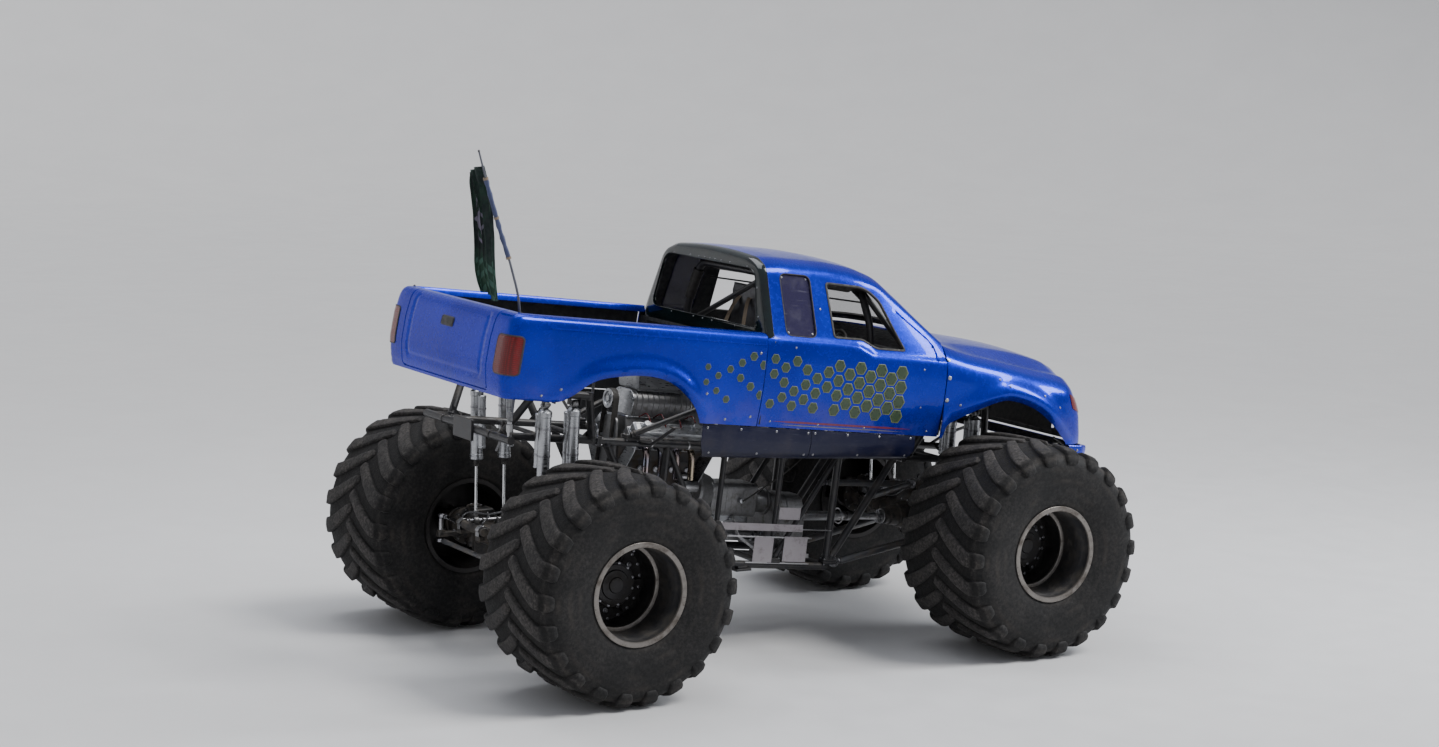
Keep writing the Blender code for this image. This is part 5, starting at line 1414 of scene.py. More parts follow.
def windows():
    for side, label in ((1, "left"), (-1, "right")):
        # tinted panel behind the opening, held by screws
        big = rounded([(-0.212, 0.968), (0.088, 0.968), (0.108, 0.490), (-0.198, 0.490)], 0.05, 6)
        ob = panel("quarter_panel_" + label, cab, cab.by_z(resample(big, 0.02, True), side), [], 0.03, ("smoked",),
                   "chassis", 0.004, off=-0.0135)
        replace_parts(ob, "quarter_window_" + label)
        bolts_on(cab, [(-0.172, 0.926), (0.047, 0.926), (0.066, 0.523), (-0.155, 0.523),
                       ], side, "quarter_screws_" + label, r=0.0055, off=-0.0135)
        # fasteners seen on the cab side
        bolts_on(cab, [(-0.111, 0.412), (0.150, 0.711), (1.113, 0.318), (1.120, 0.02), (0.185, -0.165), (0.62, -0.168),
                       (1.22, -0.165), (-0.255, -0.160)],
                 side, "cab_fasteners_" + label, r=0.0055)
    big = [(0.915, -0.655), (0.915, 0.655), (1.302, 0.752), (1.302, -0.752)]
    ob = panel("windshield_panel", cab, cab.by_y(resample(rounded(big, 0.06), 0.03, True)), [], 0.04, ("clear",),
               "chassis", 0.005, off=-0.0135)
    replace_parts(ob, "windshield")
    pts = [(0.942, y) for y in (-0.56, -0.28, 0.0, 0.28, 0.56)] + [(1.272, y) for y in (-0.66, -0.33, 0.0, 0.33, 0.66)]
    pts += [(x, s * (0.628 + (x - 0.93) * 0.268)) for x in (1.03, 1.15) for s in (1, -1)]
    bolts_on(cab, None, 1, "windshield_screws", r=0.0055, off=-0.0130, by=cab.by_y(pts))


windows()


def ray(poly, c, t):
    """Where the ray from c at angle t leaves the closed outline."""
    d = np.array([cos(t), sin(t)])
    best = None
    a = np.array(poly)
    for p, q in zip(a, np.roll(a, -1, axis=0)):
        e = q - p
        den = d[0] * e[1] - d[1] * e[0]
        if abs(den) < 1e-12:
            continue
        k = ((p - c)[0] * e[1] - (p - c)[1] * e[0]) / den
        u = ((p - c)[0] * d[1] - (p - c)[1] * d[0]) / den
        if k > 0 and -1e-9 <= u <= 1 + 1e-9 and (best is None or k > best):
            best = k
    return c + d * best


def cab_rear():
    """The moulded frame round the rear window, rounded in from the cab's sides, dark with painted shade, and the
    bulkhead's strip.
    """
    Y, Z = cab.row(CAB_REAR - 0.001)
    keep = Z > 0.385
    half = list(zip(Y[keep][::6], Z[keep][::6]))
    outer = [(-y, z) for y, z in half[::-1]] + half[1:]
    outer = outer[::-1] if outer[0][0] > outer[-1][0] else outer
    c = np.array([0.0, 0.72])
    n = 176
    angles = [2 * pi * k / n for k in range(n)]
    # corner angles drawn in, so that no corner is cut
    for q in (outer[0], outer[-1]):
        angles.append(atan2(q[1] - 0.72, q[0]) % (2 * pi))
    for q in REAR_WINDOW[::2]:
        angles.append(atan2(q[1] - 0.72, q[0]) % (2 * pi))
    angles = sorted(set(round(t, 6) for t in angles))
    lip = [(0.0, 0.000), (0.004, 0.0), (0.05, 0.020), (0.16, 0.040), (0.32, 0.052), (0.55, 0.057), (0.85, 0.057),
           (0.94, 0.060), (0.975, 0.066), (0.995, 0.064), (1.0, 0.052), (0.99, 0.040)]
    rows = []
    for t in angles:
        p, q = ray(outer, c, t), ray(REAR_WINDOW, c, t)
        row = []
        for k, back in lip:
            s = k ** 1.0
            row.append((CAB_REAR - 0.004 - back, *(p * (1 - s) + q * s)))
        rows.append(row)
    b = Build()
    b.grid(rows, 0, wrap_v=True)
    # the frame's near-black colour is painted shade on the cab's rear face
    ob = b.object("cab_rear_frame", ("rear_frame", "laminate"), "chassis", RAKED, 40)
    outward(ob)
    mod = ob.modifiers.new("thick", "SOLIDIFY")
    mod.thickness, mod.offset, mod.material_offset = 0.007, -1.0, 1
    settle(ob)
    # screws round the window
    b = Build()
    for k in range(22):
        t = 2 * pi * (k + 0.5) / 22
        p, q = ray(outer, c, t), ray(REAR_WINDOW, c, t)
        y, z = p * 0.16 + q * 0.84
        if k % 2 == 0 or z > 0.6:
            b.rivet((CAB_REAR - 0.0615, y, z), (-1, 0, 0), 0.0065, 0)
    b.object("rear_frame_rivets", ("bolt",), "chassis", RAKED, 40)
    # bulkhead under the window: two uprights of laminate with an open middle
    b = Build()
    for s in (1, -1):
        prof = [(s * 0.965, -0.190), (s * 0.968, 0.395), (s * 0.86, 0.395), (s * 0.835, 0.30), (s * 0.835, -0.190)]
        b.slab(prof, CAB_REAR - 0.052, CAB_REAR - 0.042, "X", 0)
        for z in (-0.12, 0.05, 0.22):
            b.rivet((CAB_REAR - 0.052, s * 0.90, z), (-1, 0, 0), 0.007, 1)
    b.block((CAB_REAR - 0.052, -0.965, 0.385), (CAB_REAR - 0.040, 0.965, 0.415), 0)
    outward(b.object("cab_bulkhead", ("laminate", "bolt"), "chassis", RAKED, 40))


cab_rear()


# ------------------------------------------------------------ hood and fenders
def clip_shell():
    end = 2.836
    outline = []
    for side in (-1, 1):
        part = clip.side_line([(1.345, -0.205), (FRONT_ARCH[0][0] - 0.001, -0.205)], side)
        part += clip.side_line(FRONT_ARCH, side, 0.018)
        part += clip.side_line([(2.662, -0.205), (end, -0.196)], side, 0.02)
        outline += part if side < 0 else part[::-1]
    ob = panel("hood_and_fenders", clip, outline, [], 0.024, ("paint", "laminate"), "chassis", 0.012,
               sharp=35)
    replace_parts(ob, "body_front_clip")
    for side, label in ((1, "left"), (-1, "right")):
        loop = clip.side_line(FRONT_ARCH, side, 0.018)
        bolts_on(clip, [(1.874, 0.283), (1.954, 0.232), (2.330, 0.175), (2.52, 0.09), (1.50, 0.06)], side,
                 "fender_screws_" + label, r=0.0070)
        # quick-release buttons down the gap to the door
        b = Build()
        uv = np.array(clip.by_z([(1.362, 0.405), (1.366, 0.268), (1.366, 0.09)], side))
        for p, n in zip(clip.at(uv), clip.normal(uv)):
            b.lathe(p, n, [(-0.001, 0.017), (0.004, 0.017), (0.006, 0.0145), (0.006, 0.006), (0.010, 0.005),
                           (0.010, 0)], 20, 0)
        b.object("fender_buttons_" + label, ("alloy",), "chassis", RAKED, 40)
        # black blade behind the gap
        uv = cab.side_line([(1.332, 0.500), (1.332, -0.195)], side, 0.03)
        rows = [[tuple(p + np.array([dx, 0, 0])) for p in cab.at(uv, -0.016)] for dx in (-0.020, 0.030)]
        b = Build()
        b.grid(rows, 0)
        ob = b.object("gap_strip_" + label, ("rubber",), "chassis", RAKED, 40)
        mod = ob.modifiers.new("thick", "SOLIDIFY")
        mod.thickness = 0.004
        settle(ob)


clip_shell()


class Cap(Skin):
    """The nose: x as a function of y and z inside the last section of the fenders."""

    def __init__(self):
        Y, Z = clip.row(2.8359)
        keep = Z > -0.197
        half = list(zip(Y[keep][::5], Z[keep][::5]))
        self.edge = [(-y, z) for y, z in half[::-1]] + half[1:]

        def base(uv):
            d = distance(uv, self.edge)
            return np.stack([2.836 + 0.022 * (1 - np.exp(-d / 0.022)) + nose_lean(uv[:, 1]), uv[:, 0], uv[:, 1]], axis=1)
        super().__init__(base, 1.0)


def nose():
    cap = Cap()
    slots = [rounded([(-0.50, z0), (0.50, z0), (0.50, z1), (-0.50, z1)], 0.018, 4)
             for z0, z1 in ((-0.130, -0.085), (-0.060, -0.015), (0.010, 0.055), (0.080, 0.120))]
    panel("nose_cap", cap, cap.edge, slots, 0.022, ("paint", "laminate"), "chassis", 0.010)
    b = Build()
    b.block((2.822, -0.53, -0.150), (2.828, 0.53, 0.140), 0)
    for k in range(34):
        y = -0.50 + k * 1.0 / 33
        b.block((2.828, y - 0.0015, -0.145), (2.838, y + 0.0015, 0.135), 0, 0.0005)
    b.object("grille_mesh", ("plastic",), "chassis", RAKED, 40)
    for side, label in ((1, "left"), (-1, "right")):
        lens = rounded([(2.655, 0.205), (2.836, 0.155), (2.836, 0.045), (2.700, 0.085)], 0.02, 4)
        uv = clip.by_z(resample(lens, 0.015, True), side)
        panel("side_marker_" + label, clip, uv, [], 0.02, ("red",), "chassis", 0.006, off=0.005)
        lens = rounded([(side * 0.560, 0.150), (side * 0.795, 0.115), (side * 0.812, 0.020), (side * 0.575, 0.015)],
                       0.02, 4)
        panel("headlight_" + label, cap, lens, [], 0.02, ("lens",), "chassis", 0.006, off=0.005)
        # two round lamps under each lens panel
        c = Build()
        for y, r in ((0.632, 0.036), (0.734, 0.029)):
            spot = np.array([[side * y, 0.077 if r > 0.03 else 0.070]])
            p, n = cap.at(spot, 0.0052)[0], cap.normal(spot)[0]
            c.lathe(p, n, [(-0.001, r + 0.007), (0.0035, r + 0.006), (0.0050, r + 0.002), (0.0015, r - 0.003)], 32, 0)
            c.lathe(p, n, [(0.0016, r - 0.002), (0.0038, r * 0.62), (0.0048, r * 0.25), (0.0050, 0)], 32, 1)
        c.object("headlamps_" + label, ("chrome", "lens"), "chassis", RAKED, 40)


nose()


# ------------------------------------------------------------------------ bed
TAIL_BACK = ([-0.205, -0.05, 0.10, 0.30, 0.46, 0.51], [0.085, 0.125, 0.135, 0.120, 0.095, 0.088])


class Bed(Skin):
    """Bedsides and tail in one. u runs round the plan from the right side's front end, v up the side."""

    PROFILE = [(-0.030, -0.205), (0.0, 0.05), (0.002, 0.28), (-0.004, 0.440), (-0.030, 0.492), (-0.108, 0.502),
               (-0.122, 0.450)]

    def __init__(self):
        plan = [(-0.372, -0.985), (-1.35, -0.990), (-2.30, -0.986), (-2.439, -0.960), (-2.446, -0.80), (-2.452, 0.0)]
        plan += [(x, -y) for x, y in plan[-2::-1]]
        pts = []
        for i, p in enumerate(plan):
            if 0 < i < len(plan) - 1 and i in (2, 3, 7, 8):
                a, b, c = Vector(plan[i - 1]), Vector(p), Vector(plan[i + 1])
                r = min(0.085, (a - b).length * 0.49, (c - b).length * 0.49)
                s, e = b + (a - b).normalized() * r, b + (c - b).normalized() * r
                pts += [tuple(s * (1 - t) ** 2 + b * 2 * t * (1 - t) + e * t ** 2) for t in np.linspace(0, 1, 9)]
            else:
                pts.append(p)
        self.plan = np.array(pts)
        self.run = np.concatenate([[0], np.cumsum(np.hypot(*np.diff(self.plan, axis=0).T))])
        self.U = self.run[-1]
        us = np.linspace(0, self.U, 1400)
        X, Y = np.interp(us, self.run, self.plan[:, 0]), np.interp(us, self.run, self.plan[:, 1])
        tx, ty = np.gradient(X), np.gradient(Y)
        kernel = np.ones(23) / 23
        pad = lambda v: np.concatenate([np.full(11, v[0]), v, np.full(11, v[-1])])
        tx, ty = np.convolve(pad(tx), kernel, "valid"), np.convolve(pad(ty), kernel, "valid")
        k = np.hypot(tx, ty)
        self.us, self.X, self.Y, self.NX, self.NY = us, X, Y, -ty / k, tx / k
        prof = []
        P = self.PROFILE
        radii = [0, 0.20, 0.12, 0.035, 0.030, 0.006, 0]
        for i, p in enumerate(P):
            if 0 < i < len(P) - 1:
                a, b, c = Vector(P[i - 1]), Vector(p), Vector(P[i + 1])
                r = min(radii[i], (a - b).length * 0.49, (c - b).length * 0.49)
                s, e = b + (a - b).normalized() * r, b + (c - b).normalized() * r
                prof += [tuple(s * (1 - t) ** 2 + b * 2 * t * (1 - t) + e * t ** 2) for t in np.linspace(0, 1, 9)]
            else:
                prof.append(p)
        self.prof = np.array(prof)
        self.prun = np.concatenate([[0], np.cumsum(np.hypot(*np.diff(self.prof, axis=0).T))])
        self.V = self.prun[-1]
        super().__init__(self.lookup, -1.0)

    def lookup(self, uv):
        u, v = uv[:, 0], uv[:, 1]
        X, Y = np.interp(u, self.us, self.X), np.interp(u, self.us, self.Y)
        nx, ny = np.interp(u, self.us, self.NX), np.interp(u, self.us, self.NY)
        over0, over1 = np.minimum(u, 0), np.maximum(u - self.U, 0)
        X = X - over0 + over1
        out, z = np.interp(v, self.prun, self.prof[:, 0]), np.interp(v, self.prun, self.prof[:, 1])
        z = z + np.minimum(v, 0)
        back = np.interp(z, *TAIL_BACK) * ramp(-X, 2.17, 2.40)
        return np.stack([X + nx * out - back, Y + ny * out, z], axis=1)

    def by_z(self, points, side):
        """Domain points for (x, z) on a bedside."""
        half = self.us < self.U / 2
        v_of = lambda z: float(np.interp(z, self.prof[:46, 1], self.prun[:46]))
        out = []
        for x, z in points:
            u = float(np.interp(-x, -self.X[half], self.us[half]))
            out.append((u if side < 0 else self.U - u, v_of(z)))
        return out

    def side_line(self, points, side, step=0.02):
        return self.by_z(resample(points, step), side)


bed = Bed()
REAR_ARCH = curve_through([(x, z, 0) for x, z in [
    (-0.836, -0.205), (-0.850, -0.275), (-0.880, -0.190), (-0.946, -0.088), (-1.040, -0.005), (-1.143, 0.063),
    (-1.250, 0.103), (-1.370, 0.120), (-1.500, 0.118), (-1.619, 0.104), (-1.760, 0.078), (-1.865, 0.035),
    (-1.975, -0.048), (-2.060, -0.098), (-2.120, -0.115)][2:]], 5)
REAR_ARCH = [(-0.876, -0.205)] + [(p.x, p.y) for p in REAR_ARCH]
bed.features.append(flare(bed, REAR_ARCH, 0.034, 0.045, 0.150,
                          lambda x: (0.35 + 0.65 * ramp(-x, 0.86, 1.05)) * (1 - 0.80 * ramp(-x, 1.62, 2.05))))
bed.features.append(flare(bed, [(-2.12, -0.115), (-2.6, -0.115)], 0.006, 0.02, 0.05, lambda x: 1.0 + 0 * x))


def bed_shell():
    mid = bed.U / 2
    # tailgate seams, ribs pressed into the tailgate
    z_v = lambda z: float(np.interp(z, bed.prof[:46, 1], bed.prun[:46]))
    v0, v1 = z_v(-0.085), bed.V - 0.075
    gate = [(mid - 0.70, v1), (mid - 0.70, v0 + 0.02), (mid - 0.68, v0), (mid + 0.68, v0), (mid + 0.70, v0 + 0.02),
            (mid + 0.70, v1)]
    gate = resample(gate, 0.02)
    panel_line = resample(rounded([(mid - 0.60, v0 + 0.09), (mid + 0.60, v0 + 0.09), (mid + 0.60, v1 - 0.09),
                                   (mid - 0.60, v1 - 0.09)], 0.04, 5), 0.02, True)
    panel_line = np.concatenate([panel_line, panel_line[:1]])
    bed.features.append(groove(bed, [gate], 0.009, 0.004))
    bed.features.append(groove(bed, [panel_line], 0.005, 0.010))
    outline = bed.side_line([(-0.372, -0.205), (REAR_ARCH[0][0] + 0.001, -0.205)], -1)
    outline += bed.side_line(REAR_ARCH, -1, 0.018)
    low = z_v(-0.115)
    u_r = outline[-1][0]
    us = np.arange(u_r + 0.03, bed.U - u_r, 0.03)
    outline += [(u, low) for u in us]
    part = bed.side_line(REAR_ARCH, 1, 0.018)[::-1]
    outline += part + bed.side_line([(REAR_ARCH[0][0] + 0.001, -0.205), (-0.372, -0.205)], 1)
    outline += [(bed.U, bed.V * k / 24) for k in range(1, 24)] + [(u, bed.V) for u in np.arange(bed.U, 0, -0.03)]
    outline += [(0.0, bed.V * k / 24) for k in range(24, 0, -1)]
    lines = beside(gate) + beside(panel_line, 0.010)
    ob = panel("bed_shell", bed, outline, [], 0.026, ("paint", "laminate"), "chassis", 0.012, lines=lines,
               sharp=35)
    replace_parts(ob, "body_bed")
    # rail line: a fine raised edge under the rolled top
    for side, label in ((1, "left"), (-1, "right")):
        line = bed.side_line([(-0.385, 0.418), (-2.22, 0.414)], side, 0.04)
        ring_on(bed, line, [(0.006, 0.0), (0.004, 0.0028), (0.0, 0.0038), (-0.004, 0.0028), (-0.006, 0.0)],
                "rail_bead_" + label, "paint", closed=False)
        bolts_on(bed, [(-0.425, 0.352), (-0.44, -0.135), (-0.66, -0.165), (-0.86, 0.02), (-2.10, -0.02),
                       (-2.23, -0.075)], side, "bed_screws_" + label, r=0.0070)
        # wrap-round tail light in a black bezel
        def at(x, z):
            return bed.by_z([(x, z)], side)[0]
        k = 1 if side > 0 else -1
        lens = rounded([(at(-2.345, 0)[0] + k * 0.0, z_v(0.335)), (at(-2.345, 0)[0] - k * 0.215, z_v(0.335)),
                        (at(-2.345, 0)[0] - k * 0.215, z_v(0.060)), (at(-2.345, 0)[0] + k * 0.0, z_v(0.060))],
                       0.03, 6)
        panel("tail_light_" + label, bed, lens, [], 0.02, ("red",), "chassis", 0.006, off=0.005)
        ring_on(bed, lens, [(0.010, 0.0), (0.009, 0.005), (0.001, 0.0065), (-0.001, 0.004)], "tail_bezel_" + label,
                "plastic")
    # pull handle of the tailgate: a shallow cup with a black paddle
    cup = rounded([(mid - 0.09, z_v(0.30)), (mid + 0.09, z_v(0.30)), (mid + 0.09, z_v(0.36)), (mid - 0.09, z_v(0.36))],
                  0.012, 4)
    panel("tailgate_handle", bed, cup, [], 0.012, ("plastic",), "chassis", 0.004, off=0.007)
    ring_on(bed, cup, [(0.008, 0.0), (0.007, 0.004), (0.0, 0.0095), (-0.002, 0.006)], "tailgate_handle_ring", "plastic")


bed_shell()


# ------------------------------------------------------- rockers and bumper
ROCKER = [(-0.845, -0.470), (0.140, -0.440), (1.125, -0.396)]


def rockers():
    for side, label in ((1, "left"), (-1, "right")):
        def base(uv, side=side):
            x = uv[:, 0]
            low = np.interp(x, [r[0] for r in ROCKER], [r[1] for r in ROCKER])
            t = uv[:, 1]                       # 0 at the top edge, 1 at the foot
            ts = [0, 0.12, 0.45, 0.80, 0.92, 1.0, 1.12]
            y = np.interp(t, ts, [0.953, 0.958, 0.962, 0.950, 0.938, 0.915, 0.895])
            z = -0.212 + (low + 0.212) * np.interp(t, ts, [0, 0.12, 0.45, 0.80, 0.90, 0.965, 1.0])
            return np.stack([x, side * y, z], axis=1)
        skin = Skin(base, 1.0)
        n = skin.normal(np.array([[0.0, 0.4]]))
        skin.facing = 1.0 if n[0, 1] * side > 0 else -1.0
        outline = [(-0.845, 0), (-0.845, 0.55), (-0.790, 1.12), (1.060, 1.12), (1.125, 0.60), (1.125, 0)]
        seam = np.array(resample([(0.142, 0.0), (0.142, 1.1)], 0.03))
        skin.features.append(groove(skin, [seam], 0.004, 0.003))
        ob = panel("rocker_panel_" + label, skin, outline, [], 0.03, ("navy", "laminate"), "chassis", 0.004,
                   lines=beside(seam, 0.003), cells=(0.035, 0.09))
        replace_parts(ob, "rocker_" + label)
        b = Build()
        pts = [(x, 0.10) for x in (-0.80, -0.50, -0.18, 0.11, 0.175, 0.48, 0.78, 1.08)]
        pts += [(x, 0.84) for x in (-0.76, -0.33, 0.10, 0.185, 0.60, 1.05)]
        uv = np.array(pts)
        for p, n in zip(skin.at(uv), skin.normal(uv)):
            b.bolt(p, n, 0.0062, mat=0)
        # stays up to the shell's sill, on the inside
        for x in (-0.72, 0.02, 0.28, 0.98):
            y = side * 0.945
            b.block((x - 0.014, min(y, y - side * 0.006), -0.36), (x + 0.014, max(y, y - side * 0.006), -0.10), 1)
        outward(b.object("rocker_fasteners_" + label, ("bolt", "steel"), "chassis", RAKED, 40))


rockers()


def bumper():
    def base(uv):
        # u along the lip from right to left, v down the face
        pts = np.array([(2.700, -0.945), (2.850, -0.935), (2.925, -0.885), (2.950, -0.60), (2.960, -0.25), (2.963, 0.0)])
        pts = np.concatenate([pts, (pts * [1, -1])[-2::-1]])
        run = np.concatenate([[0], np.cumsum(np.hypot(*np.diff(pts, axis=0).T))]) / 1.0
        u = uv[:, 0] * run[-1]
        X, Y = np.interp(u, run, pts[:, 0]), np.interp(u, run, pts[:, 1])
        v = uv[:, 1]
        inward = np.interp(v, [-0.3, 0, 0.12, 0.5, 0.9, 1.0, 1.3], [0.040, 0.010, 0.002, 0.0, 0.004, 0.010, 0.030])
        z = np.interp(v, [-0.3, 0, 0.12, 0.5, 0.9, 1.0, 1.3], [-0.2085, -0.2105, -0.218, -0.250, -0.281, -0.288, -0.2895])
        c = np.array([2.2, 0.0])
        dx, dy = X - c[0], Y * 0.35
        k = np.hypot(dx, dy)
        return np.stack([X - dx / k * inward, Y - dy / k * inward, z], axis=1)
    skin = Skin(base, 1.0)
    if skin.normal(np.array([[0.5, 0.5]]))[0, 0] < 0:
        skin.facing = -1.0
    ob = panel("bumper_lip", skin, [(0, -0.3), (1, -0.3), (1, 1.3), (0, 1.3)], [], 0.03, ("paint", "laminate"),
               "chassis", 0.004, cells=(0.012, 0.10))
    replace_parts(ob, "front_bumper")
    b = Build()
    uv = np.array([(u, 0.5) for u in (0.04, 0.14, 0.30, 0.5, 0.70, 0.86, 0.96)])
    for p, n in zip(skin.at(uv), skin.normal(uv)):
        b.bolt(p, n, 0.007, mat=0)
    for s in (1, -1):
        b.path([(2.30, s * 0.42, -0.45), (2.52, s * 0.50, -0.36), (2.84, s * 0.55, -0.262), (2.928, s * 0.55, -0.255)],
               0.014, 12, 1)
        b.path([(2.58, s * 0.87, -0.16), (2.72, s * 0.89, -0.235), (2.79, s * 0.915, -0.250)], 0.008, 8, 1)
    b.object("bumper_stays", ("bolt", "frame"), "chassis", RAKED, 40)


bumper()


# ============================================================ chassis, welded
RAIL_Y, BELLY_Z, RAIL_Z = 0.42, -1.36, -0.45
TUBE_R, BRACE_R = 0.030, 0.022
FLANGE_IN, FLANGE_OUT, TOUCH = 0.020, 0.040, 0.0005
BUTT_X, BUTT_HALF = 1.42, 0.038
UNRAKE = RAKED.inverted()
FRAME_MATS = ("frame", "bolt", "steel", "plate")


def bar(b, p, q, r, start=True, end=True, sides=16):
    """A frame tube with a weld bead near each end."""
    p, q = Vector(p), Vector(q)
    d = (q - p).normalized()
    b.path([p, q], r, sides, 0)
    for on, c, s in ((start, p, 1), (end, q, -1)):
        if on:
            b.weld(c + d * s * (r * 1.12), d, r, 0, 0.0045)


def gusset(b, corner, u, v, size, thick=0.004):
    """A triangular plate with a hole's dimple in the corner between directions u and v."""
    c, u, v = Vector(corner), Vector(u).normalized(), Vector(v).normalized()
    n = u.cross(v).normalized() * thick
    pts = [c, c + u * size, c + u * size * 0.80 + v * size * 0.25, c + u * size * 0.25 + v * size * 0.80, c + v * size]
    lo, hi = [p - n for p in pts], [p + n for p in pts]
    k = len(pts)
    b.add(lo + hi, [tuple(range(k))[::-1], tuple(range(k, 2 * k))] +
          [(i, (i + 1) % k, k + (i + 1) % k, k + i) for i in range(k)], 0, True)


def flange(b, x, y, z, x_half, lower, y_half=0.036):
    a, c = (FLANGE_IN, FLANGE_OUT) if lower else (FLANGE_OUT + TOUCH, 2 * FLANGE_OUT - FLANGE_IN)
    b.block((x - x_half, y - y_half, z + a), (x + x_half, y + y_half, z + c), 0, 0.0025)
    if not lower:
        for sx in (1, -1):
            for sy in (1, -1):
                b.bolt((x + sx * (x_half - 0.013), y + sy * (y_half - 0.010), z + c), (0, 0, 1), 0.0062, mat=1)
    else:
        for sx in (1, -1):
            for sy in (1, -1):
                b.bolt((x + sx * (x_half - 0.013), y + sy * (y_half - 0.010), z + a), (0, 0, -1), 0.0062, mat=1)


def lifted(p, q, z):
    t = (z - p[2]) / (q[2] - p[2])
    return tuple(a + (c - a) * t for a, c in zip(p, q))


FEET = [-0.82, -0.285, 0.285, 0.82]
CAGE_FEET = [(-1.13, 0.060), (-0.12, 0.048), (0.70, 0.048), (1.30, 0.048)]


def frame_belly():
    b = Build()
    for x, r in ((-0.80, TUBE_R), (-0.27, BRACE_R), (0.27, BRACE_R), (0.80, TUBE_R)):
        bar(b, (x, -RAIL_Y, BELLY_Z), (x, RAIL_Y, BELLY_Z), r, sides=16)
        for s in (1, -1):
            b.weld((x, s * (RAIL_Y - TUBE_R - 0.002), BELLY_Z), (0, 1, 0), r, 0)
    for s in (1, -1):
        bar(b, (-0.80, s * RAIL_Y, BELLY_Z), (0.80, s * RAIL_Y, BELLY_Z), TUBE_R, False, False)
        for x in FEET:
            flange(b, x, s * RAIL_Y, BELLY_Z, 0.062, True)
        for x in (-0.80, 0.80):
            gusset(b, (x * 0.965, s * (RAIL_Y - 0.028), BELLY_Z), (-x, 0, 0), (0, -s, 0), 0.10)
        # jack pad, level with the ground
        top = rk(0, 0, BELLY_Z)
        for k, (lo, hi, e) in enumerate([(0.600, 0.618, 0.070), (0.618, top.z - 0.012, 0.045)]):
            q = Build()
            q.block((top.x - e, s * RAIL_Y - e * 0.78, lo), (top.x + e, s * RAIL_Y + e * 0.78, hi), 0, 0.003)
            b.add([UNRAKE @ Vector(v) for v in q.v], q.f, 0)
        for sx in (1, -1):
            p = UNRAKE @ Vector((top.x + sx * 0.058, s * RAIL_Y, 0.618))
            b.bolt(p, (0, 0, 1), 0.006, mat=1)
    # skid plate with lightening holes' pressed rims under the transfer case
    b.block((0.30, -0.30, BELLY_Z - 0.020), (0.76, 0.30, BELLY_Z - 0.014), 2, 0.002)
    for x in (0.36, 0.53, 0.70):
        for y in (-0.22, 0.0, 0.22):
            b.lathe((x, y, BELLY_Z - 0.020), (0, 0, -1), [(0, 0.030), (0.006, 0.027), (0.006, 0.021), (0.001, 0.019),
                                                         (0.001, 0)], 20, 2)
    for x in (0.315, 0.745):
        for y in (-0.28, 0.28):
            b.bolt((x, y, BELLY_Z - 0.020), (0, 0, -1), 0.007, mat=1)
    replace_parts(b.object("frame_belly_tubes", FRAME_MATS, "chassis", RAKED, 35), "frame_belly")


TRUSS = [
    (-BUTT_X + 0.01, RAIL_Z, BUTT_X - 0.01, RAIL_Z, TUBE_R, False),
    (-0.80, BELLY_Z, -0.80, RAIL_Z, TUBE_R, True), (-0.27, BELLY_Z, -0.27, RAIL_Z, BRACE_R, True),
    (0.27, BELLY_Z, 0.27, RAIL_Z, BRACE_R, True), (0.80, BELLY_Z, 0.80, RAIL_Z, TUBE_R, True),
    (-0.80, BELLY_Z, -1.35, RAIL_Z, TUBE_R, True), (0.80, BELLY_Z, 1.35, RAIL_Z, TUBE_R, True),
    (-0.27, BELLY_Z, -0.80, RAIL_Z, BRACE_R, True), (0.27, BELLY_Z, 0.80, RAIL_Z, BRACE_R, True),
]


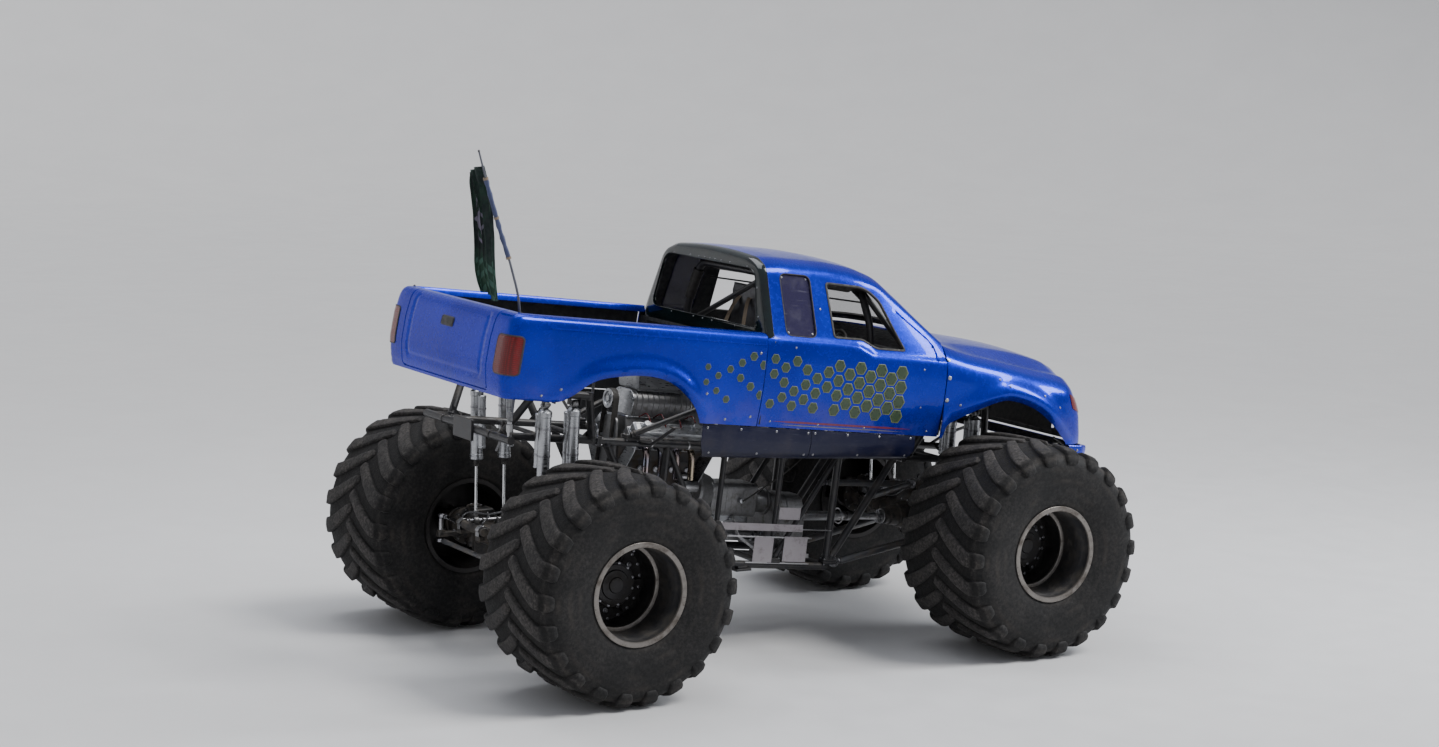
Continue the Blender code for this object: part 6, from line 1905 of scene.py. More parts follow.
def frame_sides():
    for side, label in ((1, "left"), (-1, "right")):
        b = Build()
        y = side * RAIL_Y
        for x0, z0, x1, z1, r, stands in TRUSS:
            p, q = (x0, y, z0), (x1, y, z1)
            if stands:
                p = lifted(p, q, BELLY_Z + FLANGE_OUT + 0.018)
            bar(b, p, q, r, stands, False)
            if stands:
                d = (Vector(q) - Vector(p)).normalized()
                b.weld(Vector(q) - d * (TUBE_R + 0.004), d, r, 0)
        for x in FEET:
            flange(b, x, y, BELLY_Z, 0.062, False)
        for x, half in CAGE_FEET:
            flange(b, x, y, RAIL_Z, half, True)
        for end in (1, -1):
            a, c = sorted((end * (BUTT_X - 0.020), end * (BUTT_X - TOUCH)))
            b.block((a, y - BUTT_HALF, RAIL_Z - BUTT_HALF), (c, y + BUTT_HALF, RAIL_Z + BUTT_HALF), 0, 0.002)
            for sy in (1, -1):
                for sz in (1, -1):
                    b.bolt((end * (BUTT_X - 0.020), y + sy * 0.027, RAIL_Z + sz * 0.027), (-end, 0, 0), 0.0058, mat=1)
            for x in (0.80, 0.27):
                gusset(b, (end * x, y, RAIL_Z - 0.024), (end, 0, 0), (0, 0, -1), 0.085)
                gusset(b, (end * x, y, RAIL_Z - 0.024), (-end, 0, 0), (0, 0, -1), 0.070)
        # body mounts: rubber between cups on short outriggers
        for x in (-1.05, -0.50, 0.45, 1.08):
            out = side * 0.895
            b.path([(x, y, RAIL_Z), (x, side * 0.60, RAIL_Z + 0.02), (x, side * 0.86, -0.285), (x, out, -0.262)], 0.013,
                   10, 0)
            b.block((x - 0.030, min(out - 0.03, out + 0.03), -0.262), (x + 0.030, max(out - 0.03, out + 0.03), -0.255), 0,
                    0.002)
            b.weld((x, y + side * (TUBE_R + 0.003), RAIL_Z + 0.003), (0, 1, 0), 0.014, 0, 0.004)
            b.bolt((x, out, -0.255), (0, 0, 1), 0.008, mat=1)
        # blank plates strapped to the truss, a long one and smaller ones under it
        yo = side * (RAIL_Y + 0.034)
        for lo, hi in (((-0.28, -1.085), (0.52, -1.028)), ((0.08, -1.335), (0.26, -1.135)),
                       ((0.36, -1.325), (0.58, -1.125)), ((0.28, -0.990), (0.48, -0.895))):
            q0, q1 = sorted((yo, yo + side * 0.003))
            b.block((lo[0], q0, lo[1]), (hi[0], q1, hi[1]), 3, 0.001)
            for px, pz in ((lo[0] + 0.012, lo[1] + 0.012), (hi[0] - 0.012, lo[1] + 0.012),
                           (lo[0] + 0.012, hi[1] - 0.012), (hi[0] - 0.012, hi[1] - 0.012)):
                b.rivet((px, yo + side * 0.003, pz), (0, side, 0), 0.0042, 1)
        b.block((-0.80, min(yo, yo - side * 0.004), -1.070), (0.80, max(yo, yo - side * 0.004), -1.062), 2, 0.001)
        for z in (-1.345, -1.140):
            b.block((-0.30 if z > -1.3 else 0.02, min(yo, yo - side * 0.004), z), (0.62, max(yo, yo - side * 0.004), z + 0.012), 2,
                    0.001)
        # P-clips with hard lines along the rail
        for dz, r in ((0.036, 0.0045), (0.047, 0.0045)):
            pts = [(x, y - side * 0.012, RAIL_Z + dz * 0.6 + 0.012 + 0.003 * sin(x * 5)) for x in np.linspace(-1.05, 0.60, 24)]
            b.path(pts, r, 8, 2)
        for x in (-0.95, -0.62, -0.33, 0.02, 0.42):
            b.lathe((x - 0.006, y, RAIL_Z), (1, 0, 0), [(0, 0.031), (0, 0.0335), (0.012, 0.0335), (0.012, 0.031)], 24, 2)
        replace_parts(b.object("frame_truss_" + label, FRAME_MATS, "chassis", RAKED, 35),
                    "frame_side_" + label)


def tow_plate(b, end, plate_x):
    tip = rk(plate_x, 0, RAIL_Z)
    face = tip.x + end * 0.048
    lo, hi = sorted((face - end * 0.024, face))
    q = Build()
    q.block((lo, -0.15, tip.z - 0.085), (hi, 0.15, tip.z + 0.075), 0, 0.003)
    b.add([UNRAKE @ Vector(v) for v in q.v], q.f, 0)
    q = Build()
    for y in (-0.115, -0.045, 0.045, 0.115):
        for z in (tip.z - 0.060, tip.z + 0.050):
            q.bolt((face - end * 0.0245, y, z), (-end, 0, 0), 0.008, mat=1)
    b.add([UNRAKE @ Vector(v) for v in q.v], q.f, 1)


def subframes():
    for name, end, rows, across, plate_x in (
        ("front_subframe", 1, [
            (BUTT_X + 0.01, 0.42, -0.45, 2.40, 0.42, -0.45), (1.47, 0.42, -0.45, 1.62, 0.57, 0.02),
            (1.62, 0.57, 0.02, 2.08, 0.57, 0.02), (2.08, 0.57, 0.02, 2.24, 0.42, -0.45)],
         [(1.47, 0.42, -0.45, BRACE_R), (2.40, 0.42, -0.45, TUBE_R), (1.85, 0.57, 0.02, BRACE_R)], 2.40),
        ("rear_subframe", -1, [
            (-BUTT_X - 0.01, 0.42, -0.45, -2.30, 0.42, -0.45), (-1.47, 0.42, -0.45, -1.62, 0.57, -0.10),
            (-1.62, 0.57, -0.10, -2.08, 0.57, -0.10), (-2.08, 0.57, -0.10, -2.24, 0.42, -0.45)],
         [(-1.47, 0.42, -0.45, BRACE_R), (-2.30, 0.70, -0.45, TUBE_R), (-1.85, 0.57, -0.10, BRACE_R)], -2.30),
    ):
        b = Build()
        for x, half, z, r in across:
            bar(b, (x, -half, z), (x, half, z), r, False, False)
            for s in (1, -1):
                b.weld((x, s * (min(half, 0.57 if z > -0.4 else RAIL_Y) - TUBE_R - 0.002), z), (0, 1, 0), r, 0)
        for s in (1, -1):
            for k, (x0, y0, z0, x1, y1, z1) in enumerate(rows):
                p, q = Vector((x0, s * y0, z0)), Vector((x1, s * y1, z1))
                b.path([p, q], TUBE_R, 16, 0)
                d = (q - p).normalized()
                if k in (1, 3):
                    foot, head = (p, q) if k == 1 else (q, p)
                    e = (head - foot).normalized()
                    b.weld(foot + e * (TUBE_R + 0.008), e, TUBE_R, 0)
                    b.lathe(head, (0, 0, 1), [(-0.030, 0), (-0.030, 0.0305), (0.030, 0.0305), (0.030, 0)], 16, 0)
                    gusset(b, foot + Vector((0, 0, 0.026)), (head.x - foot.x, 0, 0.0001), (0, 0, 1), 0.09)
                if k == 2:
                    # clevis tabs for the shocks' tops
                    for sx in (0.08, 0.165, 0.295, 0.38):
                        c = p + d * sx
                        b.block((c.x - 0.004, c.y - 0.026, c.z - 0.072), (c.x + 0.004, c.y + 0.026, c.z - 0.018), 0,
                                0.001)
            a, c = sorted((end * BUTT_X, end * (BUTT_X + 0.020)))
            b.block((a, s * RAIL_Y - BUTT_HALF, RAIL_Z - BUTT_HALF), (c, s * RAIL_Y + BUTT_HALF, RAIL_Z + BUTT_HALF), 0,
                    0.002)
            for sy in (1, -1):
                for sz in (1, -1):
                    b.bolt((end * (BUTT_X + 0.020), s * RAIL_Y + sy * 0.027, RAIL_Z + sz * 0.027), (end, 0, 0), 0.0058,
                           mat=1)
            # limit strap to the axle
            b.path(curve_through([(end * 1.85, s * 0.34, RAIL_Z + 0.01), (end * 1.83, s * 0.335, RAIL_Z - 0.12),
                                  (end * 1.86, s * 0.33, RAIL_Z - 0.22)], 6), 0.010, 8, 2)
        b.path([(end * 1.85, -0.42, RAIL_Z), (end * 1.85, 0.42, RAIL_Z)], BRACE_R * 0.8, 12, 0)
        tow_plate(b, end, plate_x)
        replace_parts(b.object(name + "_tubes", FRAME_MATS, "chassis", RAKED, 35), name)


CAGE_LEGS = [
    (-0.12, 0.42, -0.45, -0.12, 0.66, 0.10, TUBE_R), (0.70, 0.42, -0.45, 0.84, 0.66, 0.10, TUBE_R),
    (1.30, 0.42, -0.45, 1.20, 0.62, 0.40, BRACE_R), (-1.35, 0.42, -0.48, -0.12, 0.66, 0.10, BRACE_R)]


def roll_cage():
    b = Build()
    # hoops bent in one piece, from foot to foot
    for pts, r in (([(-0.12, 0.66, 0.10), (-0.12, 0.62, 0.60), (-0.12, 0.50, 0.92)], TUBE_R),
                   ([(0.84, 0.66, 0.10), (0.80, 0.62, 0.60), (0.745, 0.50, 0.875)], TUBE_R)):
        leg = CAGE_LEGS[0] if pts[0][0] < 0 else CAGE_LEGS[1]
        foot = lifted(leg[:3], leg[3:6], RAIL_Z + FLANGE_OUT + 0.022)
        half = [foot, *pts]
        whole = [Vector(p) for p in half] + [Vector((p[0], -p[1], p[2])) for p in half[::-1]]
        line = []
        for i, p in enumerate(whole):
            if 0 < i < len(whole) - 1:
                a, c = whole[i - 1], whole[i + 1]
                k = min(0.09, (a - p).length * 0.4, (c - p).length * 0.4)
                s, e = p + (a - p).normalized() * k, p + (c - p).normalized() * k
                line += [s * (1 - t) ** 2 + p * 2 * t * (1 - t) + e * t ** 2 for t in np.linspace(0, 1, 7)]
            else:
                line.append(p)
        b.path(line, r, 16, 0)
        for s in (1, -1):
            q = Vector((foot[0], s * foot[1], foot[2]))
            d = (Vector((pts[0][0], s * pts[0][1], pts[0][2])) - q).normalized()
            b.weld(q + d * 0.012, d, r, 0)
    for s in (1, -1):
        for x0, y0, z0, x1, y1, z1, r in CAGE_LEGS[2:]:
            p = lifted((x0, s * y0, z0), (x1, s * y1, z1), RAIL_Z + FLANGE_OUT + 0.022)
            bar(b, p, (x1, s * y1, z1), r, True, True)
        for p, q, r in (((-0.12, 0.50, 0.92), (0.745, 0.50, 0.875), TUBE_R), ((0.745, 0.50, 0.875), (1.20, 0.62, 0.40), BRACE_R),
                        ((-0.12, 0.66, 0.10), (0.84, 0.66, 0.10), BRACE_R), ((-0.10, 0.655, 0.16), (0.81, 0.645, 0.34), 0.016),
                        ((0.10, 0.505, 0.91), (0.30, 0.50, 0.90), 0.0305)):
            bar(b, (p[0], s * p[1], p[2]), (q[0], s * q[1], q[2]), r, r < 0.03, r < 0.03)
        for x, half in CAGE_FEET:
            flange(b, x, s * RAIL_Y, RAIL_Z, half, False)
        gusset(b, (-0.12, s * 0.50, 0.905), (1, 0, -0.05), (0, s * 0.35, -0.94), 0.10)
        gusset(b, (0.745, s * 0.50, 0.860), (-1, 0, 0.05), (0.2, s * 0.35, -0.92), 0.10)
        # padding where a helmet can reach
        b.path([(-0.02, s * 0.50, 0.915), (0.63, s * 0.50, 0.881)], 0.044, 18, 4)
        b.path([(-0.12, s * 0.618, 0.62), (-0.12, s * 0.525, 0.855)], 0.042, 18, 4)
    for x, half, z, r in ((1.20, 0.62, 0.40, BRACE_R), (-0.12, 0.66, 0.10, BRACE_R)):
        bar(b, (x, -half, z), (x, half, z), r)
    bar(b, (-0.12, -0.50, 0.92), (-0.12, 0.636, 0.40), BRACE_R)
    # window net's rod
    for s in (1, -1):
        bar(b, (0.02, s * 0.56, 0.80), (0.77, s * 0.555, 0.77), 0.007, False, False, 8)
    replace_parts(b.object("roll_cage_tubes", ("frame", "bolt", "steel", "plate", "rubber"), "chassis", RAKED, 35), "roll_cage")


frame_belly()
frame_sides()
subframes()
roll_cage()


# ======================================================================= axles
def axles():
    for name, x, outer in (("front", X_FRONT, 1), ("rear", X_REAR, -1)):
        b = Build()
        o = outer
        # banjo housing
        b.lathe((-0.132, 0, 0), (1, 0, 0), [(0, 0.0), (0, 0.150), (0.010, 0.176), (0.040, 0.198), (0.075, 0.205),
                                          (0.189, 0.205), (0.224, 0.198), (0.254, 0.176), (0.264, 0.150), (0.264, 0)],
                40, 0)
        for s in (1, -1):
            b.lathe((0, s * 0.10, 0), (0, s, 0), [(0, 0.165), (0.05, 0.150), (0.10, 0.118), (0.17, 0.092), (0.22, 0.085),
                                                (0.49, 0.085), (0.505, 0.089), (0.52, 0.089)], 32, 0)
            b.lathe((0, s * 0.575, 0), (0, s, 0), [(0, 0.086), (0.004, 0.104), (0.022, 0.104), (0.026, 0.088)], 32, 0)
            # end yoke: plates and tongues round the kingpin
            lo, hi = sorted((s * 0.600, s * 0.645))
            prof = rounded([(-0.085, -0.178), (0.085, -0.178), (0.085, 0.178), (-0.085, 0.178)], 0.03, 4)
            b.slab(prof, lo, hi, "Y", 0, 0.004)
            for up in (1, -1):
                a, c = sorted((up * 0.150, up * 0.182))
                lo2, hi2 = sorted((s * 0.61, s * 0.780))
                b.block((-0.075, lo2, a), (0.075, hi2, c), 0, 0.004)
                b.lathe((0, s * KINGPIN_Y, a), (0, 0, 1), [(0, 0), (0, 0.071), (0.003, 0.075), (c - a - 0.003, 0.075),
                                                         (c - a, 0.071), (c - a, 0)], 32, 0)
                top = c if up > 0 else a
                b.lathe((0, s * KINGPIN_Y, top), (0, 0, up), [(0, 0.052), (0.006, 0.050), (0.010, 0.040), (0.010, 0)], 28, 0)
                for k in range(4):
                    t = pi / 4 + k * pi / 2
                    b.bolt((0.040 * cos(t), s * KINGPIN_Y + 0.040 * sin(t), top + up * 0.008), (0, 0, up), 0.006, mat=1)
                b.pin((0, s * KINGPIN_Y, top + up * 0.010), (0, s * KINGPIN_Y, top + up * 0.022), 0.005, 8, 1)
            # shock deck on gussets
            lo, hi = sorted((s * 0.37, s * 0.610))
            b.block((-0.22, lo, 0.050), (0.22, hi, 0.080), 0, 0.003)
            for gx in (-0.15, 0.0, 0.15):
                prof = [(gx - 0.045, 0.050), (gx + 0.045, 0.050), (gx + 0.03, -0.03), (gx - 0.03, -0.03)]
                b.slab(prof, *sorted((s * 0.385, s * 0.393)), "Y", 0, 0.001)
                b.slab(prof, *sorted((s * 0.590, s * 0.598)), "Y", 0, 0.001)
            for gx in (-0.205, -0.04, 0.04, 0.205):
                for gy in (0.388, 0.592):
                    b.bolt((gx, s * gy, 0.080), (0, 0, 1), 0.0062, mat=1)
            # shock pin saddles
            for gx in (-0.178, 0.178):
                b.block((gx - 0.012, *[min(s * 0.497, s * 0.553)], 0.080), (gx + 0.012, max(s * 0.497, s * 0.553), 0.088),
                        0, 0.002)
            # lower link ears
            for ey in (0.352, 0.408):
                prof = rounded([(-0.055, -0.165), (0.055, -0.165), (0.045, -0.02), (-0.045, -0.02)], 0.02, 4)
                b.slab(prof, *sorted((s * ey - 0.006, s * ey + 0.006)), "Y", 0, 0.001)
                b.bolt((-o * 0.020, s * (ey + (0.006 if ey > 0.38 else -0.006)), -0.100),
                       (0, s if ey > 0.38 else -s, 0), 0.011, mat=1)
            # brake line
            b.path(curve_through([(o * -0.05, s * 0.10, 0.20), (o * -0.055, s * 0.20, 0.14), (o * -0.05, s * 0.32, 0.094),
                                  (o * -0.05, s * 0.50, 0.092), (o * -0.03, s * 0.585, 0.12), (o * -0.02, s * 0.60, 0.16)],
                                 6), 0.004, 8, 2)
        # front cover dome with its bolts, pinion nose on the other side
        b.lathe((o * 0.120, 0, 0), (o, 0, 0), [(0, 0.168), (0.012, 0.168), (0.016, 0.150), (0.030, 0.140), (0.048, 0.105),
                                             (0.056, 0.070), (0.060, 0.040), (0.060, 0)], 36, 0)
        for k in range(14):
            t = 2 * pi * k / 14
            b.bolt((o * 0.131, 0.160 * cos(t), 0.160 * sin(t)), (o, 0, 0), 0.0075, mat=1)
        b.bolt((o * 0.170, 0.075, 0.045), (o, 0.4, 0.2), 0.010, mat=1)
        b.lathe((-o * 0.120, 0, 0), (-o, 0, 0), [(0, 0.140), (0.020, 0.140), (0.026, 0.118), (0.110, 0.100), (0.118, 0.088),
                                               (0.160, 0.080), (0.190, 0.078), (0.200, 0.066), (0.232, 0.066),
                                               (0.238, 0.060), (0.241, 0.0)], 32, 0)
        for k in range(10):
            t = 2 * pi * k / 10
            b.bolt((-o * 0.139, 0.129 * cos(t), 0.129 * sin(t)), (-o, 0, 0), 0.0065, mat=1)
        for k in range(6):
            t = 2 * pi * k / 6
            q = Vector((0, cos(t), sin(t)))
            b.add([Vector((-o * 0.145, 0, 0)) + q * 0.10 + Vector((0, -sin(t), cos(t))) * w for w in (-0.003, 0.003)] +
                  [Vector((-o * 0.230, 0, 0)) + q * 0.080 + Vector((0, -sin(t), cos(t))) * w for w in (0.003, -0.003)] +
                  [Vector((-o * 0.145, 0, 0)) + q * 0.126 + Vector((0, -sin(t), cos(t))) * w for w in (-0.003, 0.003)],
                  [(0, 1, 2, 3), (0, 4, 5, 1), (3, 2, 5, 4), (0, 3, 4), (1, 5, 2)], 0, True)
        # truss over the housing and the upper link's ear
        b.path([(0.045, -0.46, 0.088), (0.045, -0.20, 0.205), (0.045, 0.20, 0.205), (0.045, 0.46, 0.088)], 0.014, 12, 0)
        for ey in (-0.040, 0.040):
            prof = rounded([(-o * 0.055, 0.150), (o * 0.060, 0.150), (o * 0.030, 0.285), (-o * 0.055, 0.285)], 0.02, 4)
            b.slab(prof, ey - 0.005, ey + 0.005, "Y", 0, 0.001)
        # ram saddles with their clamp caps
        for ya, yb, x0 in ((0.055, 0.125, 0.08), (0.375, 0.435, 0.19)):
            a, c = sorted((o * x0, o * 0.325))
            b.block((a, ya, 0.052), (c, yb, 0.0865), 0, 0.003)
            prof = [(o * 0.290 + 0.046 * cos(t), 0.122 + 0.046 * sin(t)) for t in np.linspace(0.15, pi - 0.15, 12)]
            prof += [(o * 0.290 + 0.0365 * cos(t), 0.122 + 0.0365 * sin(t)) for t in np.linspace(pi - 0.15, 0.15, 12)]
            b.slab(prof, ya + 0.010, yb - 0.010, "Y", 2, 0.001)
            for sx in (1, -1):
                ex = o * 0.290 + sx * 0.036
                if min(abs(ex), 0.325) <= 0.3251:
                    b.block((ex - 0.004, ya + 0.010, 0.0865), (ex + 0.004, yb - 0.010, 0.122), 2, 0.001)
        b.path(curve_through([(o * 0.055, -0.06, 0.204), (o * 0.04, -0.10, 0.26), (-o * 0.01, -0.14, 0.30),
                              (-o * 0.06, -0.16, 0.34)], 8), 0.008, 10, 3)
        place = Matrix.Translation((x, 0, TYRE_R))
        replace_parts(b.object("axle_housing_" + name, ("axle", "bolt", "steel", "rubber"), "chassis", place, 35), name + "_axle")

        # ram barrel with its gland and ports
        b = Build()
        rx = o * 0.290
        b.lathe((rx, 0.04, 0.122), (0, 1, 0), [(0, 0), (0, 0.030), (0.004, 0.035), (0.030, 0.035), (0.034, 0.0335),
                                             (0.375, 0.0335), (0.380, 0.0348), (0.416, 0.0350), (0.420, 0.032),
                                             (0.420, 0.0185), (0.380, 0.0182), (0.380, 0)], 32, 0)
        for y in (0.075, 0.405):
            b.lathe((rx, y, 0.122), (0, 0, 1), [(0.030, 0.010), (0.042, 0.010), (0.042, 0.0)], 12, 1)
            b.bolt((rx, y, 0.160), (0, 0, 1), 0.008, 0.012, mat=1, washer=False)
            s = 1 if y > 0.2 else -1
            b.path(curve_through([(rx, y, 0.172), (rx, y - 0.006, 0.190), (rx - o * 0.05, y - 0.03 * s, 0.215),
                                  (rx - o * 0.13, 0.20, 0.225), (rx - o * 0.22, 0.12, 0.262), (o * 0.03, 0.055, 0.31)], 8),
                   0.0075, 10, 2)
        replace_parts(b.object("steering_ram_barrel_" + name, ("axle", "bolt", "braid"), "chassis", place, 35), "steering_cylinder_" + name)


axles()


# ================================================== knuckles and steering parts
def heim(b, c, along, r=0.026, mat=0):
    """A rod end's round eye with its ball, about the Z axis."""
    b.lathe(c + Vector((0, 0, -0.013)), (0, 0, 1), [(0, 0.019), (0, r + 0.004), (0.003, r + 0.007), (0.023, r + 0.007),
                                                  (0.026, r + 0.004), (0.026, 0.019)], 28, mat)
    b.lathe(c + Vector((0, 0, -0.0132)), (0, 0, 1), [(0, 0), (0, 0.014), (0.006, 0.0185), (0.0132, 0.0198),
                                                   (0.0204, 0.0185), (0.0264, 0.014), (0.0264, 0)], 24, mat)


def steering():
    for label, x, side, outer in CORNERS:
        b = Build()
        o, s = outer, side
        hub_y = s * (WHEEL_Y - KINGPIN_Y)
        # kingpin boss between the yoke's tongues
        b.lathe((0, 0, -0.138), (0, 0, 1), [(0, 0), (0, 0.066), (0.004, 0.072), (0.030, 0.072), (0.036, 0.066),
                                          (0.240, 0.066), (0.246, 0.072), (0.272, 0.072), (0.276, 0.066), (0.276, 0)],
                32, 0)
        b.lathe((0, 0, 0), (0, s, 0), [(0, 0.083), (0.095, 0.085), (0.100, 0.140), (0.104, 0.150), (0.140, 0.150),
                                     (0.146, 0.144), (0.150, 0.122), (0.250, 0.116), (0.256, 0.128), (0.290, 0.128),
                                     (0.296, 0.120), (0.300, 0.085), (0.480, 0.082), (0.540, 0.066), (0.575, 0.060),
                                     (0.575, 0)], 40, 0)
        for k in range(12):
            t = 2 * pi * (k + 0.5) / 12
            b.bolt((0.135 * cos(t), s * 0.104, 0.135 * sin(t)), (0, -s, 0), 0.0068, mat=1)
        # ribs from the boss to the flange
        for t in (0.7, pi - 0.7, -0.7, pi + 0.7):
            d = Vector((cos(t), 0, sin(t)))
            n = Vector((-sin(t), 0, cos(t))) * 0.005
            pts = [d * 0.05 + Vector((0, s * 0.02, 0)), d * 0.082 + Vector((0, s * 0.055, 0)),
                   d * 0.136 + Vector((0, s * 0.101, 0)), d * 0.05 + Vector((0, s * 0.101, 0))]
            b.add([p - n for p in pts] + [p + n for p in pts],
                  [(0, 1, 2, 3), (7, 6, 5, 4), (0, 4, 5, 1), (1, 5, 6, 2), (2, 6, 7, 3), (3, 7, 4, 0)], 0, True)
        # steering arm
        end = o * STEER_ARM
        arm = rounded([(0.0, -0.055), (end * 0.55, -0.032), (end + o * 0.032, -0.030), (end + o * 0.032, 0.030),
                       (end * 0.55, 0.032), (0.0, 0.055)], [0.0, 0.04, 0.022, 0.022, 0.04, 0.0], 6)
        arm = [(p[0], max(-0.032, min(0.032, p[1]))) for p in arm]
        b.slab(arm, -0.042, -0.004, "Z", 0, 0.004)
        for k in (0.42, 0.62):
            b.bolt((end * k, 0, -0.004), (0, 0, 1), 0.009, mat=1)
        if s > 0:
            b.pin((end, 0, -0.02), (end, 0, 0.1035), 0.020, 20, 2)
            b.lathe((end, 0, -0.004), (0, 0, 1), [(0, 0.031), (0.012, 0.029), (0.016, 0.022)], 24, 0)
        if s < 0:
            b.bolt((end, 0, -0.0035), (0, 0, 1), 0.011, mat=1)
        place = Matrix.Translation((x, s * KINGPIN_Y, TYRE_R))
        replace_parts(b.object("knuckle_forging_" + label, ("axle", "bolt", "steel"), "knuckle_" + label, place, 35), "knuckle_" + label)
    for name, x, o in (("front", X_FRONT, 1), ("rear", X_REAR, -1)):
        span = 2 * KINGPIN_Y
        b = Build()
        b.lathe((0, -0.035, 0), (0, -1, 0), [(0, 0.0), (0, 0.0155), (0.025, 0.0155), (0.030, 0.021), (0.075, 0.021),
                                           (0.080, 0.0185), (span - 0.155, 0.0185), (span - 0.150, 0.021),
                                           (span - 0.105, 0.021), (span - 0.100, 0.0155), (span - 0.075, 0.0155),
                                           (span - 0.070, 0)], 28, 0)
        for y, d in ((0, -1), (-span, 1)):
            heim(b, Vector((0, y, 0)), d, mat=1)
            b.lathe((0, y + d * 0.046, 0), (0, d, 0), [(0, 0.012), (0, 0.021), (0.010, 0.021), (0.010, 0.012)], 6, 1,
                    flat=True)
        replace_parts(b.object("tie_rod_bar_" + name, ("link", "bolt"), "tie_rod_" + name,
                             Matrix.Translation((x + o * STEER_ARM, KINGPIN_Y, TYRE_R - 0.070)), 35),
                    "tie_rod_" + name)
        b = Build()
        b.pin((0, 0.25, 0), (0, KINGPIN_Y - 0.055, 0), 0.0150, 24, 0, 0.002)
        b.lathe((0, KINGPIN_Y - 0.070, 0), (0, 1, 0), [(0, 0.012), (0, 0.020), (0.020, 0.020), (0.020, 0.013),
                                                     (0.045, 0.013)], 6, 1, flat=True)
        heim(b, Vector((0, KINGPIN_Y, 0)), -1, mat=1)
        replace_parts(b.object("ram_rod_" + name, ("chrome", "bolt"), "steering_rod_" + name,
                             Matrix.Translation((x + o * 0.290, 0, TYRE_R + 0.122)), 35),
                    "steering_rod_" + name)


steering()


# ================================================================== suspension
def shock(b, foot, top, side, s):
    d = (top - foot).normalized()
    length = (top - foot).length
    at = lambda t: foot + d * t
    mid = length * 0.45
    # lower eye, shaft, bump stop, gland, body, cap and upper eye
    b.lathe(at(0.0) - Vector((0.020, 0, 0)), (1, 0, 0), [(0, 0.014), (0, 0.028), (0.003, 0.030), (0.037, 0.030),
                                                       (0.040, 0.028), (0.040, 0.014)], 24, 1)
    b.lathe(foot, d, [(0.020, 0.017), (0.055, 0.019), (0.060, 0.0215), (0.075, 0.0215), (0.078, 0.0125)], 20, 1)
    b.lathe(foot, d, [(0.070, 0.0125), (mid, 0.0125)], 24, 0)
    b.lathe(foot, d, [(mid - 0.055, 0.013), (mid - 0.052, 0.022), (mid - 0.035, 0.018), (mid - 0.030, 0.024),
                      (mid - 0.012, 0.020), (mid - 0.008, 0.026), (mid, 0.026)], 24, 3)
    b.lathe(foot, d, [(mid, 0.020), (mid, 0.047), (mid + 0.004, 0.052), (mid + 0.022, 0.052), (mid + 0.024, 0.047),
                      (mid + 0.030, 0.047), (mid + 0.032, 0.0505), (mid + 0.040, 0.0505), (mid + 0.043, 0.0475),
                      (length - 0.092, 0.0475), (length - 0.088, 0.052), (length - 0.052, 0.052), (length - 0.046, 0.046),
                      (length - 0.034, 0.030), (length - 0.030, 0.022)], 36, 2)
    b.lathe(top - Vector((0.022, 0, 0)), (1, 0, 0), [(0, 0.013), (0, 0.027), (0.003, 0.0295), (0.041, 0.0295),
                                                   (0.044, 0.027), (0.044, 0.013)], 24, 1)
    for k in range(3):
        t = mid + 0.13 + k * 0.06
        b.lathe(foot, d, [(t, 0.0475), (t + 0.001, 0.0485), (t + 0.005, 0.0485), (t + 0.006, 0.0475)], 32, 2)
    b.pin(top - Vector((0.034, 0, 0)), top + Vector((0.034, 0, 0)), 0.009, 12, 4)
    for e in (1, -1):
        b.bolt(top + Vector((e * 0.030, 0, 0)), (e, 0, 0), 0.011, mat=4)
    # remote reservoir strapped to the body
    inward = Vector((0, -side, 0))
    c0 = at(mid + 0.10) + inward * 0.088
    c1 = at(length - 0.075) + inward * 0.088
    b.lathe(c0, c1 - c0, [(0, 0), (0, 0.028), (0.004, 0.032), (0.016, 0.032), (0.018, 0.0295),
                          ((c1 - c0).length - 0.02, 0.0295), ((c1 - c0).length - 0.018, 0.032),
                          ((c1 - c0).length - 0.003, 0.032), ((c1 - c0).length, 0.028), ((c1 - c0).length, 0)], 28, 2)
    for t in (0.25, 0.75):
        m = c0.lerp(c1, t)
        b.lathe(m - d * 0.007, d, [(0, 0.0295), (0, 0.0335), (0.014, 0.0335), (0.014, 0.0295)], 28, 4)
        w = m - inward * 0.088
        b.lathe(w - d * 0.007, d, [(0, 0.047), (0, 0.0505), (0.014, 0.0505), (0.014, 0.047)], 32, 4)
        b.block(Vector((m.x - 0.004, min(m.y, w.y), m.z - 0.007)), Vector((m.x + 0.004, max(m.y, w.y), m.z + 0.007)), 4,
                0.001)
    b.path(curve_through([c1 + d * 0.0, c1 + d * 0.030 + inward * 0.002, c1 + d * 0.045 - inward * 0.030,
                          at(length - 0.045) + inward * 0.040], 6), 0.0075, 10, 5)


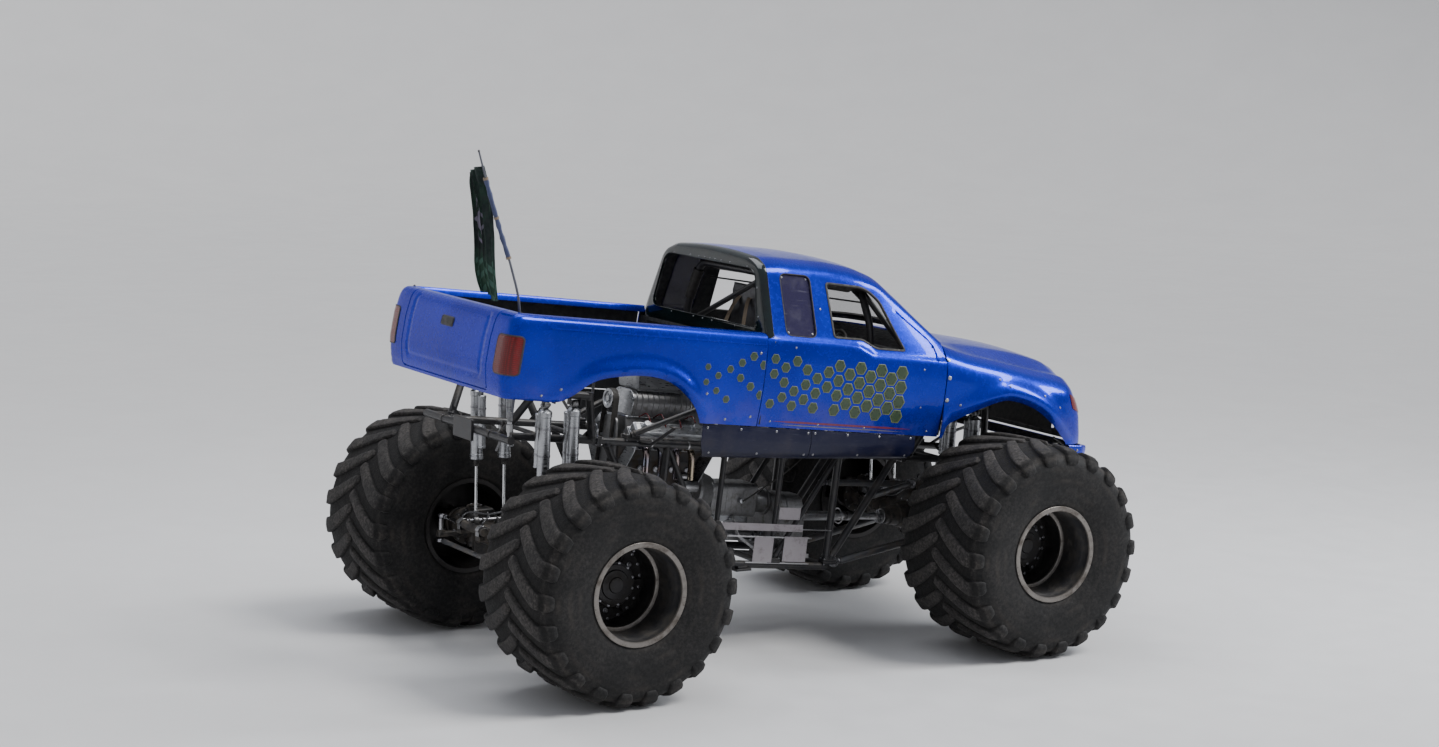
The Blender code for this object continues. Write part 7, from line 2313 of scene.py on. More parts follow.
def suspension():
    mats = ("chrome", "cast", "alloy", "rubber", "bolt", "braid")
    towers = {"front": rk(1.85, 0.52, 0.02).z - 0.075, "rear": rk(-1.85, 0.52, -0.10).z - 0.075}
    for name, x in (("front", X_FRONT), ("rear", X_REAR)):
        for side, label in ((1, "left"), (-1, "right")):
            b = Build()
            z0 = TYRE_R + 0.0805 + 0.035
            y = side * 0.525
            o = Vector((x, y, z0))
            b.pin((-0.185, 0, 0), (0.185, 0, 0), 0.0145, 20, 4)
            for gx in (-0.178, -0.062, 0.062, 0.178):
                b.slab(rounded([(-0.030, -0.0345), (0.030, -0.0345), (0.026, 0.020), (-0.026, 0.020)], 0.012, 4),
                       gx - 0.005, gx + 0.005, "X", 1, 0.001)
            for e in (1, -1):
                b.bolt((e * 0.184, 0, 0), (e, 0, 0), 0.012, mat=4)
                foot = Vector((e * 0.12, 0, 0))
                top = Vector((e * 0.12, side * 0.030, towers[name] - z0))
                shock(b, foot, top, side, e)
            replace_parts(b.object("gas_shocks_%s_%s" % (name, label), mats, "chassis", Matrix.Translation(o), 35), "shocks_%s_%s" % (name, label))
    for name, x, toward, frame_x in (("front", X_FRONT, -1, 0.905), ("rear", X_REAR, 1, -0.905)):
        fx = rk(frame_x, 0.38, -1.345)
        for side, label in ((1, "left"), (-1, "right")):
            p = Vector((x + toward * 0.085, side * 0.38, TYRE_R - 0.10))
            q = Vector((fx.x, side * 0.345, fx.z))
            n = (q - p).length
            b = Build()
            b.lathe((0, 0, 0), (q - p), [(0.052, 0), (0.052, 0.017), (0.085, 0.017), (0.087, 0.024), (0.100, 0.030),
                                       (n - 0.100, 0.030), (n - 0.087, 0.024), (n - 0.085, 0.017), (n - 0.052, 0.017),
                                       (n - 0.052, 0)], 24, 0)
            d = (q - p).normalized()
            for e, c in ((1, Vector((0, 0, 0))), (-1, q - p)):
                b.lathe(c + d * e * 0.070, d * e, [(0, 0.012), (0, 0.024), (0.012, 0.024), (0.012, 0.012)], 6, 1,
                        flat=True)
                m = c + d * e * 0.030
                b.lathe(m + Vector((0, -0.018, 0)), (0, 1, 0), [(0, 0.020), (0, 0.036), (0.003, 0.039), (0.033, 0.039),
                                                              (0.036, 0.036), (0.036, 0.020)], 28, 1)
                b.lathe(m + Vector((0, -0.021, 0)), (0, 1, 0), [(0, 0), (0, 0.014), (0.010, 0.019), (0.021, 0.0205),
                                                              (0.032, 0.019), (0.042, 0.014), (0.042, 0)], 24, 1)
            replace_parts(b.object("lower_bar_%s_%s" % (name, label), ("link", "bolt"), "chassis",
                                 Matrix.Translation(p), 35), "lower_link_%s_%s" % (name, label))
        apex = Vector((x + toward * 0.088, 0, TYRE_R + 0.250))
        far = rk(-toward * 1.175, 0, -0.80)
        b = Build()
        for side in (1, -1):
            q = Vector((far.x, side * 0.352, far.z)) - apex
            n = q.length
            b.lathe((0, 0, 0), q, [(0.0, 0.0), (0.0, 0.024), (0.02, 0.027), (n - 0.095, 0.027), (n - 0.085, 0.016),
                                 (n - 0.055, 0.016), (n - 0.055, 0)], 22, 0)
            d = q.normalized()
            b.lathe(d * (n - 0.078), d, [(0, 0.012), (0, 0.022), (0.010, 0.022), (0.010, 0.012)], 6, 1, flat=True)
            m = d * (n - 0.030)
            b.lathe(m + Vector((0, -0.016, 0)), (0, 1, 0), [(0, 0.016), (0, 0.027), (0.032, 0.027), (0.032, 0.016)], 26, 1)
            b.pin(m + Vector((0, -0.020, 0)), m + Vector((0, 0.020, 0)), 0.0165, 20, 1)
            b.weld(d * 0.055, d, 0.027, 0)
        b.lathe((0, -0.035, 0), (0, 1, 0), [(0, 0), (0, 0.029), (0.004, 0.033), (0.066, 0.033), (0.070, 0.029), (0.070, 0)],
                28, 1)
        for e in (1, -1):
            b.bolt((0, e * 0.035, 0), (0, e, 0), 0.010, 0.006, mat=1)
        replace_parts(b.object("upper_wishbone_" + name, ("link", "bolt"), "chassis", Matrix.Translation(apex), 35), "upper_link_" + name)


suspension()


# ================================================================== drive line
def driveshafts():
    case_front, case_rear = rk(0.722, 0, -1.03), rk(0.398, 0, -1.19)
    for name, p, q in (("front", Vector((case_front.x + 0.012, 0, case_front.z)), Vector((X_FRONT - 0.372, 0, TYRE_R))),
                       ("rear", Vector((case_rear.x - 0.012, 0, case_rear.z)), Vector((X_REAR + 0.372, 0, TYRE_R)))):
        n = (q - p).length
        d = (q - p).normalized()
        b = Build()
        b.lathe((0, 0, 0), d, [(0.050, 0), (0.050, 0.030), (0.062, 0.037), (0.070, 0.038), (n * 0.55, 0.038),
                             (n * 0.56, 0.033), (n * 0.56 + 0.004, 0.0375), (n * 0.62, 0.0375), (n * 0.625, 0.030),
                             (n - 0.070, 0.030), (n - 0.062, 0.036), (n - 0.050, 0.030), (n - 0.050, 0)], 30, 0)
        for k in range(7):
            t = n * 0.50 + k * 0.011
            b.lathe((0, 0, 0), d, [(t, 0.0375), (t + 0.0035, 0.0385 if k % 2 else 0.0380), (t + 0.007, 0.0375)], 30, 2)
        for e, c in ((1, Vector((0, 0, 0))), (-1, q - p)):
            b.lathe(c, d * e, [(0.0, 0), (0.0, 0.060), (0.010, 0.062), (0.014, 0.060), (0.016, 0.034), (0.020, 0)], 28, 1)
            u = Vector((0, 1, 0))
            w = d.cross(u).normalized()
            mid = c + d * e * 0.034
            for arm in (u, w):
                b.pin(mid - arm * 0.052, mid + arm * 0.052, 0.011, 16, 1)
                for k in (1, -1):
                    b.lathe(mid + arm * k * 0.036, arm * k, [(0, 0.0), (0, 0.017), (0.016, 0.017), (0.018, 0.012),
                                                           (0.018, 0)], 18, 3)
            for k in range(4):
                t = pi / 4 + k * pi / 2
                b.bolt(c + d * e * 0.012 + (u * cos(t) + w * sin(t)) * 0.050, d * e, 0.0055, mat=3, washer=False)
        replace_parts(b.object("propshaft_" + name, ("steel", "cast", "rubber", "bolt"), "chassis", Matrix.Translation(p),
                             35), "driveshaft_" + name)
        # a hoop of steel bar round the shaft
        h = Build()
        pts = [(0, 0.062 * cos(t), 0.062 * sin(t)) for t in np.linspace(0, 2 * pi, 25)[:-1]]
        h.path(pts, 0.006, 8, 0, closed=True)
        h.object("shaft_hoop_" + name, ("steel",), "chassis", Matrix.Translation(p.lerp(q, 0.5)), 35)


driveshafts()


# ====================================================================== engine
def tilt(x, y, z, angle):
    """A local frame at (x, y, z), turned about X."""
    return Matrix.Translation((x, y, z)) @ Matrix.Rotation(angle, 4, "X")


def rounded_box(b, lo, hi, r, mat=0, along="Z", place=None, bev=0.006):
    """A block whose four upright edges are rounded."""
    k = "XYZ".index(along)
    i, j = {0: (1, 2), 1: (0, 2), 2: (0, 1)}[k]
    outline = rounded([(lo[i], lo[j]), (hi[i], lo[j]), (hi[i], hi[j]), (lo[i], hi[j])], r, 5)
    b.slab(outline, lo[k], hi[k], along, mat, bev, place)


def engine():
    b = Build()      # 0 iron, 1 cast alloy, 2 polished alloy, 3 header, 4 bolt, 5 rubber, 6 steel, 7 red
    x0, x1 = -1.10, -0.34
    block = [(-0.13, -0.86), (0.13, -0.86), (0.155, -0.74), (0.150, -0.62), (0.245, -0.505), (0.160, -0.415), (0.10, -0.47),
             (-0.10, -0.47), (-0.160, -0.415), (-0.245, -0.505), (-0.150, -0.62), (-0.155, -0.74)]
    b.slab(block, x0 + 0.03, x1 - 0.01, "X", 0, 0.008)
    for x in np.linspace(x0 + 0.10, x1 - 0.09, 5):
        for s in (1, -1):
            b.lathe((x, s * 0.150, -0.68), (0, s, 0), [(0, 0.024), (0.010, 0.024), (0.012, 0.018), (0.006, 0.016),
                                                     (0.006, 0)], 20, 4)
    # pan with its rail bolts
    rounded_box(b, (x0 + 0.05, -0.135, -0.895), (x1 - 0.03, 0.135, -0.855), 0.03, 1)
    rounded_box(b, (x0 + 0.10, -0.115, -0.950), (x1 - 0.10, 0.115, -0.880), 0.05, 1)
    for x in np.linspace(x0 + 0.09, x1 - 0.07, 9):
        for s in (1, -1):
            b.bolt((x, s * 0.128, -0.895), (0, 0, -1), 0.0055, mat=4, washer=False)
    # heads and rocker covers, leaning out at 45 degrees
    for s in (1, -1):
        place = Matrix.Translation((0, s * 0.205, -0.440)) @ Matrix.Rotation(-s * pi / 4, 4, "X")
        rounded_box(b, (x0 + 0.06, -0.075, -0.035), (x1 - 0.04, 0.075, 0.050), 0.012, 1, place=place)
        rounded_box(b, (x0 + 0.065, -0.066, 0.050), (x1 - 0.045, 0.066, 0.062), 0.02, 2, place=place)
        rounded_box(b, (x0 + 0.070, -0.060, 0.062), (x1 - 0.050, 0.060, 0.138), 0.022, 2, place=place, bev=0.014)
        for k in range(9):
            y = -0.036 + k * 0.009
            b.block((x0 + 0.12, y - 0.0018, 0.1375), (x1 - 0.10, y + 0.0018, 0.1425), 2, 0.001, place)
        for x in np.linspace(x0 + 0.10, x1 - 0.08, 6):
            for y in (-0.070, 0.070):
                c, n = place @ Vector((x, y, 0.050)), place.to_3x3() @ Vector((0, 0, 1))
                b.bolt(c, n, 0.0058, mat=4)
        for x in (x0 + 0.16, x1 - 0.16):
            c, n = place @ Vector((x, 0.0, 0.138)), place.to_3x3() @ Vector((0, 0, 1))
            b.lathe(c, n, [(0, 0.026), (0.030, 0.026), (0.034, 0.030), (0.046, 0.030), (0.050, 0.026), (0.050, 0)], 24, 2)
        # exhaust: four short upswept primaries a side, turned down, open at the end
        for k, x in enumerate((-0.945, -0.810, -0.672, -0.536)):
            p0 = Vector((x, s * 0.262, -0.492))
            pts = curve_through([p0, p0 + Vector((0.004, s * 0.040, 0.006)), p0 + Vector((0.010, s * 0.072, -0.020)),
                                 p0 + Vector((0.016, s * 0.083, -0.070)), p0 + Vector((0.022, s * 0.083, -0.150)),
                                 p0 + Vector((0.028, s * 0.082, -0.235))], 6)
            b.path(pts, 0.0265, 20, 3, caps=False)
            e = (Vector(pts[-1]) - Vector(pts[-2])).normalized()
            b.lathe(pts[-1], e, [(-0.002, 0.0265), (0.0, 0.0272), (0.0, 0.0245), (-0.10, 0.0240), (-0.10, 0)], 20, 3)
            b.block((x - 0.036, min(s * 0.245, s * 0.268), -0.522), (x + 0.036, max(s * 0.245, s * 0.268), -0.462), 6, 0.004)
            for ex in (-0.028, 0.028):
                b.bolt((x + ex, s * 0.268, -0.492), (0, s, 0), 0.0058, mat=4)
        # ignition leads in a loom along the cover, short runs to the plugs
        for k, x in enumerate((-0.90, -0.77, -0.63, -0.49)):
            pts = curve_through([(x, s * 0.110, -0.292), (x + 0.01, s * 0.215, -0.250), (x + 0.012, s * 0.298, -0.335),
                                 (x + 0.010, s * 0.300, -0.420), (x + 0.004, s * 0.275, -0.452)], 6)
            b.path(pts, 0.0042, 8, 7)
            b.pin((x + 0.006, s * 0.284, -0.440), (x - 0.002, s * 0.258, -0.470), 0.0095, 12, 5)
        b.path([(x0 + 0.16, s * 0.108, -0.290), (x1 - 0.10, s * 0.108, -0.290)], 0.009, 10, 5)
    # manifold, blower, hat
    b.slab([(-0.095, -0.470), (0.095, -0.470), (0.125, -0.375), (0.105, -0.295), (-0.105, -0.295), (-0.125, -0.375)],
           x0 + 0.09, x1 - 0.07, "X", 1, 0.006)
    rounded_box(b, (x0 + 0.085, -0.118, -0.297), (x1 - 0.065, 0.118, -0.283), 0.02, 2)
    for x in np.linspace(x0 + 0.11, x1 - 0.09, 7):
        for s in (1, -1):
            b.bolt((x, s * 0.110, -0.283), (0, 0, 1), 0.006, mat=4)
    case = []
    for k in range(25):
        t = -0.35 + (pi + 0.70) * k / 24
        case.append((0.060 * (1 if cos(t) > 0 else -1) + 0.085 * cos(t), -0.170 + 0.085 * sin(t)))
    case = [(0.118, -0.283)] + case + [(-0.118, -0.283)]
    b.slab(case, x0 + 0.12, x1 - 0.12, "X", 1, 0.004)
    for k in range(10):
        x = x0 + 0.155 + k * (x1 - x0 - 0.31) / 9
        rib = [(y * 1.045, z + (0.006 if z > -0.2 else 0)) for y, z in case]
        b.slab(rib, x - 0.0035, x + 0.0035, "X", 1, 0.0015)
    for x, w in ((x0 + 0.112, 0.010), (x1 - 0.122, 0.010)):
        b.slab([(y * 1.06, z + 0.004) for y, z in case], x, x + w, "X", 2, 0.002)
    for k in range(9):
        t = -0.2 + (pi + 0.4) * k / 8
        y, z = 0.060 * (1 if cos(t) > 0 else -1) + 0.078 * cos(t), -0.170 + 0.078 * sin(t)
        b.bolt((x0 + 0.112, y, z), (-1, 0, 0), 0.0055, mat=4, washer=False)
        b.bolt((x1 - 0.112, y, z), (1, 0, 0), 0.0055, mat=4, washer=False)
    rounded_box(b, (x0 + 0.17, -0.105, -0.092), (x1 - 0.17, 0.105, -0.076), 0.02, 2)
    # injector hat: three throttle bores facing back
    hat = rounded([(-0.96, -0.076), (-0.56, -0.076), (-0.50, 0.010), (-0.62, 0.135), (-0.86, 0.172), (-0.965, 0.172),
                   (-0.985, 0.050)], [0.01, 0.02, 0.06, 0.08, 0.06, 0.012, 0.02], 6)
    b.slab(hat, -0.150, 0.150, "Y", 2, 0.016)
    b.slab(rounded([(-0.150, 0.035), (0.150, 0.035), (0.150, 0.180), (-0.150, 0.180)], 0.03, 5), -0.985, -0.968, "X", 2,
           0.004)
    for y in (-0.098, 0.0, 0.098):
        b.lathe((-0.984, y, 0.108), (-1, 0, 0), [(0, 0.047), (0.014, 0.047), (0.016, 0.044), (0.014, 0.040), (-0.012, 0.039),
                                               (-0.012, 0)], 28, 2)
        b.lathe((-0.980, y, 0.108), (-1, 0, 0.15), [(0, 0.0375), (0.002, 0.0375), (0.002, 0)], 24, 6)
        b.pin((-0.981, y, 0.068), (-0.981, y, 0.148), 0.003, 8, 4)
    for y in (-0.135, -0.05, 0.05, 0.135):
        for z in (0.050, 0.166):
            b.bolt((-0.985, y, z), (-1, 0, 0), 0.0045, mat=4, washer=False)
    # drive: crank and blower pulleys with a toothed belt, on the rear face
    xb = x0 - 0.012
    for z, r in ((-0.170, 0.070), (-0.780, 0.082)):
        b.lathe((xb + 0.045, 0, z), (-1, 0, 0), [(0, 0), (0, r + 0.006), (0.003, r + 0.006), (0.004, r), (0.056, r),
                                               (0.057, r + 0.006), (0.060, r + 0.006), (0.060, r * 0.80), (0.050, r * 0.74),
                                               (0.050, 0.026), (0.064, 0.024), (0.064, 0)], 36, 2)
        for k in range(6):
            t = 2 * pi * k / 6
            b.bolt((xb - 0.005, r * 0.5 * cos(t), z + r * 0.5 * sin(t)), (-1, 0, 0), 0.0055, mat=4, washer=False)
    za, ra, zb, rb = -0.170, 0.0745, -0.780, 0.0865
    belt = [(ra * cos(t), za + ra * sin(t)) for t in np.linspace(-0.02, pi + 0.02, 22)]
    belt += [(rb * cos(t), zb + rb * sin(t)) for t in np.linspace(pi + 0.02, 2 * pi - 0.02, 22)]
    rows = []
    for j, (y, z) in enumerate(belt):
        c = Vector((0, za if j < 22 else zb))
        n = (Vector((y, z)) - c).normalized()
        rows.append([(xb + 0.040, y, z), (xb - 0.010, y, z), (xb - 0.010, y + n.x * 0.006, z + n.y * 0.006),
                     (xb + 0.040, y + n.x * 0.006, z + n.y * 0.006)])
    b.grid(rows, 5, wrap_u=True, wrap_v=True)
    b.lathe((xb + 0.050, 0.112, -0.46), (-1, 0, 0), [(0, 0), (0, 0.034), (0.050, 0.034), (0.050, 0.028), (0.060, 0.012),
                                                   (0.060, 0)], 24, 2)
    b.slab(rounded([(-0.130, -0.86), (0.130, -0.86), (0.150, -0.60), (0.10, -0.30), (-0.10, -0.30), (-0.150, -0.60)], 0.05),
           x0 + 0.010, x0 + 0.030, "X", 1, 0.004)
    # motor plates across the frame
    for x in (x0 + 0.045, x1 - 0.004):
        b.slab(rounded([(-0.375, -0.52), (-0.375, -0.415), (-0.24, -0.40), (-0.16, -0.55), (0.16, -0.55), (0.24, -0.40),
                        (0.375, -0.415), (0.375, -0.52), (0.22, -0.74), (0.15, -0.84), (-0.15, -0.84), (-0.22, -0.74)],
                       0.025, 4), x - 0.0035, x + 0.0035, "X", 2, 0.001)
        for s in (1, -1):
            for z in (-0.435, -0.500):
                b.bolt((x - 0.0035, s * 0.352, z), (-1, 0, 0), 0.008, mat=4)
    # starter, oil filter, tank with its cap and lines
    b.pin((-0.52, -0.185, -0.80), (-0.345, -0.185, -0.80), 0.045, 24, 6, 0.006)
    b.pin((-0.50, -0.185, -0.725), (-0.39, -0.185, -0.725), 0.024, 18, 6, 0.004)
    b.pin((-0.80, 0.155, -0.77), (-0.80, 0.255, -0.78), 0.042, 24, 7, 0.006)
    for k, (p, q) in enumerate([((-0.62, 0.150, -0.80), (-0.15, 0.26, -0.98)), ((-0.66, 0.150, -0.82), (-0.12, 0.24, -1.02)),
                                ((-1.02, -0.14, -0.70), (-0.55, -0.24, -0.92))]):
        p, q = Vector(p), Vector(q)
        m = (p + q) / 2 + Vector((0, 0.02, -0.035))
        b.path(curve_through([p, p.lerp(m, 0.5) + Vector((0, 0.01, 0.006)), m, q.lerp(m, 0.5), q], 6), 0.0095, 10, 8)
        for c in (p, q):
            b.lathe(c, (q - p), [(-0.014, 0), (-0.014, 0.013), (0.014, 0.013), (0.014, 0)], 6, 7 if k else 4, flat=True)
    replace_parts(b.object("blown_engine", ("iron", "cast", "alloy", "header", "bolt", "rubber", "steel", "red", "braid"),
                         "chassis", RAKED, 35), "engine")

    # gearbox with ribs, and the transfer case
    b = Build()      # 0 cast, 1 alloy, 2 bolt, 3 steel, 4 rubber
    b.lathe((-0.300, 0, -0.855), (1, 0, -0.16), [(0, 0), (0, 0.185), (0.010, 0.190), (0.022, 0.190), (0.026, 0.180),
                                               (0.10, 0.160), (0.150, 0.150), (0.154, 0.0)], 36, 0)
    for k in range(12):
        t = 2 * pi * k / 12
        b.bolt((-0.275, 0.180 * cos(t), -0.860 + 0.180 * sin(t)), (1, 0, 0), 0.0065, mat=2, washer=False)
    rounded_box(b, (-0.165, -0.148, -1.035), (0.260, 0.148, -0.770), 0.05, 0, "X")
    rounded_box(b, (-0.120, -0.125, -1.080), (0.215, 0.125, -1.020), 0.03, 1, "Z")
    for k in range(8):
        x = -0.13 + k * 0.052
        b.slab(rounded([(-0.150, -1.037), (0.150, -1.037), (0.150, -0.768), (-0.150, -0.768)], 0.05, 4), x - 0.003, x + 0.003,
               "X", 0, 0.001)
    for x in np.linspace(-0.105, 0.20, 6):
        for s in (1, -1):
            b.bolt((x, s * 0.112, -1.080), (0, 0, -1), 0.0055, mat=2, washer=False)
    b.lathe((0.255, 0, -0.920), (1, 0, 0), [(0, 0.130), (0.016, 0.130), (0.020, 0.110), (0.10, 0.088), (0.142, 0.095),
                                          (0.146, 0.112), (0.160, 0.112)], 32, 0)
    case = rounded([(-0.110, -0.845), (0.110, -0.845), (0.190, -0.98), (0.200, -1.20), (0.120, -1.278), (-0.120, -1.278),
                    (-0.200, -1.20), (-0.190, -0.98)], 0.06, 5)
    b.slab(case, 0.412, 0.708, "X", 0, 0.008)
    b.slab([(y * 1.03, (z + 1.06) * 1.02 - 1.06) for y, z in case], 0.548, 0.566, "X", 0, 0.002)
    for k in range(len(case)):
        if k % 3 == 0:
            y, z = case[k]
            b.bolt((0.566, y * 0.985, (z + 1.06) * 0.985 - 1.06), (1, 0, 0), 0.006, mat=2, washer=False)
    for k in range(6):
        x = 0.435 + k * 0.018
        b.slab([(y * 1.012, (z + 1.06) * 1.01 - 1.06) for y, z in case], x - 0.002, x + 0.002, "X", 0, 0.001)
    for x, z, sx in ((0.706, -1.03, 1), (0.414, -1.19, -1)):
        b.lathe((x, 0, z), (sx, 0, 0), [(-0.004, 0.075), (0.006, 0.075), (0.008, 0.050), (0.013, 0.050), (0.013, 0)], 28, 1)
        for k in range(6):
            t = 2 * pi * k / 6
            b.bolt((x + sx * 0.006, 0.063 * cos(t), z + 0.063 * sin(t)), (sx, 0, 0), 0.005, mat=2, washer=False)
    for s in (1, -1):
        b.block((0.46, min(s * 0.14, s * 0.385), -1.305), (0.66, max(s * 0.14, s * 0.385), -1.270), 3, 0.003)
        b.path([(0.05, s * 0.14, -1.03), (0.05, s * 0.26, -1.16), (0.27, s * 0.40, -1.325)], 0.014, 10, 3)
    b.pin((0.10, -0.148, -0.90), (0.10, -0.185, -0.90), 0.022, 18, 1)
    b.path(curve_through([(0.10, -0.19, -0.90), (0.16, -0.23, -0.84), (0.40, -0.26, -0.66), (0.62, -0.25, -0.48)], 8), 0.006,
           8, 4)
    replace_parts(b.object("gearbox_and_transfer_case", ("cast", "alloy", "bolt", "steel", "rubber"), "chassis", RAKED, 35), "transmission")


engine()


# ======================================================================= cabin
def pad(name, outline_fn, nu, nv, body="chassis", fill=0.75, mat="fabric"):
    """A closed, stuffed pad from a function of (u, v, side) in -1..1."""
    b = Build()
    top = [[outline_fn(-1 + 2 * i / nu, -1 + 2 * j / nv, 1) for j in range(nv + 1)] for i in range(nu + 1)]
    bot = [[outline_fn(-1 + 2 * i / nu, -1 + 2 * j / nv, -1) for j in range(nv + 1)] for i in range(nu + 1)]
    b.grid(top, 0)
    b.grid([r[::-1] for r in bot], 0)
    me = bpy.data.meshes.new(name)
    me.from_pydata(b.v, [], b.f)
    bm = bmesh.new()
    bm.from_mesh(me)
    bmesh.ops.remove_doubles(bm, verts=bm.verts, dist=0.0006)
    bmesh.ops.recalc_face_normals(bm, faces=bm.faces)
    bm.to_mesh(me)
    bm.free()
    me.polygons.foreach_set("use_smooth", [True] * len(me.polygons))
    me.materials.append(M[mat])
    ob = link(bpy.data.objects.new(name, me))
    ob.matrix_world = RAKED
    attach(ob, body)
    return ob


def stuffed(u, v, k):
    """Thickness of a stuffed pad: full in the middle, drawn in at the rim, sewn channels across."""
    e = max(abs(u), abs(v))
    rim = (1 - abs(u) ** 6) * (1 - abs(v) ** 6)
    channel = 1 - 0.16 * max(0.0, cos(pi * 5 * u)) ** 10
    return max(0.0, rim) ** 0.42 * channel


def cabin():
    # moulded alloy shell: back, base and side wings
    b = Build()
    def seat_line(t):
        """Centre line of the shell, from the back's top to the base's front: x, z."""
        pts = [(0.005, 0.800), (0.010, 0.60), (0.024, 0.35), (0.048, 0.08), (0.082, -0.13), (0.150, -0.200), (0.30, -0.222),
               (0.50, -0.215), (0.672, -0.180)]
        k = t * (len(pts) - 1)
        i = min(int(k), len(pts) - 2)
        f = k - i
        p0, p1, p2, p3 = (Vector(pts[max(0, min(len(pts) - 1, i + d))]) for d in (-1, 0, 1, 2))
        return 0.5 * ((2 * p1) + (p2 - p0) * f + (2 * p0 - 5 * p1 + 4 * p2 - p3) * f * f + (3 * p1 - p0 - 3 * p2 + p3) * f ** 3)
    rows = []
    for i in range(45):
        t = i / 44
        c, c1, c0 = seat_line(t), seat_line(min(1, t + 0.01)), seat_line(max(0, t - 0.01))
        d = (c1 - c0).normalized()
        n = Vector((-d.y, d.x))
        n = n if n.x > 0 or n.y > 0 else -n
        half = 0.175 + 0.075 * min(1, max(0, (t - 0.02) / 0.16))
        wing = 0.10 * min(1, max(0, (t - 0.06) / 0.1)) * (1 - 0.45 * min(1, max(0, (t - 0.62) / 0.3)))
        row = []
        for j in range(19):
            v = -1 + j / 9
            side = abs(v)
            y = half * (side if side < 0.8 else 0.8 + (side - 0.8) * 0.45) / 0.89 * (1 if v > 0 else -1)
            lift = wing * max(0.0, (side - 0.62) / 0.38) ** 1.7
            row.append((c.x + n.x * lift, y, c.y + n.y * lift))
        rows.append(row)
    b.grid(rows, 0)
    shell = b.object("seat_shell", ("shell",), "chassis", RAKED, 50)
    mod = shell.modifiers.new("thick", "SOLIDIFY")
    mod.thickness, mod.offset = 0.005, 0.0
    settle(shell)
    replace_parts(shell, "seat")

    def back(u, v, side):
        t = 0.045 + (u + 1) / 2 * 0.47
        c, c1 = seat_line(t), seat_line(t + 0.01)
        d = (c1 - c).normalized()
        n = Vector((-d.y, d.x))
        n = n if n.x > 0 else -n
        h = 0.010 + (0.052 * stuffed(u, v, 5) if side > 0 else 0.0)
        w = (0.150 + 0.045 * min(1, max(0, (t - 0.02) / 0.16))) * (1 - 0.035 * (1 - abs(u) ** 4))
        return (c.x + n.x * h, v * w, c.y + n.y * h)

    def base(u, v, side):
        t = 0.60 + (u + 1) / 2 * 0.385
        c, c1 = seat_line(t), seat_line(min(1.0, t + 0.01))
        c0 = seat_line(t - 0.01)
        d = (c1 - c0).normalized()
        n = Vector((-d.y, d.x))
        n = n if n.y > 0 else -n
        h = 0.010 + (0.060 * stuffed(u, v, 4) if side > 0 else 0.0)
        return (c.x + n.x * h, v * 0.200 * (1 - 0.03 * (1 - abs(u) ** 4)), c.y + n.y * h)
    pad("seat_back_pad", back, 44, 26)
    pad("seat_base_pad", base, 36, 26)
    # head surround
    def head(u, v, side):
        y = v * 0.165
        z = 0.70 + u * 0.085
        wing = 0.055 * max(0.0, (abs(v) - 0.55) / 0.45) ** 1.5
        return (0.020 + wing + (0.042 * stuffed(u * 0.96, v * 0.98, 3) if side > 0 else 0.0), y, z)
    pad("head_pad", head, 18, 26)

    # webbing: shoulder straps over the back to the bar behind, lap straps, buckle
    def strap(b, points, w=0.048, thick=0.0026, across=None, mat=0):
        pts = curve_through(points, 7)
        rows = []
        for i, p in enumerate(pts):
            d = (pts[min(i + 1, len(pts) - 1)] - pts[max(i - 1, 0)]).normalized()
            a = Vector(across or (0, 1, 0))
            a = (a - d * a.dot(d)).normalized()
            n = d.cross(a) * thick / 2
            rows.append([p - a * w / 2 + n, p + a * w / 2 + n, p + a * w / 2 - n, p - a * w / 2 - n])
        b.grid(rows, mat, wrap_u=True)
        b.add(rows[0], [(3, 2, 1, 0)], mat)
        b.add(rows[-1], [(0, 1, 2, 3)], mat)
    b = Build()
    for s in (1, -1):
        strap(b, [(-0.118, s * 0.200, 0.135), (-0.088, s * 0.165, 0.330), (-0.045, s * 0.110, 0.575), (-0.008, s * 0.075, 0.680),
                  (0.030, s * 0.072, 0.700), (0.078, s * 0.072, 0.560), (0.092, s * 0.070, 0.350), (0.130, s * 0.055, 0.120),
                  (0.215, s * 0.020, -0.040)])
        strap(b, [(0.060, s * 0.262, -0.165), (0.115, s * 0.245, -0.090), (0.190, s * 0.160, -0.045), (0.250, s * 0.030, -0.050)],
              across=(0.5, 0, 0.8))
        for c in ((0.094, s * 0.072, 0.40), (0.150, s * 0.205, -0.062)):
            b.block(Vector(c) - Vector((0.007, 0.030, 0.020)), Vector(c) + Vector((0.007, 0.030, 0.020)), 1, 0.002)
        b.path(curve_through([(-0.126, s * 0.200, 0.150), (-0.150, s * 0.200, 0.098), (-0.120, s * 0.200, 0.070),
                              (-0.094, s * 0.200, 0.100), (-0.112, s * 0.200, 0.140)], 5), 0.0035, 8, 0)
    strap(b, [(0.62, 0, -0.150), (0.50, 0, -0.135), (0.36, 0, -0.120), (0.270, 0, -0.062)])
    b.lathe((0.262, 0, -0.058), (-0.15, 0, 1), [(0, 0), (0, 0.036), (0.004, 0.040), (0.016, 0.040), (0.022, 0.034), (0.024, 0)],
            28, 1)
    b.object("harness", ("webbing", "steel"), "chassis", RAKED, 40)

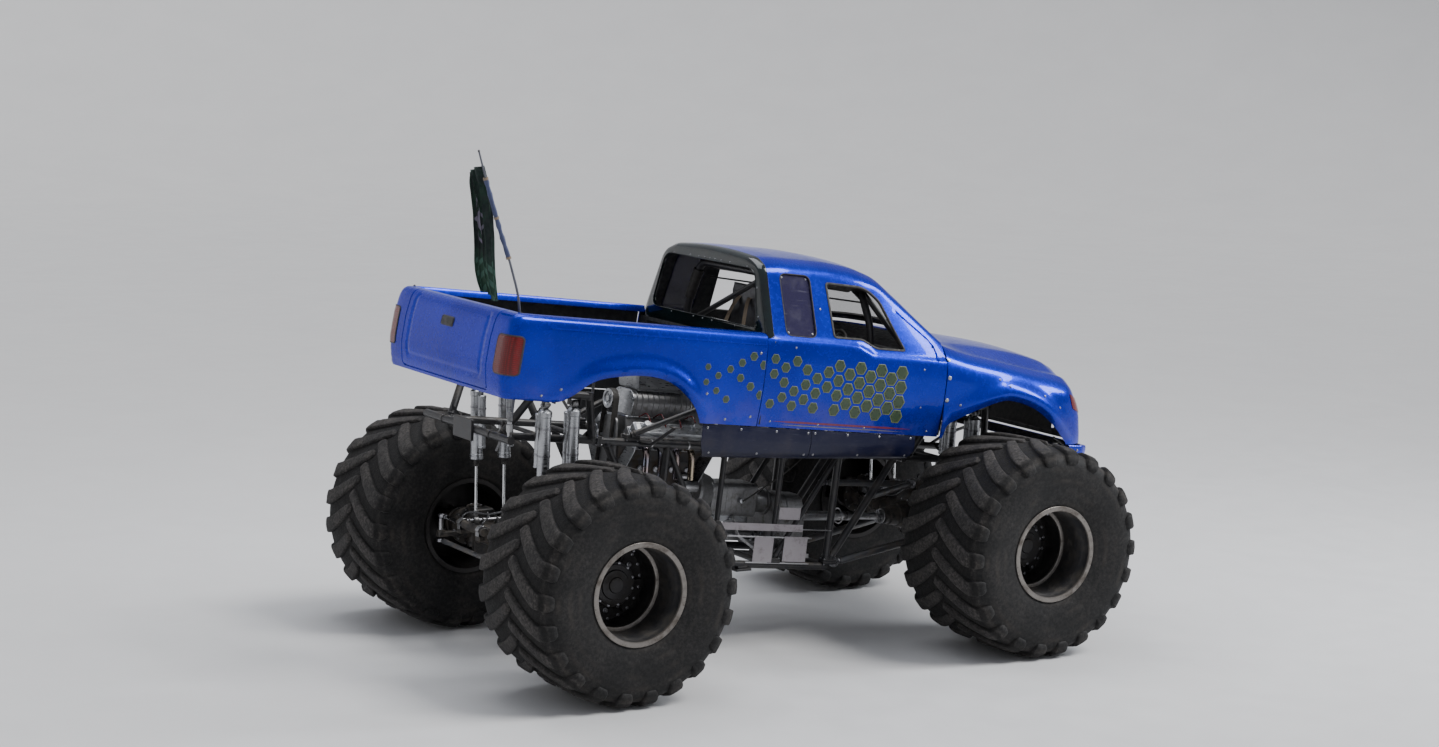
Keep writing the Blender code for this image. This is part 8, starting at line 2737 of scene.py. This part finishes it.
    # steering wheel, column and dash
    b = Build()      # 0 rubber, 1 alloy, 2 bolt, 3 plastic
    c, axis = Vector((0.86, 0, 0.36)), Vector((0.80, 0, -0.60))
    q = axis.to_track_quat("Z", "Y").to_matrix()
    ring = [c + q @ Vector((0.165 * cos(t), 0.165 * sin(t), 0)) for t in np.linspace(0, 2 * pi, 49)[:-1]]
    b.path(ring, [0.0142 + 0.0010 * sin(k * pi / 2) for k in range(48)], 14, 0, closed=True)
    for a in (90, 210, 330):
        d = q @ Vector((cos(radians(a)), sin(radians(a)), 0))
        w = axis.cross(d).normalized()
        for k in range(3):
            r0, r1 = 0.030 + k * 0.045, 0.030 + (k + 1) * 0.045
            lo = [c + d * r0 + w * e for e in (-0.020 + k * 0.002, 0.020 - k * 0.002)]
            hi = [c + d * r1 + w * e for e in (0.018 - k * 0.002, -0.018 + k * 0.002)]
            pts = lo + hi
            n = axis * 0.0022
            b.add([p - n for p in pts] + [p + n for p in pts],
                  [(0, 1, 2, 3), (7, 6, 5, 4), (0, 4, 5, 1), (1, 5, 6, 2), (2, 6, 7, 3), (3, 7, 4, 0)], 1, True)
    b.lathe(c - axis * 0.012, axis, [(0, 0), (0, 0.034), (0.003, 0.038), (0.014, 0.038), (0.016, 0.030), (0.030, 0.028),
                                   (0.034, 0.034), (0.050, 0.034), (0.054, 0.020), (0.300, 0.0175), (0.300, 0)], 28, 1)
    for k in range(6):
        t = 2 * pi * k / 6
        b.bolt(c - axis * 0.012 + q @ Vector((0.026 * cos(t), 0.026 * sin(t), 0)), -axis, 0.0040, mat=2, washer=False)
    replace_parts(b.object("steering_wheel_and_column", ("rubber", "alloy", "bolt"), "chassis", RAKED, 35),
                "steering_wheel")
    b = Build()
    face = rounded([(-0.34, 0.215), (0.34, 0.215), (0.36, 0.400), (0.30, 0.425), (-0.30, 0.425), (-0.36, 0.400)], 0.02, 4)
    b.slab(face, 1.030, 1.034, "X", 0, 0.001)
    b.slab(rounded([(1.034, 0.425), (1.150, 0.405), (1.150, 0.400), (1.034, 0.420)], 0, 1), -0.30, 0.30, "Y", 0, 0.001)
    for y, z, r in ((-0.13, 0.335, 0.040), (-0.24, 0.330, 0.030), (0.13, 0.335, 0.040), (0.24, 0.330, 0.030),
                    (0.0, 0.375, 0.026)):
        b.lathe((1.030, y, z), (-1, 0, 0), [(-0.02, r), (0.004, r + 0.004), (0.010, r + 0.003), (0.010, r - 0.002),
                                          (0.004, r - 0.003), (0.004, 0)], 28, 1)
        b.block((1.0245, y - 0.001, z - 0.004), (1.0255, y + 0.001, z + r * 0.75), 3, 0.0003)
    for k in range(7):
        y = -0.27 + k * 0.045
        b.lathe((1.030, y, 0.250), (-1, 0, 0.1), [(0, 0.010), (0.006, 0.010), (0.007, 0.004), (0.026, 0.003), (0.028, 0)], 12, 2)
    b.lathe((1.030, 0.26, 0.250), (-1, 0, 0), [(0, 0.020), (0.008, 0.020), (0.010, 0.018), (0.016, 0.018), (0.018, 0)], 20, 3)
    for s in (1, -1):
        b.path([(1.05, s * 0.30, 0.24), (1.12, s * 0.42, 0.30), (1.195, s * 0.58, 0.392)], 0.009, 10, 2)
    b.object("dash_panel", ("shell", "plastic", "steel", "red"), "chassis", RAKED, 35)
    # gear lever with its gate, fire bottle, pedals
    b = Build()
    rounded_box(b, (0.36, -0.330, -0.36), (0.56, -0.265, -0.13), 0.02, 0, "Z")
    b.pin((0.46, -0.298, -0.14), (0.43, -0.298, 0.085), 0.008, 14, 1)
    b.lathe((0.43, -0.298, 0.075), (-0.1, 0, 1), [(0, 0), (0, 0.012), (0.012, 0.024), (0.030, 0.026), (0.044, 0.018), (0.050, 0)],
            20, 2)
    b.pin((-0.06, 0.36, -0.33), (0.34, 0.36, -0.33), 0.062, 32, 3, 0.022)
    b.pin((0.34, 0.36, -0.33), (0.40, 0.36, -0.33), 0.020, 16, 1)
    for x in (0.02, 0.26):
        b.lathe((x, 0.36, -0.33), (1, 0, 0), [(0, 0.062), (0, 0.065), (0.022, 0.065), (0.022, 0.062)], 32, 1)
        b.block((x, 0.33, -0.405), (x + 0.022, 0.39, -0.390), 1, 0.002)
    for y in (-0.12, 0.12):
        b.path([(1.20, y, -0.02), (1.15, y, -0.20), (1.10, y, -0.30)], 0.009, 10, 1)
        b.block((1.075, y - 0.04, -0.345), (1.085, y + 0.04, -0.245), 1, 0.003)
    b.path([(1.20, -0.30, -0.02), (1.20, 0.30, -0.02)], 0.011, 10, 1)
    b.object("cockpit_controls", ("shell", "steel", "plastic", "red"), "chassis", RAKED, 35)
    # thin alloy floor and the firewall behind the seat, bead-rolled
    def tin(name, skin, outline, lines):
        feats = [np.array(resample(l, 0.02)) for l in lines]
        skin.features.append(groove(skin, feats, -0.006, 0.008))
        ob = panel(name, skin, outline, [], 0.035, ("shell",), "chassis", 0.0016,
                   lines=[x for l in feats for x in beside(l, 0.008)], sharp=30)
        return ob
    floor = Skin(lambda uv: np.stack([uv[:, 0], uv[:, 1], np.full(len(uv), -0.408) + 0.10 * ramp(uv[:, 0], 1.0, 1.3)], axis=1))
    tin("cockpit_floor", floor, [(-0.19, -0.385), (1.29, -0.385), (1.29, 0.385), (-0.19, 0.385)],
        [[(-0.10, y), (0.95, y)] for y in (-0.30, -0.12, 0.12, 0.30)])
    wall = Skin(lambda uv: np.stack([np.full(len(uv), -0.195), uv[:, 0], uv[:, 1]], axis=1), -1.0)
    tin("rear_firewall", wall, rounded([(-0.40, -0.405), (0.40, -0.405), (0.60, 0.02), (0.60, 0.36), (-0.60, 0.36),
                                        (-0.60, 0.02)], 0.03, 3),
        [[(-0.34, 0.28), (0.34, 0.28)], [(-0.34, 0.10), (0.34, 0.10)], [(-0.30, -0.10), (0.30, -0.10)],
         [(-0.26, -0.29), (0.26, -0.29)]])


cabin()


# ============================================== generic graphic on both sides
def cut_off(shape, x, ahead):
    """The part of a closed outline ahead of (or behind) an upright line at x."""
    out = []
    for (x0, z0), (x1, z1) in zip(shape, shape[1:] + shape[:1]):
        in0, in1 = (x0 >= x) == ahead, (x1 >= x) == ahead
        if in0:
            out.append((x0, z0))
        if in0 != in1:
            out.append((x, z0 + (z1 - z0) * (x - x0) / (x1 - x0)))
    return out


def honeycomb():
    """Columns of plain hexagons that shrink and thin out rearwards, over two straight pinstripes."""
    R, front, low = 0.066, 0.90, -0.062
    columns, rows = 19, 4
    rings = [(1.0, 0), (0.935, 0), (0.87, 0), (0.70, 1), (0.54, 1), (0.26, 2)]
    arch = [(x, z) for x, z in REAR_ARCH]
    for side, label in ((1, "left"), (-1, "right")):
        for skin, name, ahead, seam in ((cab, "cab", True, -0.338), (bed, "bed", False, -0.378)):
            b = Build()
            for i in range(columns):
                x = front - 1.5 * R * i
                t = i / (columns - 1.0)
                for j in range(rows):
                    z = low + sqrt(3) * R * (j + 0.5 * (i % 2)) + 0.055 * t
                    if (i > 6 and (i * 5 + j * 3) % 7 == 0) or (i > 12 and (i + 2 * j) % 3 == 0):
                        continue
                    if float(distance(np.array([[x, z]]), arch)[0]) < 0.135 or z > 0.325:
                        continue
                    r = R * (0.91 - 0.50 * t ** 1.3)
                    shape = [(x + r * cos(pi * k / 3), z + r * sin(pi * k / 3)) for k in range(6)]
                    shape = cut_off(shape, seam, ahead)
                    if len(shape) < 3 or max(p[0] for p in shape) - min(p[0] for p in shape) < 0.35 * r:
                        continue
                    outline = resample(shape, 0.014, True)
                    centre = np.mean(np.array(outline), axis=0)
                    loops = []
                    for s, _ in rings:
                        uv = skin.by_z([tuple(centre + (np.array(p) - centre) * s) for p in outline], side)
                        loops.append([tuple(p) for p in skin.at(np.array(uv), 0.0013)])
                    # the rings share their points, and the middle is closed by a fan
                    n, base = len(outline), len(b.v)
                    faces, mats = [], []
                    for q in range(len(rings) - 1):
                        for c in range(n):
                            d = (c + 1) % n
                            f = (q * n + c, q * n + d, (q + 1) * n + d, (q + 1) * n + c)
                            faces.append(f if side > 0 else f[::-1])
                            mats.append(rings[q + 1][1])
                    hub = tuple(np.mean(np.array(loops[-1]), axis=0))
                    last = (len(rings) - 1) * n
                    for c in range(n):
                        f = (last + c, last + (c + 1) % n, len(rings) * n)
                        faces.append(f if side > 0 else f[::-1])
                        mats.append(2)
                    b.v.extend([p for loop in loops for p in loop] + [hub])
                    b.f.extend(tuple(v + base for v in f) for f in faces)
                    b.mi.extend(mats)
            ob = b.object("honeycomb_%s_%s" % (name, label), ("g_pale", "g_green", "g_mid"), "chassis", RAKED, 40)
            outward_skin(ob, side)
            film = ob.modifiers.new("film", "SOLIDIFY")
            film.thickness, film.offset = 0.0010, -1.0
            settle(ob)
        for k, (z0, w, x0, x1, mat) in enumerate([(-0.158, 0.0075, -0.25, 1.07, "g_red"), (-0.182, 0.0040, -0.18, 1.00, "g_grey")]):
            n = 40
            upper = [(x0 + (x1 - x0) * i / n, z0 + w * min(1.0, 6.0 * i / n, 6.0 * (n - i) / n)) for i in range(n + 1)]
            lower = [(x0 + (x1 - x0) * i / n, z0 - w * min(1.0, 6.0 * i / n, 6.0 * (n - i) / n)) for i in range(n - 1, 0, -1)]
            panel("pinstripe_%s_%d" % (label, k), cab, cab.by_z(upper + lower, side), [], 0.02, (mat,), "chassis", 0.0010,
                  off=0.0013)


def outward_skin(ob, side):
    """Turns the faces of a flat film so that they look away from the body."""
    total = sum(p.normal.y * p.area for p in ob.data.polygons)
    if total * side < 0:
        ob.data.flip_normals()


honeycomb()


# ==================================================================== the flag
POLE = [(-2.420, -0.660, 1.8650), (-2.385, -0.690, 2.30), (-2.385, -0.700, 2.75), (-2.455, -0.700, 3.04),
        (-2.560, -0.700, 3.33), (-2.655, -0.700, 3.61), (-2.745, -0.700, 3.90)]
FLAG_W, FLAG_H = 0.61, 0.91          # a common flag for a whip: 24 by 36 inches, its long side hanging


def flag():
    b = Build()
    line = curve_through(POLE, 10)
    b.path(line, [0.0108 - 0.0040 * k / len(line) for k in range(len(line))], 14, 0)
    b.lathe(POLE[-1], (-0.31, 0, 1), [(-0.012, 0), (-0.012, 0.008), (-0.006, 0.0085), (-0.002, 0.006), (-0.002, 0)], 14, 1)
    # spring base and clamp on the frame's rear crossbar
    b.lathe(POLE[0], (0, 0, 1), [(-0.010, 0.0), (-0.010, 0.024), (0.040, 0.024), (0.044, 0.018), (0.060, 0.018), (0.060, 0)],
            22, 2)
    coil = [Vector(POLE[0]) + Vector((0.019 * cos(t), 0.019 * sin(t), 0.062 + 0.010 * t / (2 * pi))) for t in
            np.linspace(0, 2 * pi * 7, 7 * 14)]
    b.path(coil, 0.0035, 8, 2)
    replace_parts(b.object("whip_pole", ("pole", "rubber", "steel"), "chassis", Matrix.Identity(4), 40),
                "flag_pole")
    # stud and collar, welded to the rear crossbar, that carry the spring base
    b = Build()
    b.lathe(POLE[0], (0, 0, 1), [(-0.058, 0), (-0.058, 0.0165), (-0.024, 0.0165), (-0.018, 0.021), (-0.0095, 0.021),
                                 (-0.0095, 0)], 20, 0)
    b.object("whip_stud", ("steel",), "chassis", Matrix.Identity(4), 40)
    # sleeve over the pole
    b = Build()
    run = [Vector(p) for p in line if 3.10 < p.z < 3.72]
    b.path(run, [0.0165 + 0.0022 * sin(k * 1.7) + 0.0012 * sin(k * 4.1) for k in range(len(run))], 18, 0)
    sleeve = b.object("flag_sleeve", ("sleeve",), "chassis", Matrix.Identity(4), 60)

    # the cloth: gathered folds of constant length that fall from the sleeve's top corner
    rows_z, cols, folds = 74, 120, 4.5
    spine = [(3.80, -2.722, -0.688, 0.120), (3.66, -2.686, -0.684, 0.165), (3.50, -2.655, -0.680, 0.205),
             (3.30, -2.622, -0.672, 0.235), (3.10, -2.600, -0.664, 0.235), (2.95, -2.578, -0.650, 0.205),
             (2.86, -2.560, -0.640, 0.170)]
    zs = np.array([s[0] for s in spine])[::-1]
    cx, cy, width = (np.array([s[k] for s in spine])[::-1] for k in (1, 2, 3))
    ts = np.linspace(0, 1, cols + 1)
    verts, uvs = [], []
    z_top, z_low = 3.790, 2.872
    for i in range(rows_z + 1):
        s = i / rows_z
        z = z_top + (z_low - z_top) * s
        x, y, w = (float(np.interp(z, zs, v)) for v in (cx, cy, width))
        w *= 1.0 + 0.085 * sin(s * 8.3 + 0.6) + 0.05 * sin(s * 17.0)
        y += 0.010 * sin(s * 6.1 + 1.2)
        x += 0.008 * sin(s * 7.7)
        drift = 0.9 * sin(s * 2.1) + 0.5 * sin(s * 5.3 + 1.0)

        def curve(amp):
            ph = 2 * pi * folds * (ts ** 0.92) + drift * ts
            p = y + w * (ts + 0.035 * np.sin(ph * 2 + 0.6))
            bow = 0.030 * np.sin(pi * ts) * (1 - s * 0.4)
            q = x + 0.010 - bow + amp * np.sin(ph) * (0.75 + 0.35 * np.sin(ts * 7.0 + s * 3.0)) * (1 - 0.25 * (1 - ts))
            sag = -0.060 * ts * (1.0 - s) + 0.075 * (ts - 0.75) * s - 0.016 * np.sin(pi * ts) * (1 - s)
            sag = sag + 0.014 * np.sin(ts * 9.0 + s * 4.0) * s
            return np.stack([q, p, z + sag], axis=1)
        lo, hi = 0.0, 0.20
        for _ in range(26):
            mid = (lo + hi) / 2
            c = curve(mid)
            if np.sum(np.hypot(np.diff(c[:, 0]), np.diff(c[:, 1]))) < FLAG_W:
                lo = mid
            else:
                hi = mid
        c = curve(lo)
        for k in range(cols + 1):
            n = noise.noise(Vector((ts[k] * 6, s * 9, 4.2))) * 0.004
            verts.append((c[k, 0] + n, c[k, 1] + n * 0.5, c[k, 2]))
            uvs.append((ts[k], 1 - s))
    faces = [(r * (cols + 1) + k, r * (cols + 1) + k + 1, (r + 1) * (cols + 1) + k + 1, (r + 1) * (cols + 1) + k)
             for r in range(rows_z) for k in range(cols)]
    me = bpy.data.meshes.new("flag_cloth")
    me.from_pydata(verts, [], faces)
    uv = me.uv_layers.new(name="cut")
    for loop in me.loops:
        uv.data[loop.index].uv = uvs[loop.vertex_index]
    me.polygons.foreach_set("use_smooth", [True] * len(faces))
    me.materials.append(M["flag"])
    ob = link(bpy.data.objects.new("flag_cloth", me))
    mod = ob.modifiers.new("thick", "SOLIDIFY")
    mod.thickness, mod.offset = 0.0008, 0.0
    settle(ob)
    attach(ob, "chassis")
    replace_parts(ob, "flag")
    # stitched tapes at the two hoist corners, round the pole
    b = Build()
    for z in (3.70, 3.42, 3.14):
        k = min(range(len(line)), key=lambda i: abs(line[i].z - z))
        d = (line[min(k + 1, len(line) - 1)] - line[k - 1]).normalized()
        b.lathe(line[k] - d * 0.009, d, [(0, 0.0150), (0, 0.0195), (0.018, 0.0195), (0.018, 0.0150)], 18, 0)
    ties = b.object("flag_ties", ("webbing",), "chassis", Matrix.Identity(4), 40)


flag()


# ============================================================ floor and light
def studio():
    # a floor that sweeps up into a plain wall far behind the truck
    n, profile = 160, [(0.0, 0.0), (4.0, 0.0), (9.0, 0.0), (20.0, 0.0), (38.0, 0.0)]
    profile += [(38.0 + 22.0 * sin(a), 22.0 * (1 - cos(a))) for a in [radians(90) * k / 24 for k in range(1, 25)]]
    profile += [(60.0, 27.0)]
    verts, faces = [(0.0, 0.0, 0.0)], []
    for r, z in profile[1:]:
        verts += [(r * cos(2 * pi * k / n), r * sin(2 * pi * k / n), z) for k in range(n)]
    faces += [(0, 1 + k, 1 + (k + 1) % n) for k in range(n)]
    for q in range(len(profile) - 2):
        a, b = 1 + q * n, 1 + (q + 1) * n
        faces += [(a + k, b + k, b + (k + 1) % n, a + (k + 1) % n) for k in range(n)]
    me = bpy.data.meshes.new("floor")
    me.from_pydata(verts, [], faces)
    me.polygons.foreach_set("use_smooth", [True] * len(faces))
    me.materials.append(M["floor"])
    floor = link(bpy.data.objects.new("floor", me))
    world = bpy.data.worlds.new("world")
    world.use_nodes = True
    world.node_tree.nodes["Background"].inputs[0].default_value = (0.90, 0.93, 1.0, 1.0)
    world.node_tree.nodes["Background"].inputs[1].default_value = 0.50
    scene.world = world

    def area(name, place, aim, size, power, tint=(1, 1, 1), size_y=None):
        data = bpy.data.lights.new(name, "AREA")
        data.shape = "RECTANGLE"
        data.size, data.size_y = size, size_y or size
        data.energy = power
        data.color = tint
        ob = link(bpy.data.objects.new(name, data))
        ob.location = place
        ob.rotation_euler = (Vector(aim) - Vector(place)).to_track_quat("-Z", "Y").to_euler()
    sun = bpy.data.lights.new("sun", "SUN")
    sun.energy, sun.angle, sun.color = 2.3, radians(22), (1.0, 0.99, 0.97)
    ob = link(bpy.data.objects.new("sun", sun))
    ob.rotation_euler = Vector((-0.50, 0.42, -0.92)).to_track_quat("-Z", "Y").to_euler()
    area("front_high", (10.5, -5.0, 7.5), (1.0, -0.4, 2.3), 2.6, 900, (0.93, 0.96, 1.0), 5.0)
    area("top", (-1.5, 1.5, 9.0), (0, 0, 1.2), 6.0, 420, (0.95, 0.97, 1.0))


def flush():
    """Meshes modelled in the leaning frame whose box would stand out at a corner are turned level."""
    for ob in [o for o in bpy.data.objects if o.type == "MESH" and not o.modifiers]:
        if max(abs(a - b) for r, q in zip(ob.matrix_world, RAKED) for a, b in zip(r, q)) > 1e-6:
            continue
        corners = [RAKED @ Vector(c) for c in ob.bound_box]
        if any(c[k] > CAD_HI[k] - 0.001 or c[k] < CAD_LO[k] + 0.001 for c in corners for k in range(3)):
            ob.data.transform(RAKED)
            ob.matrix_world = Matrix.Identity(4)


flush()
studio()
